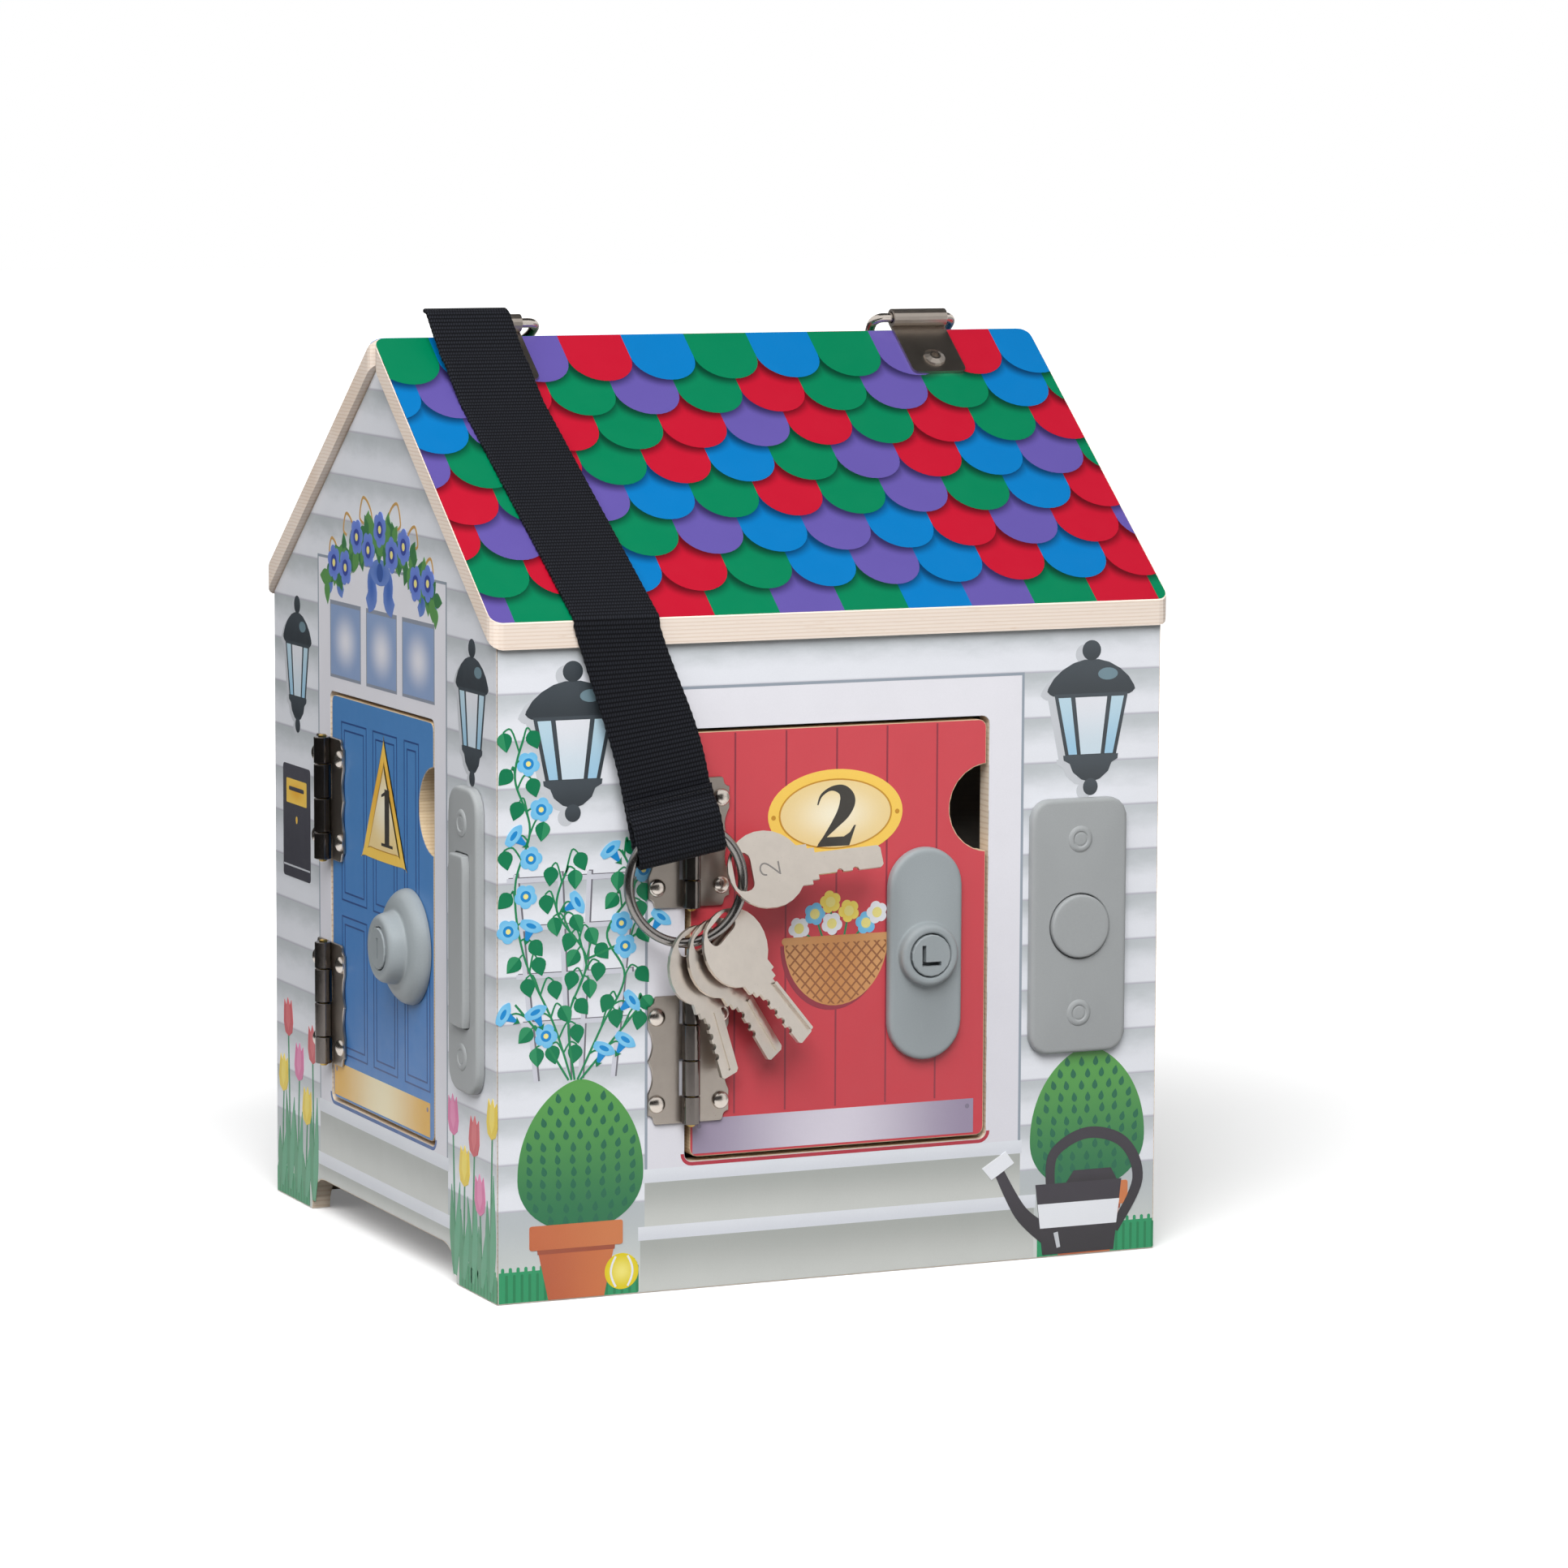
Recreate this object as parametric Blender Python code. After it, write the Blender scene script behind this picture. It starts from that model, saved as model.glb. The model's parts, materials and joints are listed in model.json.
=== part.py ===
import math

import bpy
import bmesh
from mathutils import Matrix, Vector

# Toy house with four numbered doors, each with its own bell, lock and key.
# Lengths are in metres. The origin is at the foot of the front wall, halfway
# along it and in the middle of its thickness. X runs to the right along the
# front, Y runs back through the house and Z runs up.

# House shell
HOUSE_WIDTH = 0.232
HOUSE_DEPTH = 0.2065
RIDGE_HEIGHT = 0.2983
EAVE_HEIGHT = 0.2145
PLY = 0.0063
EAVE_OVERHANG = 0.002
GABLE_OVERHANG = 0.0025
ROOF_CORNER_RADIUS = 0.004
SEAT_GAP = 0.0003
MITRE_GAP = 0.0004
CUT_OVERRUN = 0.002
ARCH_HALF_LENGTH = 0.068
ARCH_HEIGHT = 0.0118

# Rooms
SILL_HEIGHT = 0.041
SILL_STEP = 0.0005
CEILING_THICKNESS = 0.003
DIVIDER_THICKNESS = 0.003

# Door openings and doors
FRONT_OPENING_WIDTH = 0.1066
SIDE_OPENING_WIDTH = 0.097
OPENING_HEIGHT = 0.1382
OPENING_OFFSET = 0.0009
OPENING_CORNER_RADIUS = 0.0026
HINGE_SIDE_GAP = 0.0019
FREE_SIDE_GAP = 0.0011
DOOR_TOP_GAP = 0.0012
DOOR_BOTTOM_GAP = 0.0015
NOTCH_RADIUS = 0.0143
NOTCH_DEPTH = 0.013
NOTCH_HEIGHT = 0.1495

# Surface butt hinges
HINGE_LENGTH = 0.041
LOWER_HINGE_HEIGHT = 0.0743
UPPER_HINGE_HEIGHT = 0.1433
LEAF_WIDTH = 0.0139
LEAF_THICKNESS = 0.0009
LEAF_CORNER = 0.0031
SCALLOP_LENGTH = 0.0105
SCALLOP_DEPTH = 0.0015
KNUCKLE_RADIUS = 0.0029
KNUCKLE_GAP = 0.0003
OUTER_KNUCKLE_LENGTH = 0.009
BARREL_LIFT = 0.0001
PIN_RADIUS = 0.0014
PIN_STANDOUT = 0.0009
PIN_CLEARANCE = 0.0003
RIVET_RADIUS = 0.0029
RIVET_HEIGHT = 0.0017
RIVET_REACH = 0.011
RIVET_SPACING = 0.0278

# Locks
LOCK_HEIGHT = 0.1033
LOCK_1_DIAMETER = 0.0378
LOCK_1_INSET = 0.0205
LOCK_2_WIDTH = 0.0258
LOCK_2_HEIGHT = 0.069
LOCK_2_INSET = 0.0222
LOCK_3_WIDTH = 0.034
LOCK_3_HEIGHT = 0.046
LOCK_3_INSET = 0.022
LOCK_4_DIAMETER = 0.0338
LOCK_4_INSET = 0.022
LOCK_PLATE_THICKNESS = 0.0029
LOCK_EDGE_ROUNDING = 0.0011
LOCK_RING_RADIUS = 0.0101
LOCK_RING_HEIGHT = 0.0036
LOCK_RING_ROUNDING = 0.0012
DOME_RIM_HEIGHT = 0.0022
DOME_SHOULDER_RADIUS = 0.0122
DOME_SHOULDER_HEIGHT = 0.0056
DOME_COLLAR_RADIUS = 0.0106
DOME_COLLAR_HEIGHT = 0.0112
PLUG_RADIUS = 0.0068
PLUG_CLEARANCE = 0.0003
PLUG_STANDOUT = 0.0004
PLUG_EDGE = 0.0003
BARREL_RADIUS = 0.0054
DOOR_BORE_CLEARANCE = 0.0005
CAM_GAP = 0.0006
CAM_THICKNESS = 0.0022
CAM_REACH = 0.0285
CAM_WIDTH = 0.0088
KEYHOLE_DEPTH = 0.0045
KEYHOLE_SLOT = 0.0014
KEYHOLE_REACH = 0.0034

# Door bells: how far each plate's middle is from the wall's end, its height,
# its own sizes, the spread of its screws and the sizes of its button
FRONT_BELL_INSET = 0.03
SIDE_BELL_INSET = 0.02255
BELL_HEIGHT = 0.1093
BELL_1_LIFT = 0.0035
BELL_1_WIDTH = 0.025
BELL_1_LENGTH = 0.0973
BELL_1_CORNER = 0.008
BELL_1_SCREW_SPREAD = 0.0744
BUTTON_1_WIDTH = 0.013
BUTTON_1_LENGTH = 0.0548
BUTTON_1_CORNER = 0.0018
BELL_2_WIDTH = 0.0345
BELL_2_LENGTH = 0.0835
BELL_2_CORNER = 0.0065
BELL_2_SCREW_SPREAD = 0.057
BUTTON_2_DIAMETER = 0.0207
BELL_3_WIDTH = 0.03
BELL_3_LENGTH = 0.076
BELL_3_CORNER = 0.0149
BELL_3_SCREW_SPREAD = 0.054
BUTTON_3_SIZE = 0.0165
BUTTON_3_CORNER = 0.003
BELL_4_WIDTH = 0.034
BELL_4_LENGTH = 0.06
BELL_4_CORNER = 0.004
BELL_4_SCREW_SPREAD = 0.045
BUTTON_4_WIDTH = 0.0125
BUTTON_4_LENGTH = 0.0225
BELL_PLATE_THICKNESS = 0.0028
BELL_EDGE_ROUNDING = 0.0011
BELL_SCREW_RADIUS = 0.0034
BELL_SCREW_HEIGHT = 0.0007
BUTTON_STANDOUT = 0.0014
BUTTON_1_STANDOUT = 0.0022
BUTTON_CLEARANCE = 0.0004
BUTTON_TRAVEL = 0.0013
BUTTON_STOP_GAP = 0.0005
BUTTON_EDGE = 0.0007
STEM_RADIUS = 0.0028
STEM_CLEARANCE = 0.0006
STEM_REACH = 0.0026

# Ridge brackets and their rings. Insets are from the end of the house.
BRACKET_INSET = 0.039
BRACKET_WIDTH = 0.0196
BRACKET_METAL = 0.001
BRACKET_LENGTH = 0.0225
BRACKET_CORNER = 0.002
D_WIRE_RADIUS = 0.0016
D_WIRE_CLEARANCE = 0.0004
D_HALF_WIDTH = 0.0145
D_CORNER_RADIUS = 0.003
D_DEPTH = 0.0175
D_SHIFT = 0.0014
BRACKET_RIVET_RADIUS = 0.004
BRACKET_RIVET_HEIGHT = 0.0014
BRACKET_RIVET_BORE = 0.0013
BRACKET_RIVET_BORE_DEPTH = 0.001
BRACKET_RIVET_PLACE = 0.0158

# Webbing strap
STRAP_WIDTH = 0.029
STRAP_THICKNESS = 0.0016
STRAP_RIDGE_INSET = 0.0295
STRAP_EAVE_SETBACK = 0.0246
STRAP_HEM_REACH = 0.006
STRAP_REST_REACH = 0.034
TAIL_TOP = 0.2127
TAIL_JOINT_GAP = 0.0003
TAIL_LEAN = math.radians(11)
TAIL_TURN = math.radians(5)
TAIL_STRAIGHT_TOP = 0.034
FOLD_TOP = 0.0292
FOLD_INSIDE = 0.009
FOLD_CLOSE = 0.0043
FOLD_LAYER_GAP = 0.0003
SEAM_HEIGHT = 0.0027
SEAM_INSET = 0.0012

# Key ring and keys
RING_SETBACK = 0.0039
RING_HEIGHT = 0.1318
RING_STANDOFF = 0.01
RING_RADIUS = 0.0189
RING_WIRE_RADIUS = 0.0016
RING_CLEARANCE = 0.00035
KEY_THICKNESS = 0.0012
KEY_TILT = math.radians(24)
KEY_BOW_RADIUS = 0.0127
KEY_SLOT_SETBACK = 0.0079
KEY_SLOT_HALF_LENGTH = 0.0064
KEY_SLOT_HALF_WIDTH = 0.0031
KEY_SLOT_CORNER = 0.0026
KEY_REACH = 0.0383
KEY_BLADE_WIDTH = 0.0072
KEY_SHOULDER_REACH = 0.0165
KEY_SHOULDER_WIDTH = 0.0104
KEY_NECK_REACH = 0.0142
KEY_NECK_WIDTH = 0.0132
KEY_TIP_CUT = 0.0009
KEY_NOTCH_RADIUS = 0.0011
KEY_FOLD_DEPTH = 0.0022
KEY_FOLD_METAL = 0.0011
KEY_GROOVE_WIDTH = 0.0009
KEY_GROOVE_DEPTH = 0.0004

# Sound unit under the floor
SOUND_BOX_LENGTH = 0.096
SOUND_BOX_WIDTH = 0.064
SOUND_BOX_HEIGHT = 0.0235
SOUND_BOX_CORNER = 0.004
BAY_LENGTH = 0.058
BAY_WIDTH = 0.034
BAY_DEPTH = 0.0165
BAY_OFFSET = 0.014
COVER_LEDGE = 0.0025
COVER_THICKNESS = 0.0018
COVER_CORNER = 0.003
COVER_SCREW_RADIUS = 0.0025
COVER_SCREW_HEIGHT = 0.0013
COVER_SCREW_SLOT = 0.0008
GRILLE_SLOT_LENGTH = 0.018
GRILLE_SLOT_WIDTH = 0.0018
GRILLE_SLOT_DEPTH = 0.0015
GRILLE_PITCH = 0.004
GRILLE_OFFSET = -0.033

# The cut corner of a hinge leaf, as shares of its size: across and down.
CORNER_SHARES = ((1.0, 0.0), (0.69, 0.16), (0.5, 0.5), (0.16, 0.69), (0.0, 1.0))

SLOPE = math.atan2(RIDGE_HEIGHT - EAVE_HEIGHT, HOUSE_DEPTH / 2 + EAVE_OVERHANG)
FLOOR_TOP = SILL_HEIGHT - SILL_STEP
CEILING_BOTTOM = SILL_HEIGHT + OPENING_HEIGHT + SILL_STEP
BUTTON_BACK_LIFT = BUTTON_TRAVEL + BUTTON_STOP_GAP
BRACKET_X = HOUSE_WIDTH / 2 - BRACKET_INSET
STRAP_RIDGE_X = STRAP_RIDGE_INSET - HOUSE_WIDTH / 2
FRONT_OPENING_LEFT = OPENING_OFFSET - FRONT_OPENING_WIDTH / 2
STRAP_EAVE_X = FRONT_OPENING_LEFT - STRAP_EAVE_SETBACK
RING_X = FRONT_OPENING_LEFT - RING_SETBACK
HINGE_AXIS_OUT = SEAT_GAP + BARREL_LIFT + KNUCKLE_RADIUS
RIM_RADIUS = KNUCKLE_RADIUS + KNUCKLE_GAP

# What two opposite walls share: how far the outer face is from the middle of
# the house, the width of the door's opening and where along the wall the bell is.
SIDE_WALL = {
    "reach": HOUSE_WIDTH / 2, "opening": SIDE_OPENING_WIDTH,
    "bell_x": HOUSE_DEPTH / 2 - SIDE_BELL_INSET,
}
FRONT_WALL = {
    "reach": HOUSE_DEPTH / 2, "opening": FRONT_OPENING_WIDTH,
    "bell_x": HOUSE_WIDTH / 2 - FRONT_BELL_INSET,
}

# One entry for each door: its wall, the turn of that wall about Z, and the
# door's own fittings. Doors 3 and 4 are on the far sides.
DOORS = {
    1: {
        **SIDE_WALL, "wall": "left_wall", "turn": -math.pi / 2, "colour": (0.02, 0.16, 0.47),
        "lock": "dome", "lock_width": LOCK_1_DIAMETER, "lock_height": LOCK_1_DIAMETER,
        "lock_inset": LOCK_1_INSET, "keyhole": "I",
        "bell_z": BELL_HEIGHT + BELL_1_LIFT, "bell_width": BELL_1_WIDTH, "bell_height": BELL_1_LENGTH,
        "bell_corner": BELL_1_CORNER, "screw_spread": BELL_1_SCREW_SPREAD,
        "button_width": BUTTON_1_WIDTH, "button_height": BUTTON_1_LENGTH, "button_corner": BUTTON_1_CORNER,
        "button_out": BUTTON_1_STANDOUT,
    },
    2: {
        **FRONT_WALL, "wall": "front_wall", "turn": 0.0, "colour": (0.72, 0.06, 0.08),
        "lock": "plate", "lock_width": LOCK_2_WIDTH, "lock_height": LOCK_2_HEIGHT,
        "lock_inset": LOCK_2_INSET, "keyhole": "L",
        "bell_z": BELL_HEIGHT, "bell_width": BELL_2_WIDTH, "bell_height": BELL_2_LENGTH,
        "bell_corner": BELL_2_CORNER, "screw_spread": BELL_2_SCREW_SPREAD,
        "button_width": BUTTON_2_DIAMETER, "button_height": BUTTON_2_DIAMETER,
        "button_corner": BUTTON_2_DIAMETER / 2, "button_out": BUTTON_STANDOUT,
    },
    3: {
        **SIDE_WALL, "wall": "right_wall", "turn": math.pi / 2, "colour": (0.03, 0.36, 0.14),
        "lock": "plate", "lock_width": LOCK_3_WIDTH, "lock_height": LOCK_3_HEIGHT,
        "lock_inset": LOCK_3_INSET, "keyhole": "U",
        "bell_z": BELL_HEIGHT, "bell_width": BELL_3_WIDTH, "bell_height": BELL_3_LENGTH,
        "bell_corner": BELL_3_CORNER, "screw_spread": BELL_3_SCREW_SPREAD,
        "button_width": BUTTON_3_SIZE, "button_height": BUTTON_3_SIZE, "button_corner": BUTTON_3_CORNER,
        "button_out": BUTTON_STANDOUT,
    },
    4: {
        **FRONT_WALL, "wall": "back_wall", "turn": math.pi, "colour": (0.30, 0.13, 0.45),
        "lock": "dome", "lock_width": LOCK_4_DIAMETER, "lock_height": LOCK_4_DIAMETER,
        "lock_inset": LOCK_4_INSET, "keyhole": "V",
        "bell_z": BELL_HEIGHT, "bell_width": BELL_4_WIDTH, "bell_height": BELL_4_LENGTH,
        "bell_corner": BELL_4_CORNER, "screw_spread": BELL_4_SCREW_SPREAD,
        "button_width": BUTTON_4_WIDTH, "button_height": BUTTON_4_LENGTH,
        "button_corner": BUTTON_4_WIDTH / 2, "button_out": BUTTON_STANDOUT,
    },
}

# Where each key hangs: its angle round the ring, how far it is turned in its
# own plane, the fold along its blade and the notches as shares of the blade.
KEYS = {
    1: {
        "place": math.radians(-84), "turn": math.radians(13),
        "fold": "I", "notch_shares": (0.1, 0.26, 0.42, 0.58),
    },
    2: {
        "place": math.radians(8), "turn": math.radians(-4),
        "fold": "L", "notch_shares": (0.28, 0.52),
    },
    3: {
        "place": math.radians(-69), "turn": math.radians(12),
        "fold": "U", "notch_shares": (0.1, 0.3, 0.44),
    },
    4: {
        "place": math.radians(-53), "turn": math.radians(2),
        "fold": "V", "notch_shares": (0.12, 0.3, 0.48, 0.66),
    },
}


def make_material(name, colour, roughness, metallic=0.0):
    material = bpy.data.materials.new(name)
    material.use_nodes = True
    shader = material.node_tree.nodes["Principled BSDF"]
    shader.inputs["Base Color"].default_value = (*colour, 1.0)
    shader.inputs["Roughness"].default_value = roughness
    shader.inputs["Metallic"].default_value = metallic
    return material


def outward(u, v, w):
    # Faces away from a wall: u to the right, v up, w out of the wall.
    return Vector((u, -w, v))


def upright(u, v, w):
    return Vector((u, v, w))


def sideways(u, v, w):
    # A profile in the YZ plane, carried along X.
    return Vector((w, u, v))


def rounded_outline(width, height, radius, centre=(0.0, 0.0), steps=5):
    # A rectangle with round corners, anticlockwise from the right-hand side.
    points = []
    for corner in range(4):
        reach_u = (width / 2 - radius) * (1 if corner in (0, 3) else -1)
        reach_v = (height / 2 - radius) * (1 if corner in (0, 1) else -1)
        for step in range(steps + 1):
            angle = math.pi / 2 * (corner + step / steps)
            points.append((
                centre[0] + reach_u + radius * math.cos(angle),
                centre[1] + reach_v + radius * math.sin(angle),
            ))
    tidy = []
    for point in points:
        if not tidy or math.dist(point, tidy[-1]) > width * 1e-5:
            tidy.append(point)
    if math.dist(tidy[0], tidy[-1]) <= width * 1e-5:
        tidy.pop()
    return tidy


def circle_outline(radius, centre=(0.0, 0.0), count=24):
    return [
        (
            centre[0] + radius * math.cos(math.tau * (step + 0.5) / count),
            centre[1] + radius * math.sin(math.tau * (step + 0.5) / count),
        )
        for step in range(count)
    ]


def lofted(levels, facing):
    # Joins outlines of equal length into one closed solid, with flat ends.
    shape = bmesh.new()
    rings = [[shape.verts.new(facing(u, v, w)) for u, v in outline] for outline, w in levels]
    for lower, upper in zip(rings, rings[1:]):
        for index in range(len(lower)):
            following = (index + 1) % len(lower)
            shape.faces.new((lower[index], lower[following], upper[following], upper[index]))
    shape.faces.new(rings[0][::-1])
    shape.faces.new(rings[-1])
    return to_mesh(shape)


def to_mesh(shape):
    bmesh.ops.recalc_face_normals(shape, faces=shape.faces)
    mesh = bpy.data.meshes.new("piece")
    shape.to_mesh(mesh)
    shape.free()
    return mesh


def tube(points, radius, sides, closed):
    # A round bar along a path of points, either closed on itself or capped.
    shape = bmesh.new()
    count = len(points)
    rings = []
    normal = None
    for index, point in enumerate(points):
        before = points[(index - 1) % count] if closed else points[max(index - 1, 0)]
        after = points[(index + 1) % count] if closed else points[min(index + 1, count - 1)]
        tangent = (after - before).normalized()
        if normal is None:
            normal = tangent.orthogonal().normalized()
        normal = (normal - tangent * normal.dot(tangent)).normalized()
        second = tangent.cross(normal)
        rings.append([
            shape.verts.new(
                point
                + normal * radius * math.cos(math.tau * side / sides)
                + second * radius * math.sin(math.tau * side / sides)
            )
            for side in range(sides)
        ])
    pairs = list(zip(rings, rings[1:]))
    if closed:
        pairs.append((rings[-1], rings[0]))
    for lower, upper in pairs:
        for side in range(sides):
            following = (side + 1) % sides
            shape.faces.new((lower[side], lower[following], upper[following], upper[side]))
    if not closed:
        shape.faces.new(rings[0][::-1])
        shape.faces.new(rings[-1])
    return to_mesh(shape)


def ribbon(stations, width, thickness):
    # Flat webbing through stations of (centre, direction across, face normal).
    shape = bmesh.new()
    rings = []
    for centre, across, normal in stations:
        rings.append([
            shape.verts.new(centre + across * width / 2 * side + normal * thickness / 2 * face)
            for side, face in ((-1, -1), (1, -1), (1, 1), (-1, 1))
        ])
    for lower, upper in zip(rings, rings[1:]):
        for index in range(4):
            following = (index + 1) % 4
            shape.faces.new((lower[index], lower[following], upper[following], upper[index]))
    shape.faces.new(rings[0][::-1])
    shape.faces.new(rings[-1])
    return to_mesh(shape)


def combined(mesh, tool_mesh, operation):
    # Cuts, joins or trims one solid by another and gives back a new mesh.
    body = bpy.data.objects.new("body", mesh)
    tool = bpy.data.objects.new("tool", tool_mesh)
    for piece in (body, tool):
        bpy.context.scene.collection.objects.link(piece)
    modifier = body.modifiers.new("combine", "BOOLEAN")
    modifier.operation = operation
    modifier.solver = "EXACT"
    modifier.object = tool
    depsgraph = bpy.context.evaluated_depsgraph_get()
    result = bpy.data.meshes.new_from_object(body.evaluated_get(depsgraph))
    for piece in (body, tool):
        bpy.data.objects.remove(piece)
    return result


def cut(mesh, *tools):
    for tool in tools:
        mesh = combined(mesh, tool, "DIFFERENCE")
    return mesh


def joined(mesh, *tools):
    for tool in tools:
        mesh = combined(mesh, tool, "UNION")
    return mesh


def add_piece(name, mesh, material, parent, origin=(0.0, 0.0, 0.0), turn=None):
    # Places a mesh that was drawn in its parent's frame, with its own origin.
    origin = Vector(origin)
    if turn is None:
        mesh.transform(Matrix.Translation(-origin))
    mesh.name = name
    mesh.materials.clear()
    mesh.materials.append(material)
    mesh.shade_smooth()
    mesh.set_sharp_from_angle(angle=math.radians(35))
    piece = bpy.data.objects.new(name, mesh)
    bpy.context.scene.collection.objects.link(piece)
    piece.parent = parent
    piece.matrix_local = turn if turn is not None else Matrix.Translation(origin)
    return piece


def add_empty(name, parent, place):
    empty = bpy.data.objects.new(name, None)
    empty.empty_display_size = PLY
    bpy.context.scene.collection.objects.link(empty)
    empty.parent = parent
    empty.matrix_local = place
    return empty


def roof_underside(distance):
    # Height of the underside of the roof at a distance from the ridge line.
    return RIDGE_HEIGHT - distance * math.tan(SLOPE) - PLY / math.cos(SLOPE)


def wall_top(distance):
    return roof_underside(distance) - SEAT_GAP / math.cos(SLOPE)


def opening_span(width):
    left = OPENING_OFFSET - width / 2
    return left, left + width


def hinge_axis_x(width):
    return opening_span(width)[0] + HINGE_SIDE_GAP / 2


def door_span(width):
    left, right = opening_span(width)
    return left + HINGE_SIDE_GAP, right - FREE_SIDE_GAP


def opening_cutter(width):
    outline = rounded_outline(
        width, OPENING_HEIGHT, OPENING_CORNER_RADIUS,
        (OPENING_OFFSET, SILL_HEIGHT + OPENING_HEIGHT / 2),
    )
    return lofted([(outline, -PLY - CUT_OVERRUN), (outline, CUT_OVERRUN)], outward)


def stem_cutter(door):
    outline = circle_outline(STEM_RADIUS + STEM_CLEARANCE, (door["bell_x"], door["bell_z"]), 12)
    return lofted([(outline, -PLY - CUT_OVERRUN), (outline, CUT_OVERRUN)], outward)


def eave_wall(door):
    # A front or back wall: mitred ends and a top bevelled to the roof's slope.
    outer_half = HOUSE_WIDTH / 2 - MITRE_GAP
    inner_half = outer_half - PLY
    outer_top = wall_top(HOUSE_DEPTH / 2)
    inner_top = wall_top(HOUSE_DEPTH / 2 - PLY)
    outer = [(-outer_half, 0.0), (outer_half, 0.0), (outer_half, outer_top), (-outer_half, outer_top)]
    inner = [(-inner_half, 0.0), (inner_half, 0.0), (inner_half, inner_top), (-inner_half, inner_top)]
    mesh = lofted([(inner, -PLY), (outer, 0.0)], outward)
    return cut(mesh, opening_cutter(door["opening"]), stem_cutter(door))


def gable_wall(door):
    # A side wall: it rises to the ridge and has a long low arch in its foot.
    def outline(half):
        return [
            (-half, 0.0), (half, 0.0), (half, wall_top(half)),
            (0.0, wall_top(0.0)), (-half, wall_top(half)),
        ]
    mesh = lofted([
        (outline(HOUSE_DEPTH / 2 - PLY), -PLY),
        (outline(HOUSE_DEPTH / 2), 0.0),
    ], outward)
    arch = rounded_outline(2 * ARCH_HALF_LENGTH, 2 * ARCH_HEIGHT, ARCH_HEIGHT)
    arch_cutter = lofted([(arch, -PLY - CUT_OVERRUN), (arch, CUT_OVERRUN)], outward)
    return cut(mesh, opening_cutter(door["opening"]), stem_cutter(door), arch_cutter)


def door_mesh(door):
    left, right = door_span(door["opening"])
    bottom = SILL_HEIGHT + DOOR_BOTTOM_GAP
    top = SILL_HEIGHT + OPENING_HEIGHT - DOOR_TOP_GAP
    outline = rounded_outline(
        right - left, top - bottom, OPENING_CORNER_RADIUS,
        ((left + right) / 2, (bottom + top) / 2), 3,
    )
    mesh = lofted([(outline, -PLY), (outline, 0.0)], outward)
    notch = circle_outline(NOTCH_RADIUS, (right + NOTCH_RADIUS - NOTCH_DEPTH, NOTCH_HEIGHT), 24)
    bore = circle_outline(BARREL_RADIUS + DOOR_BORE_CLEARANCE, (right - door["lock_inset"], LOCK_HEIGHT), 16)
    cutters = [
        lofted([(shape, -PLY - CUT_OVERRUN), (shape, CUT_OVERRUN)], outward)
        for shape in (notch, bore)
    ]
    return cut(mesh, *cutters)


def roof_panel(side):
    # side is -1 for the front slope and 1 for the back slope.
    eave = HOUSE_DEPTH / 2 + EAVE_OVERHANG
    plumb = PLY / math.cos(SLOPE)
    near = MITRE_GAP / 2
    near_top = RIDGE_HEIGHT - near * math.tan(SLOPE)
    profile = [
        (side * near, near_top), (side * eave, EAVE_HEIGHT),
        (side * eave, EAVE_HEIGHT - plumb), (side * near, near_top - plumb),
    ]
    half = HOUSE_WIDTH / 2 + GABLE_OVERHANG
    mesh = lofted([(profile, -half), (profile, half)], sideways)
    shape = bmesh.new()
    shape.from_mesh(mesh)
    corners = [
        edge for edge in shape.edges
        if abs(edge.verts[0].co.y - edge.verts[1].co.y) < near
        and abs(edge.verts[0].co.x - edge.verts[1].co.x) < near
    ]
    bmesh.ops.bevel(shape, geom=corners, offset=ROOF_CORNER_RADIUS, segments=4, profile=0.5, affect="EDGES")
    return to_mesh(shape)


def knuckle_spans():
    # Four knuckles, the outer two shorter than the inner two.
    half = HINGE_LENGTH / 2
    bounds = (-half, OUTER_KNUCKLE_LENGTH - half, 0.0, half - OUTER_KNUCKLE_LENGTH, half)
    return list(zip(bounds, bounds[1:]))


def leaf_outline(own_knuckles):
    # One hinge leaf from its barrel to its scalloped outer edge, in (reach, height).
    spans = knuckle_spans()
    half = HINGE_LENGTH / 2
    points = []
    for index, (low, high) in enumerate(spans):
        own = index % 2 == own_knuckles
        shrink = KNUCKLE_GAP / 2 if own else -KNUCKLE_GAP / 2
        if low > -half:
            low += shrink
        if high < half:
            high -= shrink
        inner = LEAF_THICKNESS / 2 if own else RIM_RADIUS
        points += [(inner, low), (inner, high)]
    edge = []
    for across, down in CORNER_SHARES:
        edge.append((LEAF_WIDTH - LEAF_CORNER * across, half - LEAF_CORNER * down))
    samples = 4
    for sample in range(samples):
        share = sample / samples
        edge.append((LEAF_WIDTH - SCALLOP_DEPTH * math.sin(math.pi * share), SCALLOP_LENGTH * (1 - share)))
    lower_edge = [(reach, -height) for reach, height in reversed(edge)]
    return points + edge + [(LEAF_WIDTH, 0.0)] + lower_edge


def rivet_head(radius, height, centre, base, sides=8):
    # A domed head that stands on a plate whose front face is at base.
    dome_shares = ((1.0, -0.3), (0.92, 0.5), (0.5, 1.0))
    levels = [
        (circle_outline(radius * across, centre, sides), base + height * along)
        for across, along in dome_shares
    ]
    return lofted(levels, outward)


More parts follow.
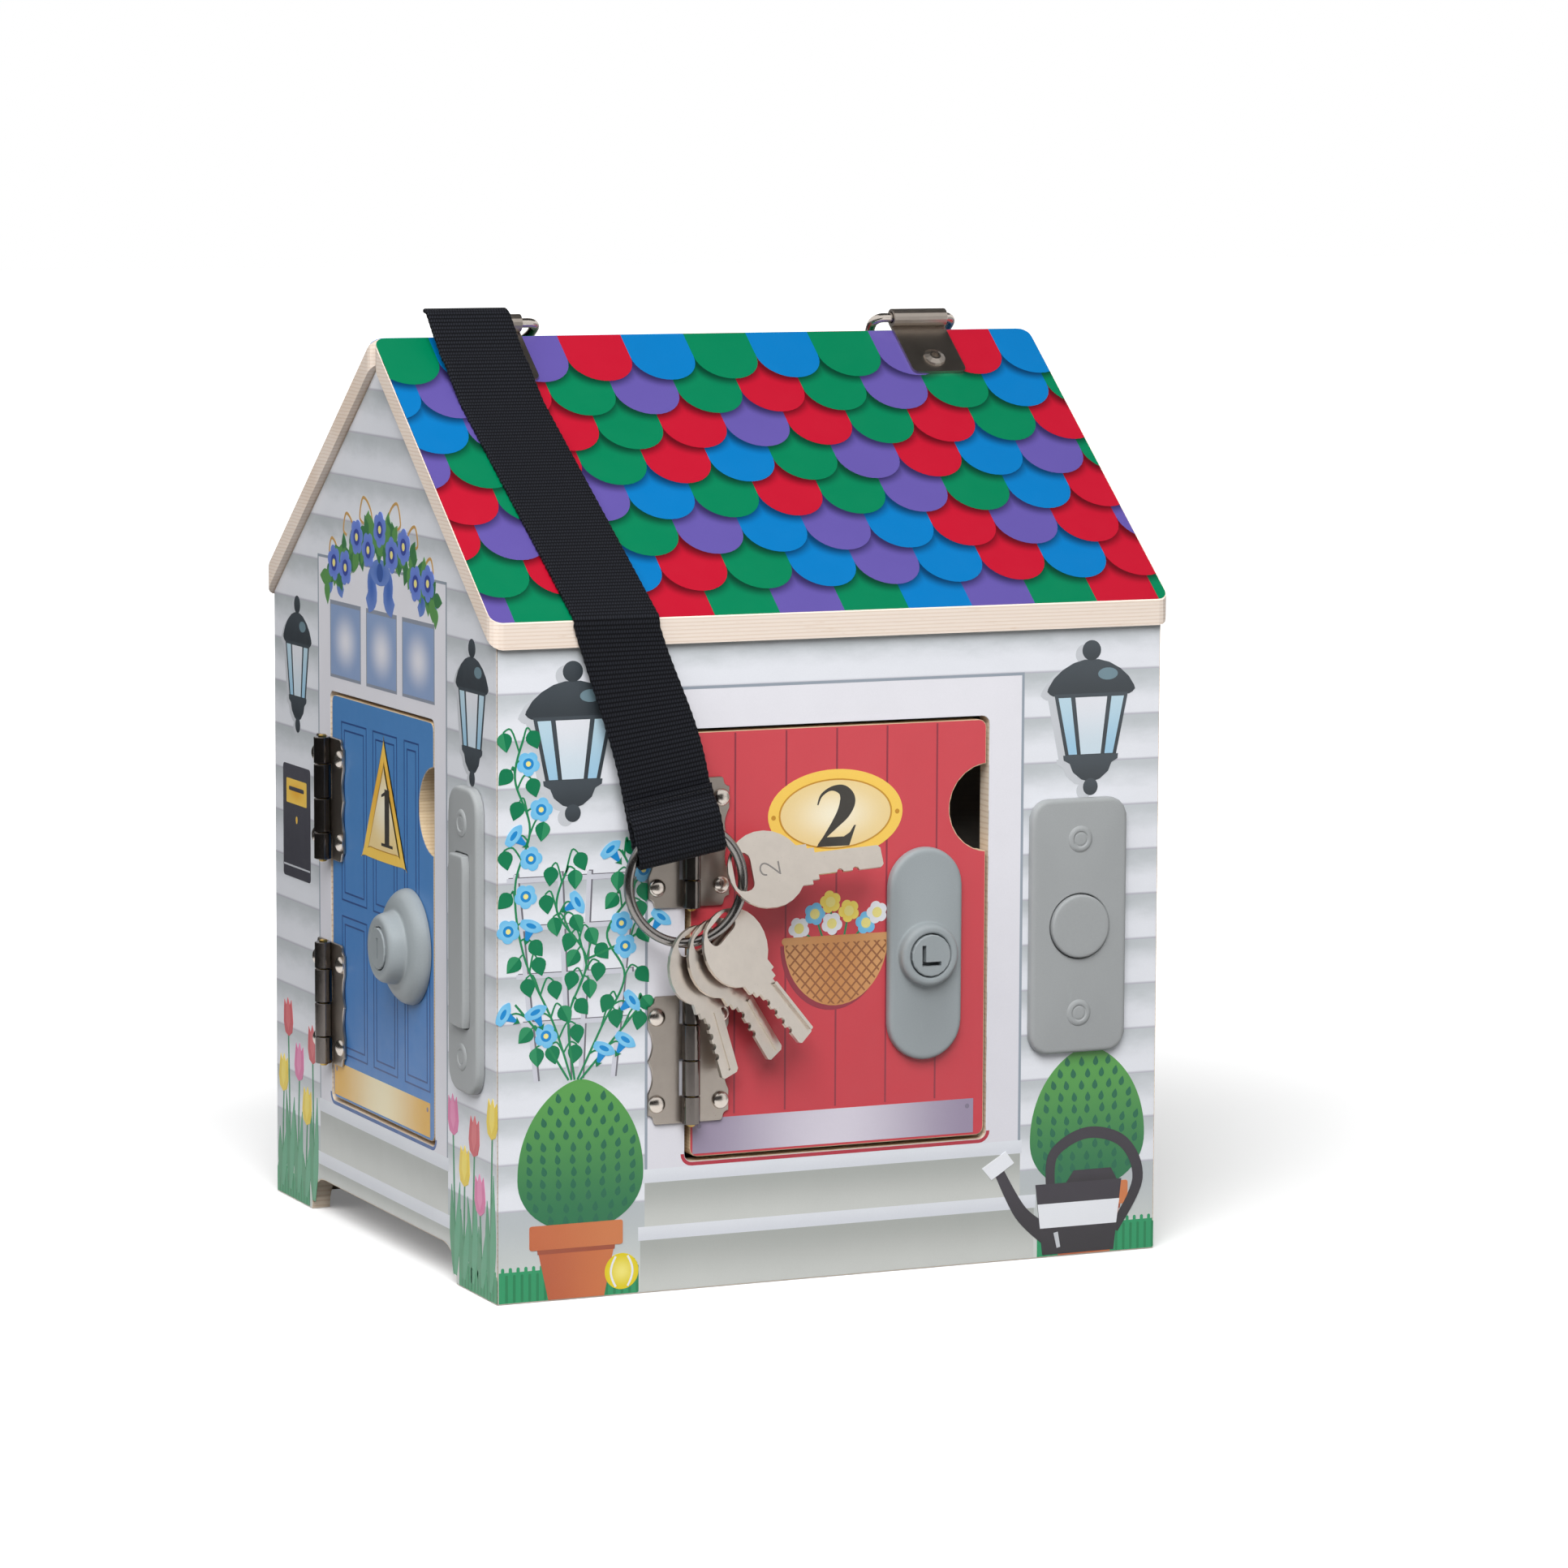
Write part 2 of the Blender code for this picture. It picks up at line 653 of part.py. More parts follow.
def hinge_leaf(own_knuckles, hand):
    # hand is -1 for the leaf on the wall and 1 for the leaf on the door. The
    # wall's leaf carries the pin, which turns in the knuckles of the other.
    back = SEAT_GAP - HINGE_AXIS_OUT
    front = back + LEAF_THICKNESS
    outline = [(hand * reach, height) for reach, height in leaf_outline(own_knuckles)]
    mesh = lofted([(outline, back), (outline, front)], outward)
    half = HINGE_LENGTH / 2
    for low, high in knuckle_spans()[own_knuckles::2]:
        if low > -half:
            low += KNUCKLE_GAP / 2
        if high < half:
            high -= KNUCKLE_GAP / 2
        ring = circle_outline(KNUCKLE_RADIUS, count=10)
        mesh = joined(mesh, lofted([(ring, low), (ring, high)], upright))
    for side in (-1, 1):
        centre = (hand * RIVET_REACH, side * RIVET_SPACING / 2)
        mesh = joined(mesh, rivet_head(RIVET_RADIUS, RIVET_HEIGHT, centre, front))
    pin_half = half + PIN_STANDOUT
    if hand < 0:
        pin = circle_outline(PIN_RADIUS, count=6)
        return joined(mesh, lofted([(pin, -pin_half), (pin, pin_half)], upright))
    bore = circle_outline(PIN_RADIUS + PIN_CLEARANCE, count=8)
    return cut(mesh, lofted([(bore, -pin_half), (bore, pin_half)], upright))


def lock_face(door):
    # How far the front of the lock stands out from the door.
    if door["lock"] == "dome":
        return SEAT_GAP + DOME_COLLAR_HEIGHT
    return SEAT_GAP + LOCK_PLATE_THICKNESS + LOCK_RING_HEIGHT


def lock_plate(door, centre):
    width = door["lock_width"]
    height = door["lock_height"]
    back = SEAT_GAP
    if door["lock"] == "dome":
        radius = width / 2
        levels = [
            (radius, back),
            (radius - LOCK_EDGE_ROUNDING / 2, back + DOME_RIM_HEIGHT),
            ((radius + DOME_SHOULDER_RADIUS) / 2, back + DOME_SHOULDER_HEIGHT - LOCK_EDGE_ROUNDING / 2),
            (DOME_SHOULDER_RADIUS, back + DOME_SHOULDER_HEIGHT),
            (DOME_COLLAR_RADIUS, back + DOME_COLLAR_HEIGHT - LOCK_RING_ROUNDING),
            (DOME_COLLAR_RADIUS - LOCK_RING_ROUNDING, back + DOME_COLLAR_HEIGHT),
        ]
        mesh = lofted([(circle_outline(reach, centre, 24), out) for reach, out in levels], outward)
    else:
        front = back + LOCK_PLATE_THICKNESS
        corner = min(width / 2, height / 2) - SEAT_GAP / 10
        if width < height * 0.6:
            radius = corner
        else:
            radius = corner / 2
        inset = LOCK_EDGE_ROUNDING
        levels = [
            (rounded_outline(width, height, radius, centre), back),
            (rounded_outline(width, height, radius, centre), front - inset),
            (rounded_outline(width - inset * 2, height - inset * 2, radius - inset, centre), front),
        ]
        mesh = lofted(levels, outward)
        ring = [
            (LOCK_RING_RADIUS, back + LOCK_PLATE_THICKNESS / 2),
            (LOCK_RING_RADIUS, front + LOCK_RING_HEIGHT - LOCK_RING_ROUNDING),
            (LOCK_RING_RADIUS - LOCK_RING_ROUNDING, front + LOCK_RING_HEIGHT),
        ]
        levels = [(circle_outline(reach, centre, 20), out) for reach, out in ring]
        mesh = joined(mesh, lofted(levels, outward))
    bore = circle_outline(PLUG_RADIUS + PLUG_CLEARANCE, centre, 20)
    return cut(mesh, lofted([(bore, -CUT_OVERRUN), (bore, lock_face(door) + CUT_OVERRUN)], outward))


def keyhole_outline(shape, width, reach):
    # The outline of a keyhole or of a folded blade, about the plug's centre.
    half = width / 2
    if shape == "I":
        return [(-half, -reach), (half, -reach), (half, reach), (-half, reach)]
    if shape == "L":
        return [
            (-reach, -reach), (reach, -reach), (reach, width - reach),
            (width - reach, width - reach), (width - reach, reach), (-reach, reach),
        ]
    if shape == "U":
        return [
            (-reach, -reach), (reach, -reach), (reach, reach), (reach - width, reach),
            (reach - width, width - reach), (width - reach, width - reach),
            (width - reach, reach), (-reach, reach),
        ]
    return [
        (0.0, -reach), (reach, reach - width), (reach - width, reach),
        (0.0, width * 1.5 - reach), (width - reach, reach), (-reach, reach - width),
    ]


def lock_cylinder(door, centre):
    # The plug with its keyhole in front, its barrel through the door and the
    # cam that turns behind the door to catch the wall.
    face = lock_face(door) + PLUG_STANDOUT
    shoulder = 2 * SEAT_GAP
    cam_front = -PLY - CAM_GAP
    cam_back = cam_front - CAM_THICKNESS
    levels = [
        (BARREL_RADIUS, cam_back), (BARREL_RADIUS, shoulder), (PLUG_RADIUS, shoulder),
        (PLUG_RADIUS, face - PLUG_EDGE), (PLUG_RADIUS - PLUG_EDGE, face),
    ]
    mesh = lofted([(circle_outline(reach, centre, 18), out) for reach, out in levels], outward)
    tongue = rounded_outline(
        CAM_WIDTH, CAM_REACH + CAM_WIDTH / 2, CAM_WIDTH / 4,
        (centre[0], centre[1] - (CAM_REACH - CAM_WIDTH / 2) / 2), 2,
    )
    mesh = joined(mesh, lofted([(tongue, cam_back - SEAT_GAP), (tongue, cam_front)], outward))
    slot = [
        (centre[0] + u, centre[1] + v)
        for u, v in keyhole_outline(door["keyhole"], KEYHOLE_SLOT, KEYHOLE_REACH)
    ]
    return cut(mesh, lofted([(slot, face - KEYHOLE_DEPTH), (slot, face + CUT_OVERRUN)], outward))


def bell_plate(door):
    centre = (door["bell_x"], door["bell_z"])
    width, height, radius = door["bell_width"], door["bell_height"], door["bell_corner"]
    back = SEAT_GAP
    front = back + BELL_PLATE_THICKNESS
    inset = BELL_EDGE_ROUNDING
    levels = [
        (rounded_outline(width, height, radius, centre, 4), back),
        (rounded_outline(width, height, radius, centre, 4), front - inset),
        (rounded_outline(width - inset * 2, height - inset * 2, radius - inset, centre, 4), front),
    ]
    mesh = lofted(levels, outward)
    for side in (-1, 1):
        place = (centre[0], centre[1] + side * door["screw_spread"] / 2)
        mesh = joined(mesh, rivet_head(BELL_SCREW_RADIUS, BELL_SCREW_HEIGHT, place, front, 10))
    hole = rounded_outline(
        door["button_width"] + 2 * BUTTON_CLEARANCE, door["button_height"] + 2 * BUTTON_CLEARANCE,
        door["button_corner"] + BUTTON_CLEARANCE, centre, 4,
    )
    return cut(mesh, lofted([(hole, -CUT_OVERRUN), (hole, front + CUT_OVERRUN)], outward))


def bell_button(door):
    # The cap in the plate and the stem that pushes the switch behind the wall.
    centre = (door["bell_x"], door["bell_z"])
    width, height, radius = door["button_width"], door["button_height"], door["button_corner"]
    face = SEAT_GAP + BELL_PLATE_THICKNESS + door["button_out"]
    levels = [
        (rounded_outline(width, height, radius, centre, 4), BUTTON_BACK_LIFT),
        (rounded_outline(width, height, radius, centre, 4), face - BUTTON_EDGE),
        (
            rounded_outline(
                width - BUTTON_EDGE * 2, height - BUTTON_EDGE * 2, radius - BUTTON_EDGE, centre, 4,
            ),
            face,
        ),
    ]
    stem = circle_outline(STEM_RADIUS, centre, 8)
    stem_mesh = lofted([(stem, -PLY - STEM_REACH), (stem, (BUTTON_BACK_LIFT + face) / 2)], outward)
    return joined(lofted(levels, outward), stem_mesh)


def slope_point(side, along, height):
    # A point on a roof slope, by its distance down from the ridge and its
    # height above the surface. side is -1 for the front and 1 for the back.
    return Vector((
        side * (along * math.cos(SLOPE) + height * math.sin(SLOPE)),
        RIDGE_HEIGHT - along * math.sin(SLOPE) + height * math.cos(SLOPE),
    ))


CURL_RADIUS = D_WIRE_RADIUS + D_WIRE_CLEARANCE + BRACKET_METAL
CURL_CENTRE = Vector((0.0, RIDGE_HEIGHT + (SEAT_GAP + CURL_RADIUS) / math.cos(SLOPE)))


def bracket_mesh():
    # A strip curled round the ring's bar at the ridge and riveted in front.
    down_slope = Vector((-math.cos(SLOPE), -math.sin(SLOPE)))
    off_slope = Vector((-math.sin(SLOPE), math.cos(SLOPE)))
    meet = math.asin((BRACKET_METAL - CURL_RADIUS) / CURL_RADIUS)
    outline = [
        tuple(slope_point(-1, BRACKET_LENGTH, SEAT_GAP)),
        tuple(slope_point(-1, BRACKET_LENGTH, SEAT_GAP + BRACKET_METAL)),
    ]
    steps = 14
    for step in range(steps + 1):
        angle = meet + (math.pi * 1.5 - meet) * step / steps
        spoke = down_slope * math.cos(angle) + off_slope * math.sin(angle)
        outline.append(tuple(CURL_CENTRE + spoke * CURL_RADIUS))
    half = BRACKET_WIDTH / 2
    mesh = lofted([(outline, -half), (outline, half)], sideways)
    shape = bmesh.new()
    shape.from_mesh(mesh)
    toe = -BRACKET_LENGTH * math.cos(SLOPE) * 0.9
    corners = [
        edge for edge in shape.edges
        if all(vertex.co.y < toe and abs(vertex.co.x) > half * 0.9 for vertex in edge.verts)
        and edge.calc_length() < 2 * BRACKET_METAL
    ]
    bmesh.ops.bevel(shape, geom=corners, offset=BRACKET_CORNER, segments=3, profile=0.5, affect="EDGES")
    bore = circle_outline(D_WIRE_RADIUS + D_WIRE_CLEARANCE, tuple(CURL_CENTRE), 12)
    mesh = cut(to_mesh(shape), lofted([(bore, -half - CUT_OVERRUN), (bore, half + CUT_OVERRUN)], sideways))
    lay_flat = Matrix.Translation((0.0, *slope_point(-1, BRACKET_RIVET_PLACE, SEAT_GAP + BRACKET_METAL)))
    lay_flat = lay_flat @ Matrix.Rotation(SLOPE - math.pi / 2, 4, "X")
    head = rivet_head(BRACKET_RIVET_RADIUS, BRACKET_RIVET_HEIGHT, (0.0, 0.0), 0.0, 12)
    head.transform(lay_flat)
    hollow = circle_outline(BRACKET_RIVET_BORE, count=8)
    hollow_mesh = lofted([
        (hollow, BRACKET_RIVET_HEIGHT - BRACKET_RIVET_BORE_DEPTH),
        (hollow, BRACKET_RIVET_HEIGHT + CUT_OVERRUN),
    ], outward)
    hollow_mesh.transform(lay_flat)
    return cut(joined(mesh, head), hollow_mesh)


def d_ring_mesh(lie):
    # Drawn about its own bar, lying down the back slope at the angle given.
    points = []
    straight = D_HALF_WIDTH - D_CORNER_RADIUS
    bar_steps = 2
    for step in range(bar_steps):
        points.append((straight * (2 * step / bar_steps - 1), 0.0))
    corner_steps = 3
    for step in range(corner_steps):
        angle = math.pi / 2 * step / corner_steps
        points.append((
            straight + D_CORNER_RADIUS * math.sin(angle),
            D_CORNER_RADIUS * (1 - math.cos(angle)),
        ))
    bow_steps = 14
    for step in range(bow_steps + 1):
        angle = math.pi * step / bow_steps
        points.append((
            D_HALF_WIDTH * math.cos(angle),
            D_CORNER_RADIUS + (D_DEPTH - D_CORNER_RADIUS) * math.sin(angle),
        ))
    for step in range(1, corner_steps):
        angle = math.pi / 2 * step / corner_steps
        points.append((
            -straight - D_CORNER_RADIUS * math.cos(angle),
            D_CORNER_RADIUS * (1 - math.sin(angle)),
        ))
    path = [Vector((across, down * math.cos(lie), -down * math.sin(lie))) for across, down in points]
    return tube(path, D_WIRE_RADIUS, 8, True)


def d_ring_lie(height):
    # The angle at which a ring lies when its far end is at this height above
    # the back slope.
    off_slope = Vector((math.sin(SLOPE), math.cos(SLOPE)))
    bar_height = (CURL_CENTRE - slope_point(1, 0.0, 0.0)).dot(off_slope)
    return SLOPE - math.asin((height - bar_height) / D_DEPTH)


STRAP_D_HEIGHT = 2 * SEAT_GAP + STRAP_THICKNESS + D_WIRE_RADIUS


def strap_roof_mesh():
    # From a hem round the left ring, over the ridge and down to the eave.
    half = STRAP_THICKNESS / 2
    lie = d_ring_lie(STRAP_D_HEIGHT)
    away = Vector((math.cos(lie), -math.sin(lie)))
    above = Vector((math.sin(lie), math.cos(lie)))
    lift = D_WIRE_RADIUS + SEAT_GAP + half
    far = CURL_CENTRE + away * D_DEPTH
    down_slope = Vector((math.cos(SLOPE), -math.sin(SLOPE)))
    off_slope = Vector((math.sin(SLOPE), math.cos(SLOPE)))
    line = [far - off_slope * lift - down_slope * STRAP_HEM_REACH, far - off_slope * lift]
    turn_steps = 5
    for step in range(1, turn_steps):
        angle = math.pi * step / turn_steps
        line.append(far + down_slope * lift * math.sin(angle) - off_slope * lift * math.cos(angle))
    line.append(far + off_slope * lift)
    rivet_top = SEAT_GAP + BRACKET_METAL + BRACKET_RIVET_HEIGHT + SEAT_GAP + half
    lying = SEAT_GAP + half
    eave_run = (HOUSE_DEPTH / 2 + EAVE_OVERHANG) / math.cos(SLOPE)
    rivet_start = slope_point(-1, BRACKET_RIVET_PLACE - BRACKET_RIVET_RADIUS / 2, rivet_top)
    over = CURL_RADIUS + 2 * SEAT_GAP + half
    reach = rivet_start - CURL_CENTRE
    back_angle = math.atan2(above.y, above.x)
    front_angle = math.atan2(reach.y, reach.x) % math.tau - math.acos(over / reach.length)
    arc_steps = 6
    for step in range(arc_steps + 1):
        angle = back_angle + (front_angle - back_angle) * step / arc_steps
        line.append(CURL_CENTRE + Vector((math.cos(angle), math.sin(angle))) * over)
    line += [
        rivet_start,
        slope_point(-1, BRACKET_RIVET_PLACE + BRACKET_RIVET_RADIUS / 2, rivet_top),
        slope_point(-1, (BRACKET_RIVET_PLACE + STRAP_REST_REACH) / 2, (rivet_top + lying) / 2),
        slope_point(-1, STRAP_REST_REACH, lying),
        slope_point(-1, (STRAP_REST_REACH + eave_run) / 2, lying),
    ]
    eave = Vector((-HOUSE_DEPTH / 2 - EAVE_OVERHANG, EAVE_HEIGHT))
    line.append(slope_point(-1, eave_run, lying))
    for share in (0.35, 0.7, 1.0):
        angle = math.pi / 2 + SLOPE + (math.pi / 2 - SLOPE) * share
        line.append(eave + Vector((math.cos(angle), math.sin(angle))) * lying)
    line.append(Vector((eave.x - lying, TAIL_TOP + TAIL_JOINT_GAP)))
    stations = []
    across = Vector((1.0, 0.0, 0.0))
    for index, point in enumerate(line):
        tangent = line[min(index + 1, len(line) - 1)] - line[max(index - 1, 0)]
        tangent = Vector((0.0, *tangent)).normalized()
        share = min(max(-point.x / -eave.x, 0.0), 1.0)
        behind = min(max(point.x / far.x, 0.0), 1.0)
        ring_x = D_SHIFT - BRACKET_X
        place = STRAP_RIDGE_X + (STRAP_EAVE_X - STRAP_RIDGE_X) * share + (ring_x - STRAP_RIDGE_X) * behind
        stations.append((Vector((place, *point)), across, across.cross(tangent)))
    return ribbon(stations, STRAP_WIDTH, STRAP_THICKNESS)


def ring_place():
    # The key ring's own frame: X across it, Z up it and -Y out of its face.
    centre = Vector((RING_X, -HOUSE_DEPTH / 2 - RING_STANDOFF, RING_HEIGHT))
    return Matrix.Translation(centre) @ Matrix.Rotation(-TAIL_TURN, 4, "Z")


def strap_tail_mesh():
    # From the eave down in front of the door, round the key ring and back up
    # to a sewn end in front.
    place = ring_place() @ Matrix.Rotation(-TAIL_LEAN, 4, "Y")
    across = (place.to_3x3() @ Vector((1.0, 0.0, 0.0))).normalized()
    half = STRAP_THICKNESS / 2
    layer = RING_WIRE_RADIUS + RING_CLEARANCE + half
    inner = layer - half
    pocket_top = RING_RADIUS + RING_WIRE_RADIUS + RING_CLEARANCE
    close = -layer + STRAP_THICKNESS + FOLD_LAYER_GAP
    eave_out = EAVE_OVERHANG + SEAT_GAP + half
    top = Vector((STRAP_EAVE_X, -HOUSE_DEPTH / 2 - eave_out, TAIL_TOP))
    lower = place @ Vector((0.0, layer, TAIL_STRAIGHT_TOP))
    lower_direction = (place.to_3x3() @ Vector((0.0, 0.0, -1.0))).normalized()
    upper_direction = Vector((lower.x - top.x, 0.0, lower.z - top.z)).normalized()
    span = (lower - top).length
    stations = []
    steps = 8
    for step in range(steps):
        t = step / steps
        point = (
            top * (2 * t ** 3 - 3 * t ** 2 + 1) + lower * (3 * t ** 2 - 2 * t ** 3)
            + upper_direction * span * (t ** 3 - 2 * t ** 2 + t) + lower_direction * span * (t ** 3 - t ** 2)
        )
        side = Vector((1.0, 0.0, 0.0)).lerp(across, t * t * (3 - 2 * t)).normalized()
        stations.append((point, side))
    path = [(TAIL_STRAIGHT_TOP, -layer), (FOLD_TOP, -layer), (pocket_top, -layer)]
    turn_steps = 6
    for step in range(turn_steps + 1):
        angle = math.pi * step / turn_steps
        path.append((FOLD_INSIDE + inner - layer * math.sin(angle), -layer * math.cos(angle)))
    path += [
        (pocket_top - FOLD_CLOSE / 2, layer),
        (pocket_top + FOLD_CLOSE / 8, layer - FOLD_CLOSE / 8),
        (pocket_top + FOLD_CLOSE, close),
        (FOLD_TOP, close),
    ]
    stations += [(place @ Vector((0.0, -out, up)), across) for up, out in path]
    full = []
    for index, (point, side) in enumerate(stations):
        tangent = stations[min(index + 1, len(stations) - 1)][0] - stations[max(index - 1, 0)][0]
        if index == 0:
            tangent = Vector((0.0, 0.0, -1.0))
        full.append((point, side, side.cross(tangent).normalized()))
    mesh = ribbon(full, STRAP_WIDTH, STRAP_THICKNESS)
    seam = rounded_outline(
        STRAP_WIDTH - 2 * SEAM_INSET, SEAM_HEIGHT, SEAM_INSET / 4,
        (0.0, FOLD_TOP - SEAM_INSET / 2 - SEAM_HEIGHT / 2), 1,
    )
    seam_mesh = lofted([(seam, -layer), (seam, close)], outward)
    seam_mesh.transform(place)
    return joined(mesh, seam_mesh)


def key_ring_mesh():
    path = []
    steps = 28
    for step in range(steps):
        angle = math.tau * step / steps
        path.append(Vector((RING_RADIUS * math.cos(angle), 0.0, RING_RADIUS * math.sin(angle))))
    return tube(path, RING_WIRE_RADIUS, 8, True)


def key_outline(notch_shares):
    # Along U from the bow to the tip, about the middle of the ring's slot.
    bow = KEY_SLOT_SETBACK
    tip = bow + KEY_REACH
    blade = KEY_BLADE_WIDTH / 2
    neck = bow + KEY_NECK_REACH
    shoulder = bow + KEY_SHOULDER_REACH
    join = math.asin(KEY_NECK_WIDTH / 2 / KEY_BOW_RADIUS)
    arc_steps = 22
    points = []
    for step in range(arc_steps + 1):
        angle = join + (math.tau - 2 * join) * step / arc_steps
        points.append((bow + KEY_BOW_RADIUS * math.cos(angle), KEY_BOW_RADIUS * math.sin(angle)))
    points += [
        (neck, -KEY_NECK_WIDTH / 2), (neck, -KEY_SHOULDER_WIDTH / 2),
        (shoulder, -KEY_SHOULDER_WIDTH / 2), (shoulder, -blade),
    ]
    for share in notch_shares:
        centre = shoulder + (tip - shoulder) * share + KEY_NOTCH_RADIUS
        for step in range(6):
            angle = math.pi * (1 - step / 5)
            points.append((
                centre + KEY_NOTCH_RADIUS * math.cos(angle),
                KEY_NOTCH_RADIUS * math.sin(angle) - blade,
            ))
    points += [
        (tip - KEY_TIP_CUT, -blade), (tip, KEY_TIP_CUT - blade),
        (tip, blade - KEY_TIP_CUT), (tip - KEY_TIP_CUT, blade),
        (shoulder, blade), (shoulder, KEY_SHOULDER_WIDTH / 2),
        (neck, KEY_SHOULDER_WIDTH / 2), (neck, KEY_NECK_WIDTH / 2),
    ]
    return points


def key_mesh(key):
    half = KEY_THICKNESS / 2
    outline = key_outline(key["notch_shares"])
    mesh = lofted([(outline, -half), (outline, half)], outward)
    slot = rounded_outline(2 * KEY_SLOT_HALF_WIDTH, 2 * KEY_SLOT_HALF_LENGTH, KEY_SLOT_CORNER, steps=3)
    mesh = cut(mesh, lofted([(slot, -CUT_OVERRUN), (slot, CUT_OVERRUN)], outward))
    start = KEY_SLOT_SETBACK + KEY_SHOULDER_REACH + KEY_TIP_CUT
    end = KEY_SLOT_SETBACK + KEY_REACH - KEY_TIP_CUT
    length = end - start
    middle = (start + end) / 2
    edge = (KEY_BLADE_WIDTH - KEY_FOLD_METAL) / 2 - SEAT_GAP / 3
    flange = rounded_outline(length, KEY_FOLD_METAL, KEY_FOLD_METAL / 4, (middle, edge), 1)
    if key["fold"] in ("L", "U"):
        mesh = joined(mesh, lofted([(flange, -half - KEY_FOLD_DEPTH), (flange, 0.0)], outward))
    if key["fold"] == "V":
        mesh = joined(mesh, lofted([(flange, 0.0), (flange, half + KEY_FOLD_DEPTH / 2)], outward))
    if key["fold"] == "U":
        lip = rounded_outline(length, KEY_FOLD_METAL, KEY_FOLD_METAL / 4, (middle, KEY_FOLD_METAL), 1)
        mesh = joined(mesh, lofted([(lip, 0.0), (lip, half + KEY_FOLD_DEPTH / 3)], outward))
    if key["fold"] == "I":
        groove = rounded_outline(
            length, KEY_GROOVE_WIDTH, KEY_GROOVE_WIDTH / 4, (middle - KEY_TIP_CUT, 0.0), 1,
        )
        mesh = cut(mesh, lofted([(groove, half - KEY_GROOVE_DEPTH), (groove, half + CUT_OVERRUN)], outward))
    return mesh


def key_place(key):
    # In the ring's frame: the wire runs through the slot, so the key's plane
    # leans across it, and the key points out along the ring's radius.
    radial = Vector((math.cos(key["place"]), 0.0, math.sin(key["place"])))
    along_wire = Vector((-math.sin(key["place"]), 0.0, math.cos(key["place"])))
    face = Vector((0.0, -1.0, 0.0))
    up = along_wire * math.cos(KEY_TILT) - face * math.sin(KEY_TILT)
    normal = along_wire * math.sin(KEY_TILT) + face * math.cos(KEY_TILT)
    length_axis = radial * math.cos(key["turn"]) + up * math.sin(key["turn"])
    width_axis = up * math.cos(key["turn"]) - radial * math.sin(key["turn"])
    place = Matrix((length_axis, -normal, width_axis)).transposed().to_4x4()
    place.translation = radial * RING_RADIUS
    return place


def divider_mesh(hand, half_length, low, high):
    # Two upright panels cross in the middle, each notched over half its height.
    half = DIVIDER_THICKNESS / 2
    middle = (low + high) / 2
    slot = half + SEAT_GAP
    lap = SEAT_GAP / 2
    if hand > 0:
        outline = [
            (-half_length, low), (half_length, low), (half_length, high), (slot, high),
            (slot, middle - lap), (-slot, middle - lap), (-slot, high), (-half_length, high),
        ]
    else:
        outline = [
            (-half_length, low), (-slot, low), (-slot, middle + lap), (slot, middle + lap),
            (slot, low), (half_length, low), (half_length, high), (-half_length, high),
        ]
    return lofted([(outline, -half), (outline, half)], outward)


def sound_box_mesh(top):
    bottom = top - SOUND_BOX_HEIGHT
    box = rounded_outline(SOUND_BOX_LENGTH, SOUND_BOX_WIDTH, SOUND_BOX_CORNER, steps=3)
    mesh = lofted([(box, bottom), (box, top)], upright)
    bay = rounded_outline(BAY_LENGTH, BAY_WIDTH, COVER_CORNER, (BAY_OFFSET, 0.0), 2)
    ledge = rounded_outline(
        BAY_LENGTH + 2 * COVER_LEDGE, BAY_WIDTH + 2 * COVER_LEDGE, COVER_CORNER, (BAY_OFFSET, 0.0), 2,
    )
    mesh = cut(
        mesh,
        lofted([(bay, bottom - CUT_OVERRUN), (bay, bottom + BAY_DEPTH)], upright),
        lofted([(ledge, bottom - CUT_OVERRUN), (ledge, bottom + COVER_THICKNESS + SEAT_GAP)], upright),
    )
    slots = 3
    for index in range(slots):
        place = (GRILLE_OFFSET, (index - (slots - 1) / 2) * GRILLE_PITCH)
        slot = rounded_outline(GRILLE_SLOT_LENGTH, GRILLE_SLOT_WIDTH, GRILLE_SLOT_WIDTH / 3, place, 1)
        mesh = cut(mesh, lofted([(slot, bottom - CUT_OVERRUN), (slot, bottom + GRILLE_SLOT_DEPTH)], upright))
    return mesh


def battery_cover_mesh(bottom):
    cover = rounded_outline(
        BAY_LENGTH + 2 * COVER_LEDGE - 2 * SEAT_GAP, BAY_WIDTH + 2 * COVER_LEDGE - 2 * SEAT_GAP,
        COVER_CORNER - SEAT_GAP, (BAY_OFFSET, 0.0), 2,
    )
    mesh = lofted([(cover, bottom), (cover, bottom + COVER_THICKNESS)], upright)
    hole = circle_outline(COVER_SCREW_RADIUS + SEAT_GAP, cover_screw_place(), 12)
    return cut(mesh, lofted([(hole, bottom - CUT_OVERRUN), (hole, bottom + COVER_SCREW_HEIGHT)], upright))


def cover_screw_place():
    return (BAY_OFFSET + BAY_LENGTH / 2 - 2 * COVER_SCREW_RADIUS, 0.0)


def cover_screw_mesh(bottom):
    head = circle_outline(COVER_SCREW_RADIUS, cover_screw_place(), 12)
    mesh = lofted([(head, bottom), (head, bottom + COVER_SCREW_HEIGHT - SEAT_GAP)], upright)
    for size in ((1.0, 0.0), (0.0, 1.0)):
        slot = rounded_outline(
            COVER_SCREW_SLOT + size[0] * COVER_SCREW_RADIUS, COVER_SCREW_SLOT + size[1] * COVER_SCREW_RADIUS,
            COVER_SCREW_SLOT / 4, cover_screw_place(), 1,
        )
        mesh = cut(mesh, lofted([(slot, bottom - CUT_OVERRUN), (slot, bottom + COVER_SCREW_SLOT)], upright))
    return mesh


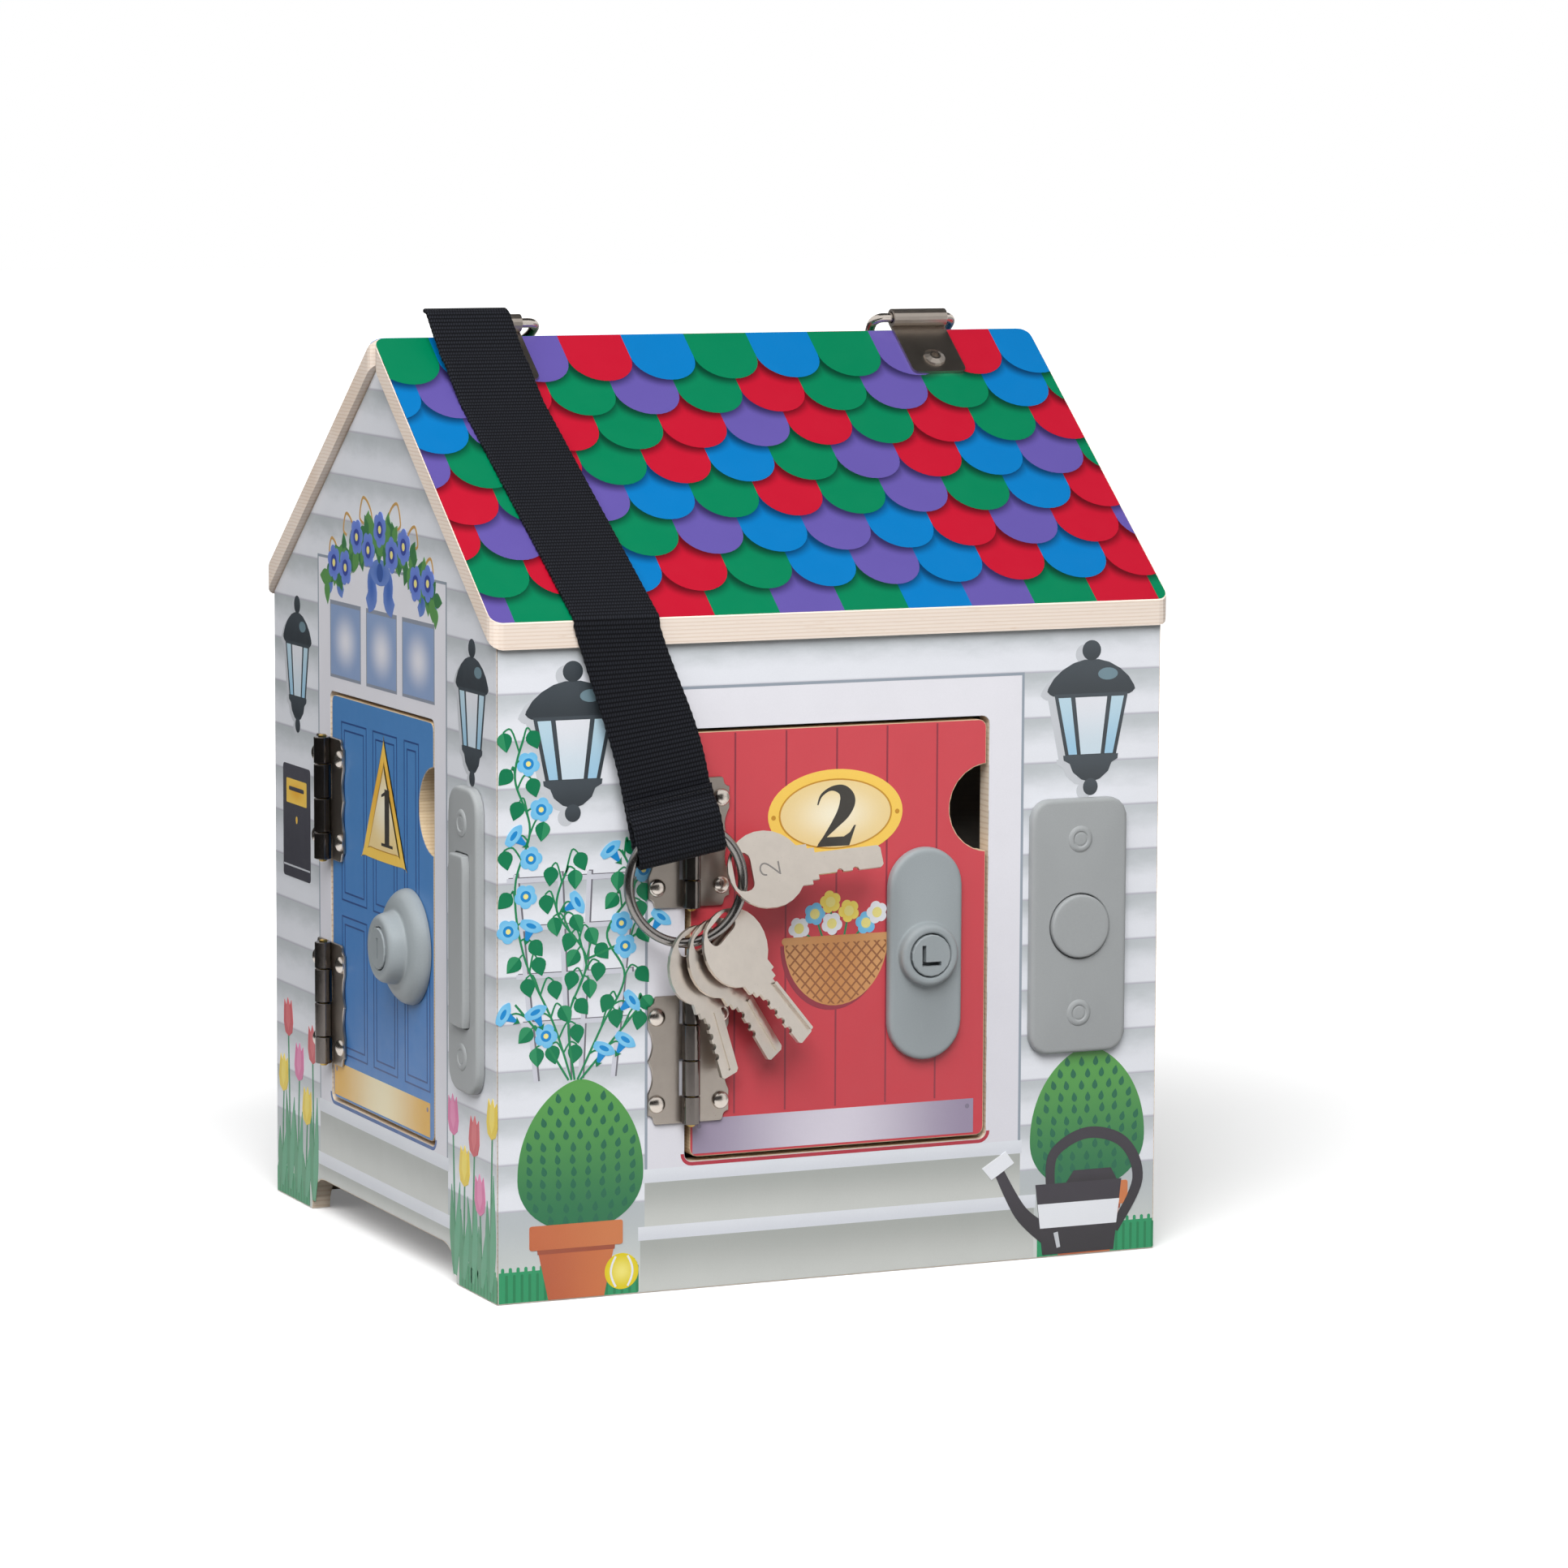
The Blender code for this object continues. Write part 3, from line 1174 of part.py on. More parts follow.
def build_shell(house, materials):
    for side, name in ((-1, "roof_front_panel"), (1, "roof_back_panel")):
        add_piece(name, roof_panel(side), materials["roof_print"], house)
    room_x = HOUSE_WIDTH / 2 - PLY - SEAT_GAP
    room_y = HOUSE_DEPTH / 2 - PLY - SEAT_GAP
    plate = [(-room_x, -room_y), (room_x, -room_y), (room_x, room_y), (-room_x, room_y)]
    floor = lofted([(plate, FLOOR_TOP - PLY), (plate, FLOOR_TOP)], upright)
    add_piece("floor_panel", floor, materials["plywood"], house)
    ceiling = lofted([(plate, CEILING_BOTTOM), (plate, CEILING_BOTTOM + CEILING_THICKNESS)], upright)
    add_piece("ceiling_panel", ceiling, materials["plywood"], house)
    diagonal = math.atan2(room_y, room_x)
    half_length = math.hypot(room_x, room_y) - DIVIDER_THICKNESS / 2 / math.tan(diagonal) - SEAT_GAP
    for hand, name in ((1, "room_divider_a"), (-1, "room_divider_b")):
        mesh = divider_mesh(hand, half_length, FLOOR_TOP + SEAT_GAP, CEILING_BOTTOM - SEAT_GAP)
        mesh.transform(Matrix.Rotation(hand * diagonal, 4, "Z"))
        add_piece(name, mesh, materials["plywood"], house)


def build_sound_unit(house, materials):
    top = FLOOR_TOP - PLY - SEAT_GAP
    bottom = top - SOUND_BOX_HEIGHT
    add_piece("sound_box", sound_box_mesh(top), materials["grey_plastic"], house)
    add_piece("battery_cover", battery_cover_mesh(bottom), materials["grey_plastic"], house)
    add_piece("battery_cover_screw", cover_screw_mesh(bottom), materials["nickel"], house)


def build_door(house, number, door, leaf_meshes, materials):
    place = Matrix.Rotation(door["turn"], 4, "Z") @ Matrix.Translation((0.0, -door["reach"], 0.0))
    side = add_empty(f"side_{number}", house, place)
    wall_mesh = gable_wall(door) if abs(math.sin(door["turn"])) > 0.5 else eave_wall(door)
    add_piece(door["wall"], wall_mesh, materials["wall_print"], side)

    axis = Vector((hinge_axis_x(door["opening"]), -HINGE_AXIS_OUT, 0.0))
    lock_centre = (door_span(door["opening"])[1] - door["lock_inset"], LOCK_HEIGHT)
    paint = make_material(f"door_{number}_paint", door["colour"], 0.45)
    add_piece(f"door_{number}", door_mesh(door), paint, side, axis)
    add_piece(f"lock_plate_{number}", lock_plate(door, lock_centre), materials["grey_plastic"], side, axis)
    for level, height in (("lower", LOWER_HINGE_HEIGHT), ("upper", UPPER_HINGE_HEIGHT)):
        spot = Matrix.Translation(axis + Vector((0.0, 0.0, height)))
        for kind, mesh in leaf_meshes.items():
            name = f"hinge_{number}_{level}_{kind}_leaf"
            add_piece(name, mesh, materials["nickel"], side, turn=spot)

    lock_axis = (lock_centre[0], 0.0, lock_centre[1])
    plug = lock_cylinder(door, lock_centre)
    add_piece(f"lock_cylinder_{number}", plug, materials["grey_plastic"], side, lock_axis)
    bell_axis = (door["bell_x"], 0.0, door["bell_z"])
    add_piece(f"bell_plate_{number}", bell_plate(door), materials["grey_plastic"], side)
    add_piece(f"bell_button_{number}", bell_button(door), materials["grey_plastic"], side, bell_axis)


def build_ridge_fittings(house, materials):
    bracket = bracket_mesh()
    fittings = (("left", -1, STRAP_D_HEIGHT), ("right", 1, D_WIRE_RADIUS + SEAT_GAP))
    for name, hand, height in fittings:
        bracket_spot = Matrix.Translation((hand * BRACKET_X, 0.0, 0.0))
        add_piece(f"ridge_bracket_{name}", bracket, materials["nickel"], house, turn=bracket_spot)
        ring_spot = Matrix.Translation((hand * (BRACKET_X - D_SHIFT), *CURL_CENTRE))
        ring = d_ring_mesh(d_ring_lie(height))
        add_piece(f"d_ring_{name}", ring, materials["nickel"], house, turn=ring_spot)


def build_strap_and_keys(house, materials):
    add_piece("strap_roof", strap_roof_mesh(), materials["webbing"], house)
    tail_out = EAVE_OVERHANG + SEAT_GAP + STRAP_THICKNESS
    pivot = (STRAP_EAVE_X, -HOUSE_DEPTH / 2 - tail_out, TAIL_TOP)
    add_piece("strap_tail", strap_tail_mesh(), materials["webbing"], house, pivot)
    ring_frame = add_empty("key_ring_frame", house, ring_place())
    add_piece("key_ring", key_ring_mesh(), materials["steel"], ring_frame)
    for number, key in KEYS.items():
        add_piece(f"key_{number}", key_mesh(key), materials["nickel"], ring_frame, turn=key_place(key))


def main():
    for thing in list(bpy.data.objects):
        bpy.data.objects.remove(thing, do_unlink=True)
    materials = {
        "wall_print": make_material("wall_print", (0.78, 0.80, 0.82), 0.5),
        "roof_print": make_material("roof_print", (0.05, 0.25, 0.65), 0.35),
        "plywood": make_material("plywood", (0.72, 0.56, 0.38), 0.65),
        "grey_plastic": make_material("grey_plastic", (0.36, 0.38, 0.39), 0.35),
        "nickel": make_material("nickel", (0.62, 0.60, 0.56), 0.25, 1.0),
        "steel": make_material("steel", (0.45, 0.45, 0.45), 0.3, 1.0),
        "webbing": make_material("webbing", (0.012, 0.012, 0.014), 0.8),
    }
    # The house is drawn about its own middle, half a wall's depth behind the origin.
    house = add_empty("house", None, Matrix.Translation((0.0, HOUSE_DEPTH / 2 - PLY / 2, 0.0)))
    build_shell(house, materials)
    build_sound_unit(house, materials)
    leaf_meshes = {"wall": hinge_leaf(0, -1), "door": hinge_leaf(1, 1)}
    for number, door in DOORS.items():
        build_door(house, number, door, leaf_meshes, materials)
    build_ridge_fittings(house, materials)
    build_strap_and_keys(house, materials)
    bpy.context.view_layer.update()


main()
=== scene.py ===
import random
from math import acos, asin, atan2, cos, dist, hypot, pi, radians, sin, tan, tau

import bmesh
import bpy
from mathutils import Matrix, Vector
from mathutils.geometry import tessellate_polygon
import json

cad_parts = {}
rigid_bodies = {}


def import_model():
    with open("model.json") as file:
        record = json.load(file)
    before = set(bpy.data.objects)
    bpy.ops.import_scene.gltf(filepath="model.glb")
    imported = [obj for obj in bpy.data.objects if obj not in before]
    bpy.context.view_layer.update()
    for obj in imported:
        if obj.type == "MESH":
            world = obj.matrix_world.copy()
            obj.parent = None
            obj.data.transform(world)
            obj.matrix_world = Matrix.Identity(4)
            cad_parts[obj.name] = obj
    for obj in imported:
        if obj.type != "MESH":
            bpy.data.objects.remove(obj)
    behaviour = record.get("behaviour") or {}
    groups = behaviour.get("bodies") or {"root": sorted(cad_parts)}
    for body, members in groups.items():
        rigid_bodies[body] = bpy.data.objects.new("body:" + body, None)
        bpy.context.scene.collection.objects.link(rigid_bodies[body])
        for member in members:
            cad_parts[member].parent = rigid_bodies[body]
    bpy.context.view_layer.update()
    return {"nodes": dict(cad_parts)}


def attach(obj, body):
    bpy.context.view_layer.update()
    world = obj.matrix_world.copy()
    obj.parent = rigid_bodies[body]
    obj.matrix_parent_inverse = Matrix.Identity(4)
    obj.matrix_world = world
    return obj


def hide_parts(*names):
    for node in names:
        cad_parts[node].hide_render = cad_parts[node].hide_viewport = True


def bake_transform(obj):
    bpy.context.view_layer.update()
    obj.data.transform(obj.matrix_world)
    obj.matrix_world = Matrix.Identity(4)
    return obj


for thing in list(bpy.data.objects):
    bpy.data.objects.remove(thing)
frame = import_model()
nodes = frame["nodes"]
print("frame:", len(nodes), "nodes")

mm = 0.001
house = {
    "middle": Vector((0.0, 0.1001, 0.0)),  # floor-plan centre
    "width": 232.0, "depth": 206.5, "ridge": 298.3, "eave": 214.5, "ply": 6.3, "overhang": 2.0,
}
middle = house["middle"]
slope = atan2(house["ridge"] - house["eave"], house["depth"] / 2 + house["overhang"])
gableWall = {"reach": house["width"] / 2, "half": house["depth"] / 2, "opening": 97.0, "gable": True}
eaveWall = {"reach": house["depth"] / 2, "half": house["width"] / 2, "opening": 106.6, "gable": False}
walls = {  # reach: how far the outer face is from the middle
    1: {"name": "left", "turn": -90, **gableWall}, 2: {"name": "front", "turn": 0, **eaveWall},
    3: {"name": "right", "turn": 90, **gableWall}, 4: {"name": "back", "turn": 180, **eaveWall},
}
sill, doorTop, shift = 41.0, 179.2, 0.9  # of every opening


# camera

photoCamera = {
    "place": (-0.77739392, -1.68099318, 0.38531004), "lens": 134.33, "sensor": 36.0, "nearest": 0.05,
    "yaw": 24.34488503, "pitch": 6.96801467, "roll": 0.27448325,
}


def addCamera(look):
    yaw, pitch, roll = (radians(look[key]) for key in ("yaw", "pitch", "roll"))
    forward = Vector((sin(yaw) * cos(pitch), cos(yaw) * cos(pitch), -sin(pitch)))
    right = Vector((cos(yaw), -sin(yaw), 0.0))
    up = right.cross(forward)
    right, up = right * cos(roll) + up * sin(roll), up * cos(roll) - right * sin(roll)
    camera = bpy.data.objects.new("photo_camera", bpy.data.cameras.new("photo_camera"))
    bpy.context.scene.collection.objects.link(camera)
    turned = Matrix((right, up, -forward)).transposed().to_4x4()
    camera.matrix_world = Matrix.Translation(look["place"]) @ turned
    camera.data.lens = look["lens"]
    camera.data.sensor_width = look["sensor"]
    camera.data.clip_start = look["nearest"]
    bpy.context.scene.camera = camera


addCamera(photoCamera)
print("camera set")


# shading

def colourOf(code):
    # a colour as printed, made linear
    parts = [int(code[place:place + 2], 16) / 255 for place in (1, 3, 5)]
    return (*[part / 12.92 if part <= 0.04045 else ((part + 0.055) / 1.055) ** 2.4 for part in parts], 1.0)


def setInputs(tree, node, values):
    # a socket is linked, and anything else becomes the input's own value
    for key, value in values.items():
        if isinstance(value, bpy.types.NodeSocket):
            tree.links.new(value, node.inputs[key])
        else:
            node.inputs[key].default_value = value


def newNode(tree, kind, inputs=None, **settings):
    node = tree.nodes.new("ShaderNode" + kind)
    for key, value in settings.items():
        setattr(node, key, value)
    setInputs(tree, node, inputs or {})
    return node


def reckon(tree, operation, *values, clamp=False):
    return newNode(tree, "Math", dict(enumerate(values)), operation=operation, use_clamp=clamp).outputs[0]


def times(tree, first, second):
    return reckon(tree, "MULTIPLY", first, second)


def scaled(tree, value, by, plus, clamp=False):
    return reckon(tree, "MULTIPLY_ADD", value, by, plus, clamp=clamp)


def sway(tree, value, reach, around, centre=0.5):
    # a pattern's swing about its centre, laid round another value
    return scaled(tree, reckon(tree, "SUBTRACT", value, centre), reach, around)


def offMiddle(tree, value):
    # how far a value from 0 to 1 is from its middle, as a share
    return reckon(tree, "ABSOLUTE", scaled(tree, value, 2.0, -1.0))


def reckonVector(tree, operation, first, second=(0.0, 0.0, 0.0)):
    node = newNode(tree, "VectorMath", {0: first, 1: second}, operation=operation)
    return node.outputs["Value" if operation == "LENGTH" else "Vector"]


def blendColour(tree, share, first, second, way="MIX"):
    node = newNode(tree, "Mix", {0: share, 6: first, 7: second}, data_type="RGBA", blend_type=way)
    return node.outputs[2]


def greyOf(tree, tone):
    return newNode(tree, "CombineColor", {0: tone, 1: tone, 2: tone}).outputs[0]


def toned(tree, colour, tone):
    return blendColour(tree, 1.0, colour, greyOf(tree, tone), "MULTIPLY")


def span(tree, value, low, high, toLow=0.0, toHigh=1.0):
    values = {0: value, 1: low, 2: high, 3: toLow, 4: toHigh}
    return newNode(tree, "MapRange", values, interpolation_type="SMOOTHSTEP").outputs[0]


def noise(tree, vector, scale, detail=3.0, roughness=0.5, stretch=None):
    if stretch:
        vector = reckonVector(tree, "MULTIPLY", vector, stretch)
    values = {"Vector": vector, "Scale": scale, "Detail": detail, "Roughness": roughness}
    return newNode(tree, "TexNoise", values).outputs["Fac"]


def partsOf(tree, vector):
    return newNode(tree, "SeparateXYZ", {0: vector}).outputs


def attributeOf(tree, name):
    return newNode(tree, "Attribute", attribute_name=name).outputs["Vector"]


def newGroup(name, *inputs):
    tree = bpy.data.node_groups.new(name, "ShaderNodeTree")
    for label, kind, value in (("Vector", "Vector", (0, 0, 0)), *inputs):
        socket = tree.interface.new_socket(name=label, in_out="INPUT", socket_type="NodeSocket" + kind)
        socket.default_value = value
    for label, kind in (("Colour", "Color"), ("Roughness", "Float"), ("Height", "Float")):
        tree.interface.new_socket(name=label, in_out="OUTPUT", socket_type="NodeSocket" + kind)
    given = tree.nodes.new("NodeGroupInput").outputs
    return tree, given, given["Vector"]


def fillGroup(tree, colour, roughness, height):
    values = {"Colour": colour, "Roughness": roughness, "Height": height}
    setInputs(tree, tree.nodes.new("NodeGroupOutput"), values)
    return tree


def makePaperGroup():
    # ink on laminated paper: fine print grain, soft mottling and a faint ripple
    tree, given, place = newGroup(
        "printedPaper", ("Ink", "Color", (0.8, 0.8, 0.8, 1)), ("Grain", "Float", 0.05), ("Gloss", "Float", 0.42),
    )
    dots = noise(tree, place, 2600.0, 1.0)
    mottle = noise(tree, place, 55.0, 3.0)
    rubbed = noise(tree, place, 120.0, 4.0, 0.6)
    tone = sway(tree, mottle, 0.07, sway(tree, dots, given["Grain"], 1.0))
    ripple = scaled(tree, rubbed, 0.6, times(tree, dots, 0.25))
    return fillGroup(tree, toned(tree, given["Ink"], tone), sway(tree, rubbed, 0.22, given["Gloss"]), ripple)


def makeWoodGroup():
    # pale softwood: long fibres, darker late-wood lines and small flecks
    tree, given, place = newGroup(
        "paleWood", ("Pale", "Color", (0.8, 0.7, 0.5, 1)), ("Dark", "Color", (0.5, 0.35, 0.2, 1)),
        ("Lines", "Float", 1.0),
    )
    warp = noise(tree, place, 22.0, 2.0)
    lines = newNode(tree, "TexWave", {
        "Vector": place, "Scale": 190.0, "Distortion": 2.4, "Detail": 3.0, "Detail Scale": 0.35,
        "Detail Roughness": 0.6, "Phase Offset": warp,
    }, wave_type="BANDS", bands_direction="Z").outputs["Fac"]
    fibre = noise(tree, place, 900.0, 4.0, 0.7)
    late = span(tree, lines, 0.55, 0.98)
    share = times(tree, times(tree, late, 0.42), given["Lines"])
    share = scaled(tree, span(tree, fibre, 0.56, 0.74), 0.3, share, True)
    share = scaled(tree, span(tree, warp, 0.35, 0.7), 0.22, share, True)
    return fillGroup(
        tree, blendColour(tree, share, given["Pale"], given["Dark"]), scaled(tree, fibre, 0.25, 0.5),
        scaled(tree, fibre, 0.6, times(tree, late, 0.4)),
    )


def makeMetalGroup():
    # plated sheet: fine tumbling marks, faint cloudy smudges and small dark pits
    tree, given, place = newGroup(
        "platedMetal", ("Metal", "Color", (0.6, 0.6, 0.6, 1)), ("Rough", "Float", 0.25), ("Marks", "Float", 0.1),
    )
    cloud = noise(tree, place, 160.0, 4.0, 0.6)
    marks = noise(tree, place, 1500.0, 2.0, 0.5, (1.0, 1.0, 0.25))
    pits = span(tree, noise(tree, place, 2100.0, 1.0), 0.74, 0.8)
    tone = reckon(tree, "SUBTRACT", sway(tree, cloud, 0.22, 1.0), times(tree, pits, 0.3))
    rough = scaled(tree, cloud, 0.08, sway(tree, marks, given["Marks"], given["Rough"], 0.4))
    return fillGroup(tree, toned(tree, given["Metal"], tone), rough, reckon(tree, "SUBTRACT", marks, pits))


def makePlasticGroup():
    # moulded plastic with a fine spark-eroded skin, flow mottling and handling marks
    tree, given, place = newGroup(
        "mouldedPlastic", ("Plastic", "Color", (0.3, 0.3, 0.3, 1)), ("Rough", "Float", 0.36),
    )
    flow = noise(tree, place, 42.0, 3.0, 0.5, (1.0, 1.0, 0.45))
    skin = noise(tree, place, 1900.0, 2.0)
    scuff = span(tree, noise(tree, place, 260.0, 5.0, 0.7, (1.0, 1.0, 0.3)), 0.62, 0.78)
    tone = scaled(tree, scuff, 0.06, sway(tree, flow, 0.12, 1.0))
    rough = scaled(tree, scuff, 0.16, given["Rough"])
    return fillGroup(
        tree, toned(tree, given["Plastic"], sway(tree, skin, 0.1, tone)),
        scaled(tree, skin, 0.1, rough), skin,
    )


def makeWebGroup():
    # woven webbing: rows of slanting floats across the strap, from (along, across) in metres, with painted shade
    # between the floats and a painted highlight on their tops
    tree, given, place = newGroup(
        "webbingWeave", ("Yarn", "Color", (0.02, 0.02, 0.02, 1)), ("Rib", "Float", 0.00145),
    )
    yarnWidth, slant = 0.0009, 0.35
    parts = partsOf(tree, place)
    row = reckon(tree, "DIVIDE", parts["X"], given["Rib"])
    lean = times(tree, reckon(tree, "MODULO", reckon(tree, "FLOOR", row), 2.0), 0.5)
    column = reckon(tree, "DIVIDE", parts["Y"], yarnWidth)
    column = reckon(tree, "ADD", column, scaled(tree, row, slant, lean))
    inRow, inColumn = (offMiddle(tree, reckon(tree, "FRACT", value)) for value in (row, column))
    bulge = reckon(tree, "SUBTRACT", 1.0, reckon(tree, "POWER", inRow, 2.0))
    across = reckon(tree, "SUBTRACT", 1.0, reckon(tree, "POWER", inColumn, 3.0))
    height = times(tree, bulge, across)
    fuzz = noise(tree, place, 2400.0, 2.0)
    # the yarn painted darker in the gaps between floats and lighter on their raised tops: painted shade and painted
    # highlight
    tone = scaled(tree, height, 2.3, 0.1)
    tone = times(tree, tone, scaled(tree, fuzz, 0.9, 0.55))
    return fillGroup(
        tree, toned(tree, given["Yarn"], tone), scaled(tree, height, -0.25, 0.85),
        scaled(tree, fuzz, 0.2, height),
    )


groups = {
    "paper": makePaperGroup(), "wood": makeWoodGroup(), "metal": makeMetalGroup(),
    "plastic": makePlasticGroup(), "web": makeWebGroup(),
}
bumps = {  # how strong and how deep, in metres
    "paper": (0.12, 0.00004), "tile": (0.1, 0.00004), "wood": (0.25, 0.00008), "metal": (0.05, 0.00003),
    "plastic": (0.12, 0.00004), "web": (0.55, 0.00018),
}
laminate = {"Coat Weight": 0.12, "Coat Roughness": 0.22}


def newMaterial(name):
    material = bpy.data.materials.new(name)
    material.use_nodes = True
    tree = material.node_tree
    return material, tree, tree.nodes["Principled BSDF"]


def objectPlace(tree):
    return newNode(tree, "TexCoord").outputs["Object"]


def useGroup(tree, shader, kind, values, bump=None):
    if "Vector" not in values:
        values["Vector"] = objectPlace(tree)
    made = newNode(tree, "Group", values, node_tree=groups[kind]).outputs
    strength, depth = bumps[bump or kind]
    bumped = newNode(tree, "Bump", {"Strength": strength, "Distance": depth, "Height": made["Height"]})
    links = {"Base Color": made["Colour"], "Roughness": made["Roughness"], "Normal": bumped.outputs[0]}
    setInputs(tree, shader, links)


def inkMaterial(name, low, high=None, way="up"):
    # a flat printed colour, or a blend up, across or out from the middle of each shape
    material, tree, shader = newMaterial(name)
    ink = colourOf(low)
    if high:
        spot = attributeOf(tree, "inkSpot")
        parts = partsOf(tree, spot)
        if way == "out":
            off = reckonVector(tree, "SUBTRACT", spot, (0.5, 0.5, 0.0))
            share = reckonVector(tree, "LENGTH", reckonVector(tree, "MULTIPLY", off, (2.0, 2.0, 0.0)))
        elif way == "middle":
            share = offMiddle(tree, parts["X"])
        else:
            share = parts["Y"] if way == "up" else parts["X"]
        ink = blendColour(tree, span(tree, share, 0.0, 1.0), colourOf(low), colourOf(high))
    useGroup(tree, shader, "paper", {"Ink": ink})
    setInputs(tree, shader, laminate)
    return material


def metalMaterial(name, code, rough, marks=0.1):
    material, tree, shader = newMaterial(name)
    useGroup(tree, shader, "metal", {"Metal": colourOf(code), "Rough": rough, "Marks": marks})
    setInputs(tree, shader, {"Metallic": 1.0})
    return material


def plasticMaterial(name, code, rough):
    material, tree, shader = newMaterial(name)
    useGroup(tree, shader, "plastic", {"Plastic": colourOf(code), "Rough": rough})
    return material


def woodMaterial(name, pale, dark, stretch, lines=1.0):
    # stretch draws the grain out along one axis
    material, tree, shader = newMaterial(name)
    place = reckonVector(tree, "MULTIPLY", objectPlace(tree), stretch)
    useGroup(tree, shader, "wood", {"Vector": place, "Pale": colourOf(pale), "Dark": colourOf(dark), "Lines": lines})
    return material


def sidingMaterial(name, rows):
    # clapboards as printed: each board is grey under the lap above it and pale at its own lower edge
    material, tree, shader = newMaterial(name)
    pale, grey, dark, base = (colourOf(rows[key]) for key in ("pale", "grey", "line", "base"))
    foot, edge = rows["foot"], 0.0002
    place = objectPlace(tree)
    height = partsOf(tree, place)["Z"]
    within = reckon(tree, "FRACT", reckon(tree, "DIVIDE", reckon(tree, "SUBTRACT", height, foot), rows["pitch"]))
    streak = noise(tree, place, 95.0, 4.0, 0.6, (1.0, 1.0, 2.6))
    drift = noise(tree, place, 11.0, 2.0)
    lap = span(tree, sway(tree, streak, 0.4, within), 0.28, 1.02)
    lap = times(tree, lap, scaled(tree, drift, 0.9, 0.45, True))
    line = times(tree, span(tree, within, 0.0, 0.07, 1.0, 0.0), 0.75)
    ink = blendColour(tree, line, blendColour(tree, lap, pale, grey), dark)
    below = blendColour(tree, span(tree, height, 0.0, foot), base, grey)
    ink = blendColour(tree, span(tree, height, foot - edge, foot + edge, 1.0, 0.0), ink, below)
    useGroup(tree, shader, "paper", {"Vector": place, "Ink": ink})
    setInputs(tree, shader, laminate)
    return material


def tileMaterial(name, look):
    # one printed tile: its own colour, and the soft shade of the two tiles that lap over it
    material, tree, shader = newMaterial(name)
    spot = attributeOf(tree, "tileSpot")
    count = len(look["colours"])
    ramp = newNode(tree, "ValToRGB", {0: reckon(tree, "DIVIDE", partsOf(tree, spot)["Z"], float(count))})
    ramp.color_ramp.interpolation = "CONSTANT"
    stops = ramp.color_ramp.elements
    for index, code in enumerate(look["colours"]):
        stop = stops.new(index / count) if 0 < index < count - 1 else stops[0 if index == 0 else -1]
        stop.position = index / count
        stop.color = colourOf(code)
    shades = []
    radius = look["width"] / 2
    for hand in (-1, 1):
        off = reckonVector(tree, "SUBTRACT", spot, (hand * radius - look["cast"], look["pitch"] + radius, 0.0))
        away = reckonVector(tree, "LENGTH", reckonVector(tree, "MULTIPLY", off, (1.0, 1.0, 0.0)))
        shades.append(span(tree, away, radius - look["edge"], radius + look["reach"], 1.0, 0.0))
    shade = times(tree, reckon(tree, "MAXIMUM", *shades), look["depth"])
    dark = blendColour(tree, 1.0, ramp.outputs[0], colourOf(look["shade"]), "MULTIPLY")
    ink = blendColour(tree, shade, ramp.outputs[0], dark)
    useGroup(tree, shader, "paper", {"Ink": ink, "Grain": 0.06, "Gloss": 0.34}, "tile")
    setInputs(tree, shader, {"Coat Weight": 0.12, "Coat Roughness": 0.16})
    return material


def webbingMaterial(name, code):
    material, tree, shader = newMaterial(name)
    useGroup(tree, shader, "web", {"Vector": attributeOf(tree, "strapSpot"), "Yarn": colourOf(code)})
    setInputs(tree, shader, {"Specular IOR Level": 0.16, "Sheen Weight": 0.01, "Sheen Roughness": 0.4})
    return material


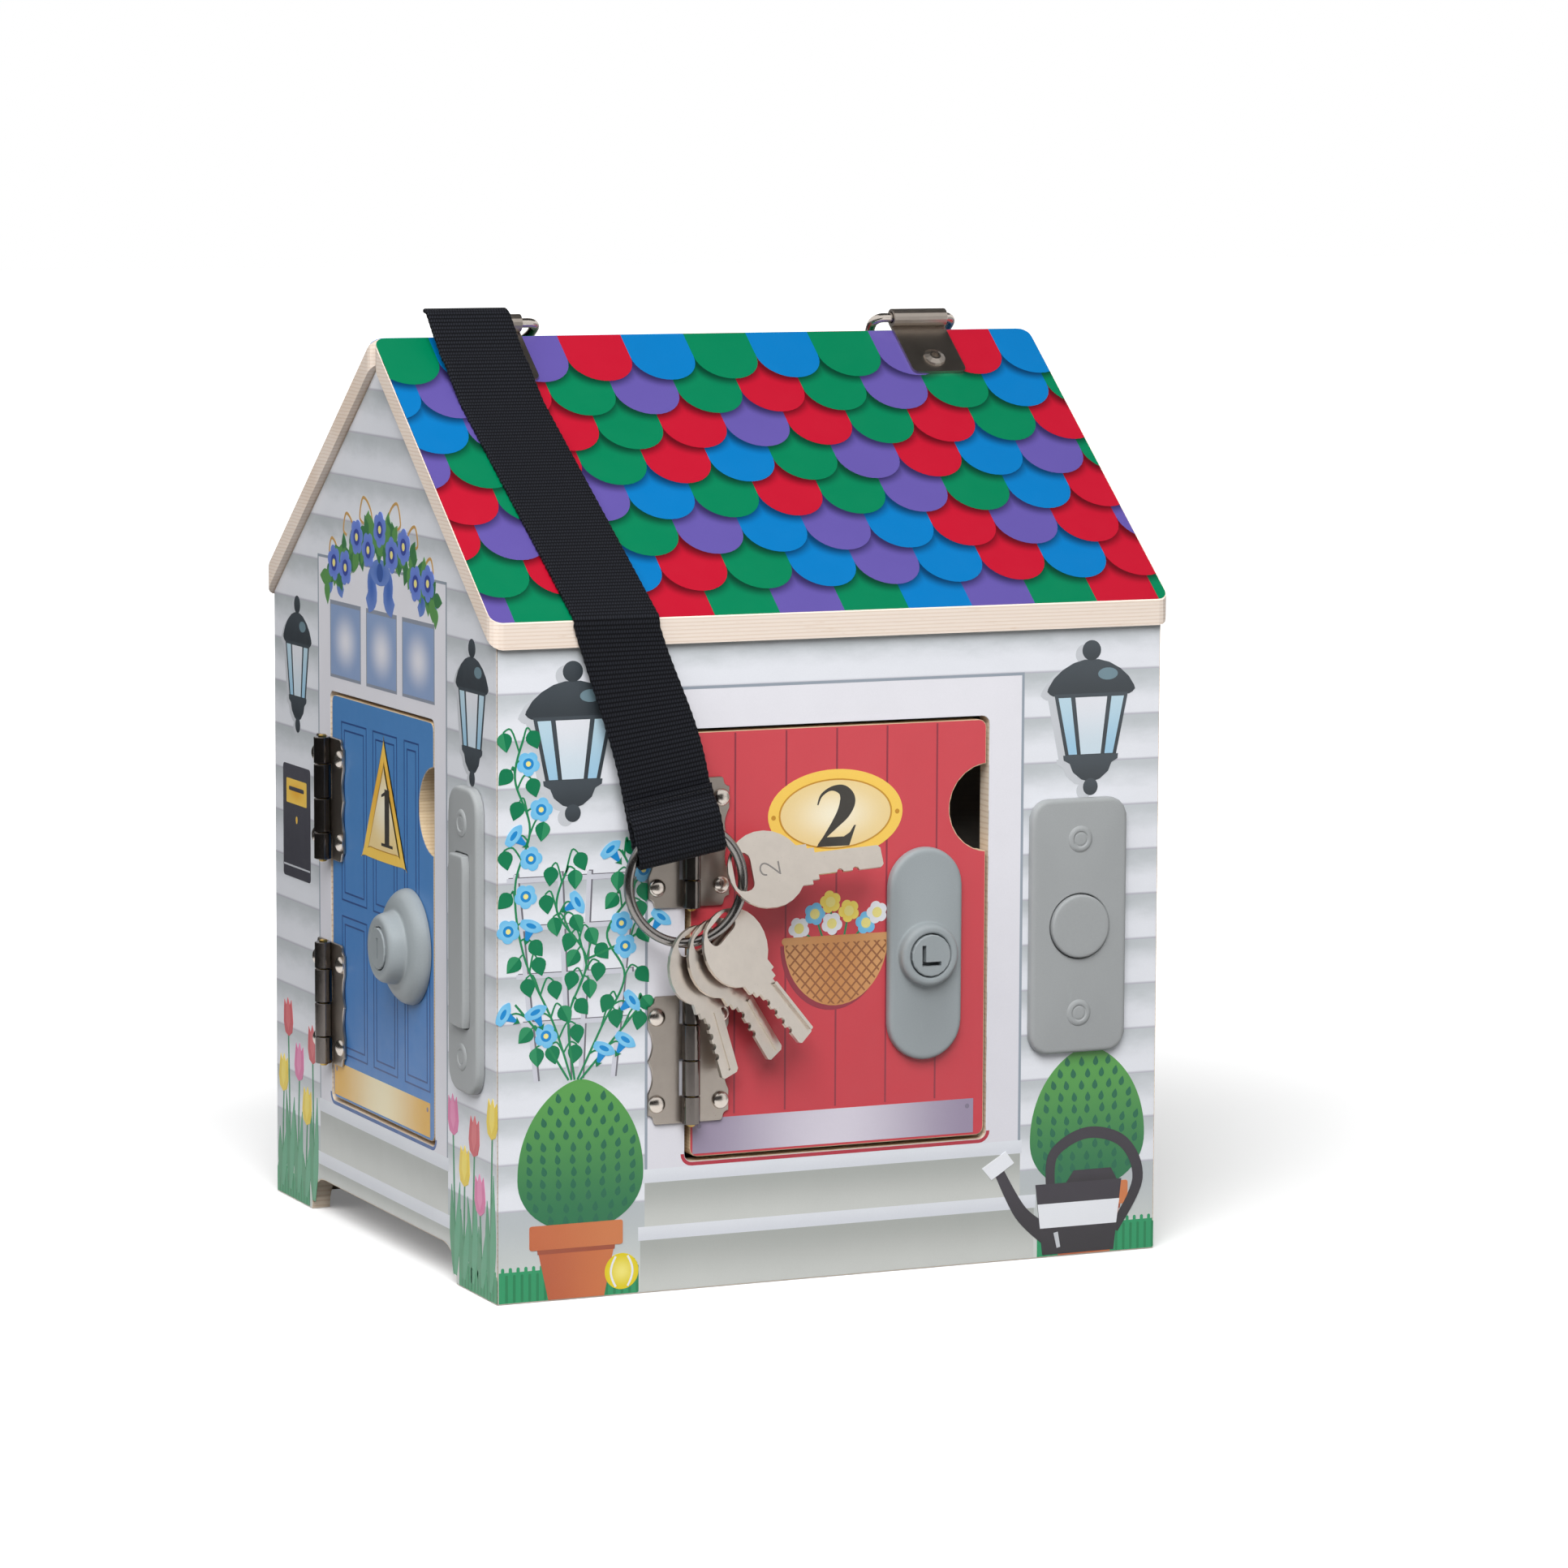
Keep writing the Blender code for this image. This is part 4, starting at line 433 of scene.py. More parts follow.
inkBook = {  # name: low colour, high colour, way
    "trimWhite": ("#d9d8df", "#e3e2e8", "up"), "trimLine": ("#929ba6",), "sashShade": ("#8d93a0",),
    "treadPale": ("#d3d6dd", "#dcdfe5", "up"), "riserGrey": ("#c6c8c4", "#a6a9a5", "up"),
    "doorRed": ("#c03e48", "#c8464f", "up"), "redSeam": ("#8c3340",), "redMargin": ("#a93240",),
    "doorBlue": ("#427ab9", "#4c82bb", "up"), "blueSeam": ("#2c4a80",), "blueMargin": ("#2f5590",),
    "doorGreen": ("#2f7d58", "#3a8a62", "up"), "greenSeam": ("#1d5a3e",), "greenMargin": ("#24684a",),
    "doorPlum": ("#6d5aa2", "#7a68ad", "up"), "plumSeam": ("#4b3d7c",), "plumMargin": ("#57478c",),
    "kickLilac": ("#d3cdd9", "#94889f", "middle"), "kickYellow": ("#efe2bd", "#dca93f", "middle"),
    "kickGrey": ("#d8dadd", "#9ba1a8", "middle"), "stud": ("#7d7487",),
    "gold": ("#e8ad3a", "#f2c95c", "out"), "goldLine": ("#c08a2c",), "cream": ("#f3ead0", "#e9cf94", "out"),
    "numeral": ("#37342f",), "lampBlack": ("#343a3f", "#41484e", "up"), "lampShade": ("#c3c6cb",),
    "lampGlass": ("#c9d9e3", "#dfe1e7", "up"), "lampSide": ("#9cc4dc", "#b9d3e0", "up"), "lampGlint": ("#6f8791",),
    "bushGreen": ("#256b47", "#57994c", "up"), "bushDab": ("#1f6247",), "potRim": ("#bd6843", "#c97a4d", "across"),
    "potBody": ("#b35d3e", "#c67246", "across"), "potShade": ("#984d37",),
    "grass": ("#2b9060",), "grassDark": ("#1f7a4e",), "trellis": ("#c9cad3",), "trellisEdge": ("#6d6b73",),
    "stemGreen": ("#1f7f50",), "leafGreen": ("#04744a",), "leafPale": ("#2c8a5c",),
    "petalBlue": ("#8ccdec", "#70bce6", "out"), "petalDeep": ("#1a86c9",), "petalEye": ("#ece08a",),
    "bladeGreen": ("#4c9a72",), "bladeDark": ("#3a8a60",),
    "tulipRed": ("#c64f57",), "tulipRedMid": ("#d1656a",), "tulipPink": ("#d66f9f",), "tulipPinkMid": ("#e087b0",),
    "tulipYellow": ("#e6c934",), "tulipYellowMid": ("#eed75a",), "petalYellow": ("#ecd04c", "#f0da68", "out"),
    "mossGreen": ("#5c9152",), "mossDark": ("#3f7549",),
    "petalIris": ("#5870c4", "#6f87d2", "out"), "petalDusk": ("#3d4c98",),
    "ribbonBlue": ("#4468b4", "#6a86c6", "out"), "ribbonDeep": ("#3b5a9e",), "tendril": ("#c39a5a",),
    "ballYellow": ("#efe27a", "#dcc71e", "out"), "canBlack": ("#2b282c", "#37333a", "up"), "canWhite": ("#e6e8ed",),
    "wicker": ("#bf8550", "#cd9864", "middle"), "wickerLine": ("#8f5c3b",),
    "paneBlue": ("#e0e0e8", "#8da2c6", "out"), "boxBlack": ("#3c3c44", "#4a4a52", "up"),
}
inks = {}


def inkOf(name):
    if name not in inks:
        inks[name] = inkMaterial("print_" + name, *inkBook[name])
    return inks[name]


sidingRows = {
    "pitch": 0.01482, "foot": 0.0292, "pale": "#e2e4ea", "grey": "#b4babd", "line": "#9c99a6", "base": "#ccd0cc",
}
siding = sidingMaterial("print_siding", sidingRows)
roofLook = {
    "colours": ("#b3112b", "#006fb0", "#00764e", "#5c4f99"), "width": 22.5, "pitch": 16.6, "first": 23.1,
    "eave": 134.3, "cast": 1.2, "edge": 0.5, "reach": 4.6, "depth": 0.85, "shade": "#5c5a68", "seed": 11,
    "rows": 8, "columns": 13, "across": 2.0, "under": 1.5, "thick": 0.27, "step": 0.03, "vary": 0.85,
}
tiles = tileMaterial("print_tiles", roofLook)
plyWood = woodMaterial("plywood", "#dcc7a6", "#b08d63", (1.0, 1.0, 1.6), 0.7)
edgeWood = woodMaterial("pine_edge", "#eadcd0", "#cbae92", (0.12, 1.4, 1.4), 0.8)
rakeWood = woodMaterial("wall_ply", "#ecddca", "#c3a483", (0.6, 0.6, 0.9), 0.8)
hardboard = woodMaterial("hardboard", "#938c86", "#78706a", (1.0, 1.0, 1.0), 0.3)
nickel = metalMaterial("nickel", "#aca39a", 0.3)
# the knuckle barrels: the hinge nickel painted darker, a painted dark reflection
darkReflectionNickel = metalMaterial("barrel_nickel_painted_reflection", "#726c68", 0.12)
brightNickel = metalMaterial("nickel_bright", "#cfc6bd", 0.2)
keyNickel = metalMaterial("key_nickel", "#d8cfc5", 0.27, 0.14)
steel = metalMaterial("ring_steel", "#8f8b88", 0.2)
brass = metalMaterial("pin_brass", "#c9a860", 0.24)
greyPlastic = plasticMaterial("grey_plastic", "#9b9e9f", 0.38)
lockPlastic = plasticMaterial("lock_plastic", "#939a9d", 0.33)
webbing = webbingMaterial("black_webbing", "#141519")
thread = plasticMaterial("black_thread", "#151518", 0.5)
print("materials:", len(bpy.data.materials))


# drawing in millimetres

def wallPlace(number):
    # u to the right seen from outside, v up, w out of the wall's outer face
    side = walls[number]
    turned = Matrix.Rotation(radians(side["turn"]), 4, "Z")
    placed = Matrix.Translation(middle) @ turned @ Matrix.Translation((0.0, -side["reach"] * mm, 0.0))
    return lambda u, v, w: placed @ Vector((u * mm, -w * mm, v * mm))


def roofPlace(side):
    # u along the ridge, v down the slope from it, w up off the surface
    def place(u, v, w):
        y = side * (v * cos(slope) + w * sin(slope))
        z = house["ridge"] - v * sin(slope) + w * cos(slope)
        return middle + Vector((u, y, z)) * mm
    return place


def rect(u0, v0, u1, v1):
    return [(u0, v0), (u1, v0), (u1, v1), (u0, v1)]


def roundRect(cu, cv, width, height, radius, steps=8):
    points = []
    for corner in range(4):
        u = (width / 2 - radius) * (1 if corner in (0, 3) else -1)
        v = (height / 2 - radius) * (1 if corner in (0, 1) else -1)
        for step in range(steps + 1):
            angle = pi / 2 * (corner + step / steps)
            points.append((cu + u + radius * cos(angle), cv + v + radius * sin(angle)))
    return [p for index, p in enumerate(points) if dist(p, points[index - 1]) > 1e-4]


def ellipse(cu, cv, a, b=None, count=40):
    b = b or a
    return [(cu + a * cos(tau * k / count), cv + b * sin(tau * k / count)) for k in range(count)]


def arcOf(count, reach=pi / 2):
    # even angles from nothing to the reach, both ends in
    return [reach * k / count for k in range(count + 1)]


def smoothLine(points, steps=5, closed=False):
    # rounds a line of points of any length through its corners
    count = len(points)
    line = []
    for index in range(count if closed else count - 1):
        if closed:
            four = [points[(index + off) % count] for off in (-1, 0, 1, 2)]
        else:
            four = [points[min(max(index + off, 0), count - 1)] for off in (-1, 0, 1, 2)]
        for step in range(steps):
            t = step / steps
            line.append(tuple(
                0.5 * (2 * b + (c - a) * t + (2 * a - 5 * b + 4 * c - d) * t * t + (3 * b - a - 3 * c + d) * t ** 3)
                for a, b, c, d in zip(*four)
            ))
    if not closed:
        line.append(tuple(points[-1]))
    return line


def brush(points, steps=5):
    # the outline of a stroke through (u, v, half width)
    line = smoothLine(points, steps)
    left, right = [], []
    for index, (u, v, half) in enumerate(line):
        before, after = line[max(index - 1, 0)], line[min(index + 1, len(line) - 1)]
        du, dv = after[0] - before[0], after[1] - before[1]
        size = hypot(du, dv) or 1.0
        left.append((u - dv / size * half, v + du / size * half))
        right.append((u + dv / size * half, v - du / size * half))
    return left + right[::-1]


def moved(outline, du, dv, scale=1.0, high=None):
    high = scale if high is None else high
    return [(du + u * scale, dv + v * high) for u, v in outline]


def inset(loop, depth):
    made = []
    area = sum(a[0] * b[1] - b[0] * a[1] for a, b in zip(loop, loop[1:] + loop[:1]))
    hand = 1.0 if area > 0 else -1.0
    for index, (u, v) in enumerate(loop):
        before, after = loop[index - 1], loop[(index + 1) % len(loop)]
        du, dv = after[0] - before[0], after[1] - before[1]
        size = hypot(du, dv) or 1.0
        made.append((u - hand * dv / size * depth, v + hand * du / size * depth))
    return made


def clipTo(loop, window):
    # keeps the part of a loop that lies in a convex window
    for a, b in zip(window, window[1:] + window[:1]):
        def ahead(p):
            return (b[0] - a[0]) * (p[1] - a[1]) - (b[1] - a[1]) * (p[0] - a[0])
        kept = []
        for p, q in zip(loop, loop[1:] + loop[:1]):
            dp, dq = ahead(p), ahead(q)
            if dp >= 0:
                kept.append(p)
            if (dp >= 0) != (dq >= 0):
                share = dp / (dp - dq)
                kept.append((p[0] + (q[0] - p[0]) * share, p[1] + (q[1] - p[1]) * share))
        loop = kept
        if len(loop) < 3:
            return []
    return [p for index, p in enumerate(loop) if dist(p, loop[index - 1]) > 1e-3]


def linkMesh(name, shape, materials):
    mesh = bpy.data.meshes.new(name)
    shape.to_mesh(mesh)
    shape.free()
    for material in materials:
        mesh.materials.append(material)
    piece = bpy.data.objects.new(name, mesh)
    bpy.context.scene.collection.objects.link(piece)
    return piece


def finishPiece(name, shape, materials, body=None, replaced=(), smooth=None):
    bmesh.ops.recalc_face_normals(shape, faces=shape.faces)
    piece = linkMesh(name, shape, materials)
    if smooth:
        piece.data.shade_smooth()
        piece.data.set_sharp_from_angle(angle=radians(smooth))
    if body:
        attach(piece, body)
    if replaced:
        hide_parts(*replaced)
    return piece


def sheetShape(layerName="inkSpot"):
    shape = bmesh.new()
    return shape, shape.verts.layers.float_vector.new(layerName)


def addPlate(shape, spot, loops, low, high, place, slot=0):
    # a thin closed plate from one outline and any holes in it
    us, vs = zip(*loops[0])
    u0, u1, v0, v1 = min(us), max(us), min(vs), max(vs)
    flat = [p for loop in loops for p in loop]
    levels = []
    for level in (low, high):
        made = []
        for u, v in flat:
            vert = shape.verts.new(place(u, v, level))
            vert[spot] = ((u - u0) / max(u1 - u0, 1e-6), (v - v0) / max(v1 - v0, 1e-6), level)
            made.append(vert)
        levels.append(made)
    bottoms, tops = levels
    if len(loops) == 1:
        faces = [tuple(range(len(flat)))]
    else:
        faces = tessellate_polygon([[Vector((u, v, 0.0)) for u, v in loop] for loop in loops])
    made = []
    for face in faces:
        made.append(shape.faces.new([tops[index] for index in face]))
        made.append(shape.faces.new([bottoms[index] for index in reversed(face)]))
    start = 0
    for loop in loops:
        for index in range(len(loop)):
            near, far = start + index, start + (index + 1) % len(loop)
            made.append(shape.faces.new((bottoms[near], bottoms[far], tops[far], tops[near])))
        start += len(loop)
    for face in made:
        face.material_index = slot


paper = {  # base sheet from below the face to its top, each layer, each later shape of a layer, and how many count
    "under": -0.03, "lift": 0.08, "layer": 0.025, "rise": 0.0008, "cycle": 28,
}


def printPiece(name, place, body, shapes):
    # shapes: (outline or loops, layer, ink); a later shape of a layer lies over the earlier ones
    shape, spot = sheetShape()
    names, counts = [], {}
    for loops, layer, ink in shapes:
        if isinstance(loops[0][0], (int, float)):
            loops = [loops]
        if ink not in names:
            names.append(ink)
        counts[layer] = counts.get(layer, -1) + 1
        top = paper["lift"] + paper["layer"] * layer + paper["rise"] * (counts[layer] % paper["cycle"])
        addPlate(shape, spot, loops, paper["lift"] / 2, top, place, names.index(ink))
    finishPiece(name, shape, [inkOf(ink) for ink in names], body)


# printed sheets on the walls, and the trim round each door

def openingLoop(number, grow=0.0):
    width = walls[number]["opening"] + 2 * grow
    return roundRect(shift, (sill + doorTop) / 2, width, doorTop - sill + 2 * grow, 2.6 + grow, 5)


archLook = {"half": 68.0, "radius": 11.8}


def wallOutline(number, edge=0.25, foot=0.2):
    side = walls[number]
    half = side["half"] - edge

    def top(distance):
        return house["ridge"] - distance * tan(slope) - (house["ply"] + 0.3) / cos(slope) - edge
    if not side["gable"]:
        return rect(-half, foot, half, top(side["reach"]))
    reach, radius = archLook["half"], archLook["radius"]
    arch = [(reach - radius + radius * cos(a) + edge, radius * sin(a) + edge) for a in arcOf(8)[1:]]
    return (
        [(-half, foot), (-reach - edge, foot)] + [(-u, v) for u, v in arch] + arch[::-1]
        + [(reach + edge, foot), (half, foot), (half, top(half)), (0.0, top(0.0)), (-half, top(half))]
    )


bells = {  # cap: width, height, corner; out: how far its front is from the wall
    1: {
        "u": 80.7, "v": 112.8, "width": 25.0, "height": 97.3, "corner": 8.0, "spread": 74.4,
        "cap": (13.0, 54.8, 1.8), "out": 5.3,
    },
    2: {
        "u": 86.0, "v": 109.3, "width": 34.5, "height": 83.5, "corner": 6.5, "spread": 57.0,
        "cap": (20.7, 20.7, 10.35), "out": 4.5,
    },
    3: {
        "u": 80.7, "v": 109.3, "width": 30.0, "height": 76.0, "corner": 14.9, "spread": 54.0,
        "cap": (16.5, 16.5, 3.0), "out": 4.5,
    },
    4: {
        "u": 86.0, "v": 109.3, "width": 34.0, "height": 60.0, "corner": 4.0, "spread": 45.0,
        "cap": (12.5, 22.5, 6.25), "out": 4.5,
    },
}
margins = {1: "blueMargin", 2: "redMargin", 3: "greenMargin", 4: "plumMargin"}


def wallSheet(number):
    bell = bells[number]
    shape, spot = sheetShape()
    bellHole = ellipse(bell["u"], bell["v"], 3.5, count=20)[::-1]
    loops = [wallOutline(number), openingLoop(number)[::-1], bellHole]
    addPlate(shape, spot, loops, paper["under"], paper["lift"], wallPlace(number))
    finishPiece(f"{walls[number]['name']}_wall_paper", shape, [siding], "house")


trimLook = {  # by kind of wall: left, right, top and the step's foot; steps: low, high, past left, past right, ink
    "gable": (-59.2, 60.6, 224.0, 12.3), "eave": (-66.0, 66.7, 192.6, 0.3), "low": 39.6, "line": 0.9,
    "margin": 1.3, "marginTop": 70.0, "play": 0.15,
    "steps": (
        (35.2, 39.6, 0.6, 0.6, "treadPale"), (21.2, 35.2, 0.0, 0.0, "riserGrey"),
        (16.8, 21.2, 2.2, 5.8, "treadPale"), (None, 16.8, 1.5, 5.2, "riserGrey"),
    ),
}


def trimShapes(number):
    look = trimLook
    left, right, top, foot = look["gable" if walls[number]["gable"] else "eave"]
    low, line = look["low"], look["line"]
    edge = openingLoop(number, look["play"])
    shapes = [([rect(left, low, right, top), edge[::-1]], 1, "trimWhite")]
    for sides in ((left, low, left + line, top), (right - line, low, right, top), (left, top - line, right, top)):
        shapes.append((rect(*sides), 2, "trimLine"))
    outer = openingLoop(number, look["margin"])
    lower, lowerEdge = ([p for p in loop if p[1] < look["marginTop"]] for loop in (outer, edge))
    band = sorted(lower, key=lambda p: p[0]) + sorted(lowerEdge, key=lambda p: -p[0])
    shapes.append((band, 2, margins[number]))
    for v0, v1, before, past, ink in look["steps"]:
        shapes.append((rect(left - before, foot if v0 is None else v0, right + past, v1), 1, ink))
    return shapes


def mirrored(half):
    return half + [(-u, v) for u, v in half[::-1]]


lanternLook = {  # glass: the outer and inner ends of each pane's top and foot
    "dome": mirrored([(-16, 34.2), (-15.6, 35.4), (-13.6, 38.4), (-10.6, 41.0), (-6.5, 43.2), (-2.6, 44.2)])
    + mirrored([(15, 33.2), (13.8, 32.6)]),
    "frame": mirrored([(-13.4, 33.2), (-9.0, 12.0)]),
    "cup": [(-10.0, 13.2), (10.0, 13.2)] + mirrored([(9.8, 11.6), (7.6, 10.4), (6.4, 7.6), (3.4, 5.2), (1.4, 4.6)]),
    "ball": ellipse(0, 47.2, 3.4, 3.3, 24), "drop": ellipse(0, 2.7, 2.7, 2.8, 20),
    "glint": ellipse(6.0, 39.4, 3.6, 2.0, 18), "shade": (-2.4, -1.2), "glassTop": 32.0, "glassLow": 13.4,
    "glass": ((-11.9, -8.0, -7.4, -5.0), (-5.8, -3.6, 5.8, 3.6), (7.4, 5.0, 11.9, 8.0)),
}


def lanternShapes(cu, base, high, wide):
    # a street lamp of plain design: ball, cap, glass in tapering frames, cup and drop
    look = lanternLook
    top, low = look["glassTop"], look["glassLow"]

    def at(outline):
        return moved(outline, cu, base, wide, high)
    solid = [at(look[part]) for part in ("dome", "frame", "cup", "ball", "drop")]
    shadeU, shadeV = look["shade"]
    shapes = [(moved(outline, shadeU * wide, shadeV * high), 2, "lampShade") for outline in solid]
    shapes += [(outline, 3, "lampBlack") for outline in solid]
    for index, (a, b, c, d) in enumerate(look["glass"]):
        ink = "lampGlass" if index == 1 else "lampSide"
        shapes.append((at([(b, low), (d, low), (c, top), (a, top)]), 4, ink))
    return shapes + [(at(look["glint"]), 4, "lampGlint")]


def turnedLoop(loop, cu, cv, angle, scale=1.0):
    c, s = cos(angle), sin(angle)
    return [(cu + scale * (u * c - v * s), cv + scale * (u * s + v * c)) for u, v in loop]


leafSteps = (0.0, 0.1, 0.22, 0.36, 0.52, 0.7, 0.86, 1.0)
anyTurn = 6.28  # the most that a flower or leaf is turned at random


def leafLoop(cu, cv, length, angle, wide=0.36, half=0):
    # a pointed leaf from its foot at (cu, cv), or its half on one hand
    along = [(t, wide * sin(pi * t ** 0.72)) for t in leafSteps]
    loop = [(t, half * w) for t, w in along] if half else along + [(t, -w) for t, w in reversed(along[1:-1])]
    return turnedLoop(loop, cu, cv, angle, length)


flowerLook = {"inner": 0.76, "lobe": 0.24, "blunt": 0.6, "heart": 0.46, "eye": 0.22}  # shares of its radius


def flowerShapes(cu, cv, radius, turn, petal="petalBlue", heart="petalDeep", layer=4, count=5):
    look = flowerLook
    petals = []
    for angle in arcOf(60, tau)[:-1]:
        r = radius * (look["inner"] + look["lobe"] * abs(cos(count / 2 * (angle - turn))) ** look["blunt"])
        petals.append((cu + r * cos(angle), cv + r * sin(angle)))
    return [
        (petals, layer, petal), (ellipse(cu, cv, radius * look["heart"], count=20), layer + 1, heart),
        (ellipse(cu, cv, radius * look["eye"], count=14), layer + 2, "petalEye"),
    ]


budParts = (  # a half-open flower from the side: deep throat, pale rim, its hollow and a green cup
    ([(-0.1, -1.0), (0.1, -1.0), (0.28, -0.4), (0.48, 0.2), (-0.48, 0.2), (-0.28, -0.4)], 0, "petalDeep"),
    ([(1.02 * cos(a) * (1 + 0.06 * cos(5 * a)), 0.34 + 0.5 * sin(a)) for a in arcOf(36, tau)[:-1]], 1, "petalBlue"),
    (ellipse(0, 0.36, 0.46, 0.2, 18), 2, "petalDeep"),
    ([(-0.34, -0.78), (0.0, -1.28), (0.34, -0.78), (0.0, -0.9)], 1, "leafGreen"),
)


def budShapes(cu, cv, size, angle, layer=4):
    return [(turnedLoop(loop, cu, cv, angle, size), layer + level, ink) for loop, level, ink in budParts]


bushLook = {
    "wide": 21.4, "above": 31.0, "below": 17.5, "rowStep": 3.9, "dabStep": 5.0, "dab": (3.3, 0.3), "rim": 2.4,
    "first": 3.6, "bow": 1.8, "drop": 1.6, "spread": 0.3,
}


def bushShapes(cu, base, seed, grow=1.0):
    # a clipped bush, widest low down, with bowed rows of small leaf dabs
    look = bushLook
    rng = random.Random(seed)
    level = base + look["below"] * grow
    above, below = look["above"] * grow, look["below"] * grow
    dabLong, dabWide = look["dab"]

    def reach(rise):
        share = rise / (look["above"] if rise > 0 else look["below"]) / grow
        return look["wide"] * grow * max(0.0, 1.0 - abs(share) ** 2.1) ** (0.62 if rise > 0 else 0.5)
    rises = [-below * sin(a) for a in arcOf(14)[:0:-1]] + [above * sin(a) for a in arcOf(22)]
    right = [(reach(rise), rise) for rise in rises]
    loop = [(cu + u, level + rise) for u, rise in right] + [(cu - u, level + rise) for u, rise in right[-2:0:-1]]
    shapes = [(loop, 3, "bushGreen")]
    rise = look["first"] - below
    while rise < above - look["rim"]:
        count = int(2 * (reach(rise) - look["rim"]) / look["dabStep"])
        for k in range(count + 1):
            u = (k - count / 2) * look["dabStep"] * (1 - 0.05 * abs(k - count / 2) / max(count, 1))
            bow = look["bow"] * (u / look["wide"]) ** 2
            foot = (cu + u + rng.uniform(-look["spread"], look["spread"]), level + rise + bow - look["drop"])
            shapes.append((leafLoop(*foot, dabLong, pi / 2 - u * 0.02, dabWide), 4, "bushDab"))
        rise += look["rowStep"]
    return shapes


potLook = {  # half widths; drops are from the rim's top
    "low": 0.3, "foot": 9.5, "top": 13.2, "topDrop": 7.0, "shade": (13.1, 13.3), "shadeDrop": (9.2, 7.4),
    "rim": (31.8, 7.8, 0.8), "rimDrop": 3.9,
}


def potShapes(cu, rimTop):
    look = potLook

    def band(low, lowHalf, high, highHalf):
        return [(cu - lowHalf, low), (cu + lowHalf, low), (cu + highHalf, high), (cu - highHalf, high)]
    (shadeLow, shadeHigh), (dropLow, dropHigh) = look["shade"], look["shadeDrop"]
    return [
        (band(look["low"], look["foot"], rimTop - look["topDrop"], look["top"]), 4, "potBody"),
        (band(rimTop - dropLow, shadeLow, rimTop - dropHigh, shadeHigh), 5, "potShade"),
        (roundRect(cu, rimTop - look["rimDrop"], *look["rim"], 3), 6, "potRim"),
    ]


grassLook = {  # tuft: width, height, corner; blade: width, how much shorter than the grass, corner
    "high": 11.3, "low": 0.3, "strip": 1.2, "pitch": 2.6, "tuft": (1.1, 4.6, 0.54), "tuftDrop": 2.0,
    "blade": (0.9, 2.4, 0.4), "bladeShift": 1.3, "bladeDrop": 1.6,
}


def grassShapes(u0, u1, high=grassLook["high"]):
    # an even strip with round tufts, and darker blades between them
    look = grassLook
    width, short, corner = look["blade"]
    shapes = [(rect(u0, look["low"], u1, high - look["strip"]), 2, "grass")]
    count = int((u1 - u0) / look["pitch"])
    for k in range(count):
        u = u0 + (u1 - u0) * (k + 0.5) / count
        blade = roundRect(u + look["bladeShift"], (high - look["bladeDrop"]) / 2, width, high - short, corner, 2)
        shapes.append((roundRect(u, high - look["tuftDrop"], *look["tuft"], 3), 2, "grass"))
        shapes.append((blade, 3, "grassDark"))
    return shapes


climberLook = {
    "leaf": 6.4, "leafRoom": 2.7, "flower": 3.9, "flowerRoom": 3.5, "flowers": 0.36, "open": 0.55, "pale": 0.4,
    "lath": 0.75, "shade": (0.6, 0.3), "bare": 7, "edge": -113.5, "stem": 0.36, "flare": 7,
    "posts": ((-1, 3, 10), (0, -5, -2), (0, 5, 2), (1, -3, -10)), "rails": (0.28, 0.23, 4),
    "leafTurn": (-0.5, 0.6), "leafReach": (3.4, 6.4), "hang": (-0.3, 0.8), "nod": (0.2, 1.1),
    "stems": (  # from the left edge (-1), the middle (0) or the right edge (1), and above the foot
        ((0, -1, 0), (0, -7, 18), (-1, 6, 40), (-1, 3, 62), (-1, 8, 80), (-1, 3, 96), (-1, 6, 109)),
        ((0, 0, 0), (0, -2, 20), (0, 4, 38), (0, -6, 54), (0, -2, 68)),
        ((0, 1, 0), (0, 9, 16), (1, -6, 32), (1, -12, 46), (1, -3, 60), (1, -7, 72)),
        ((0, -2, 0), (-1, 12, 14), (-1, 3, 25)), ((0, 2, 0), (1, -9, 13), (1, 1, 24)),
        ((0, 4, 38), (1, -4, 44), (1, 4, 50)),
    ),
}


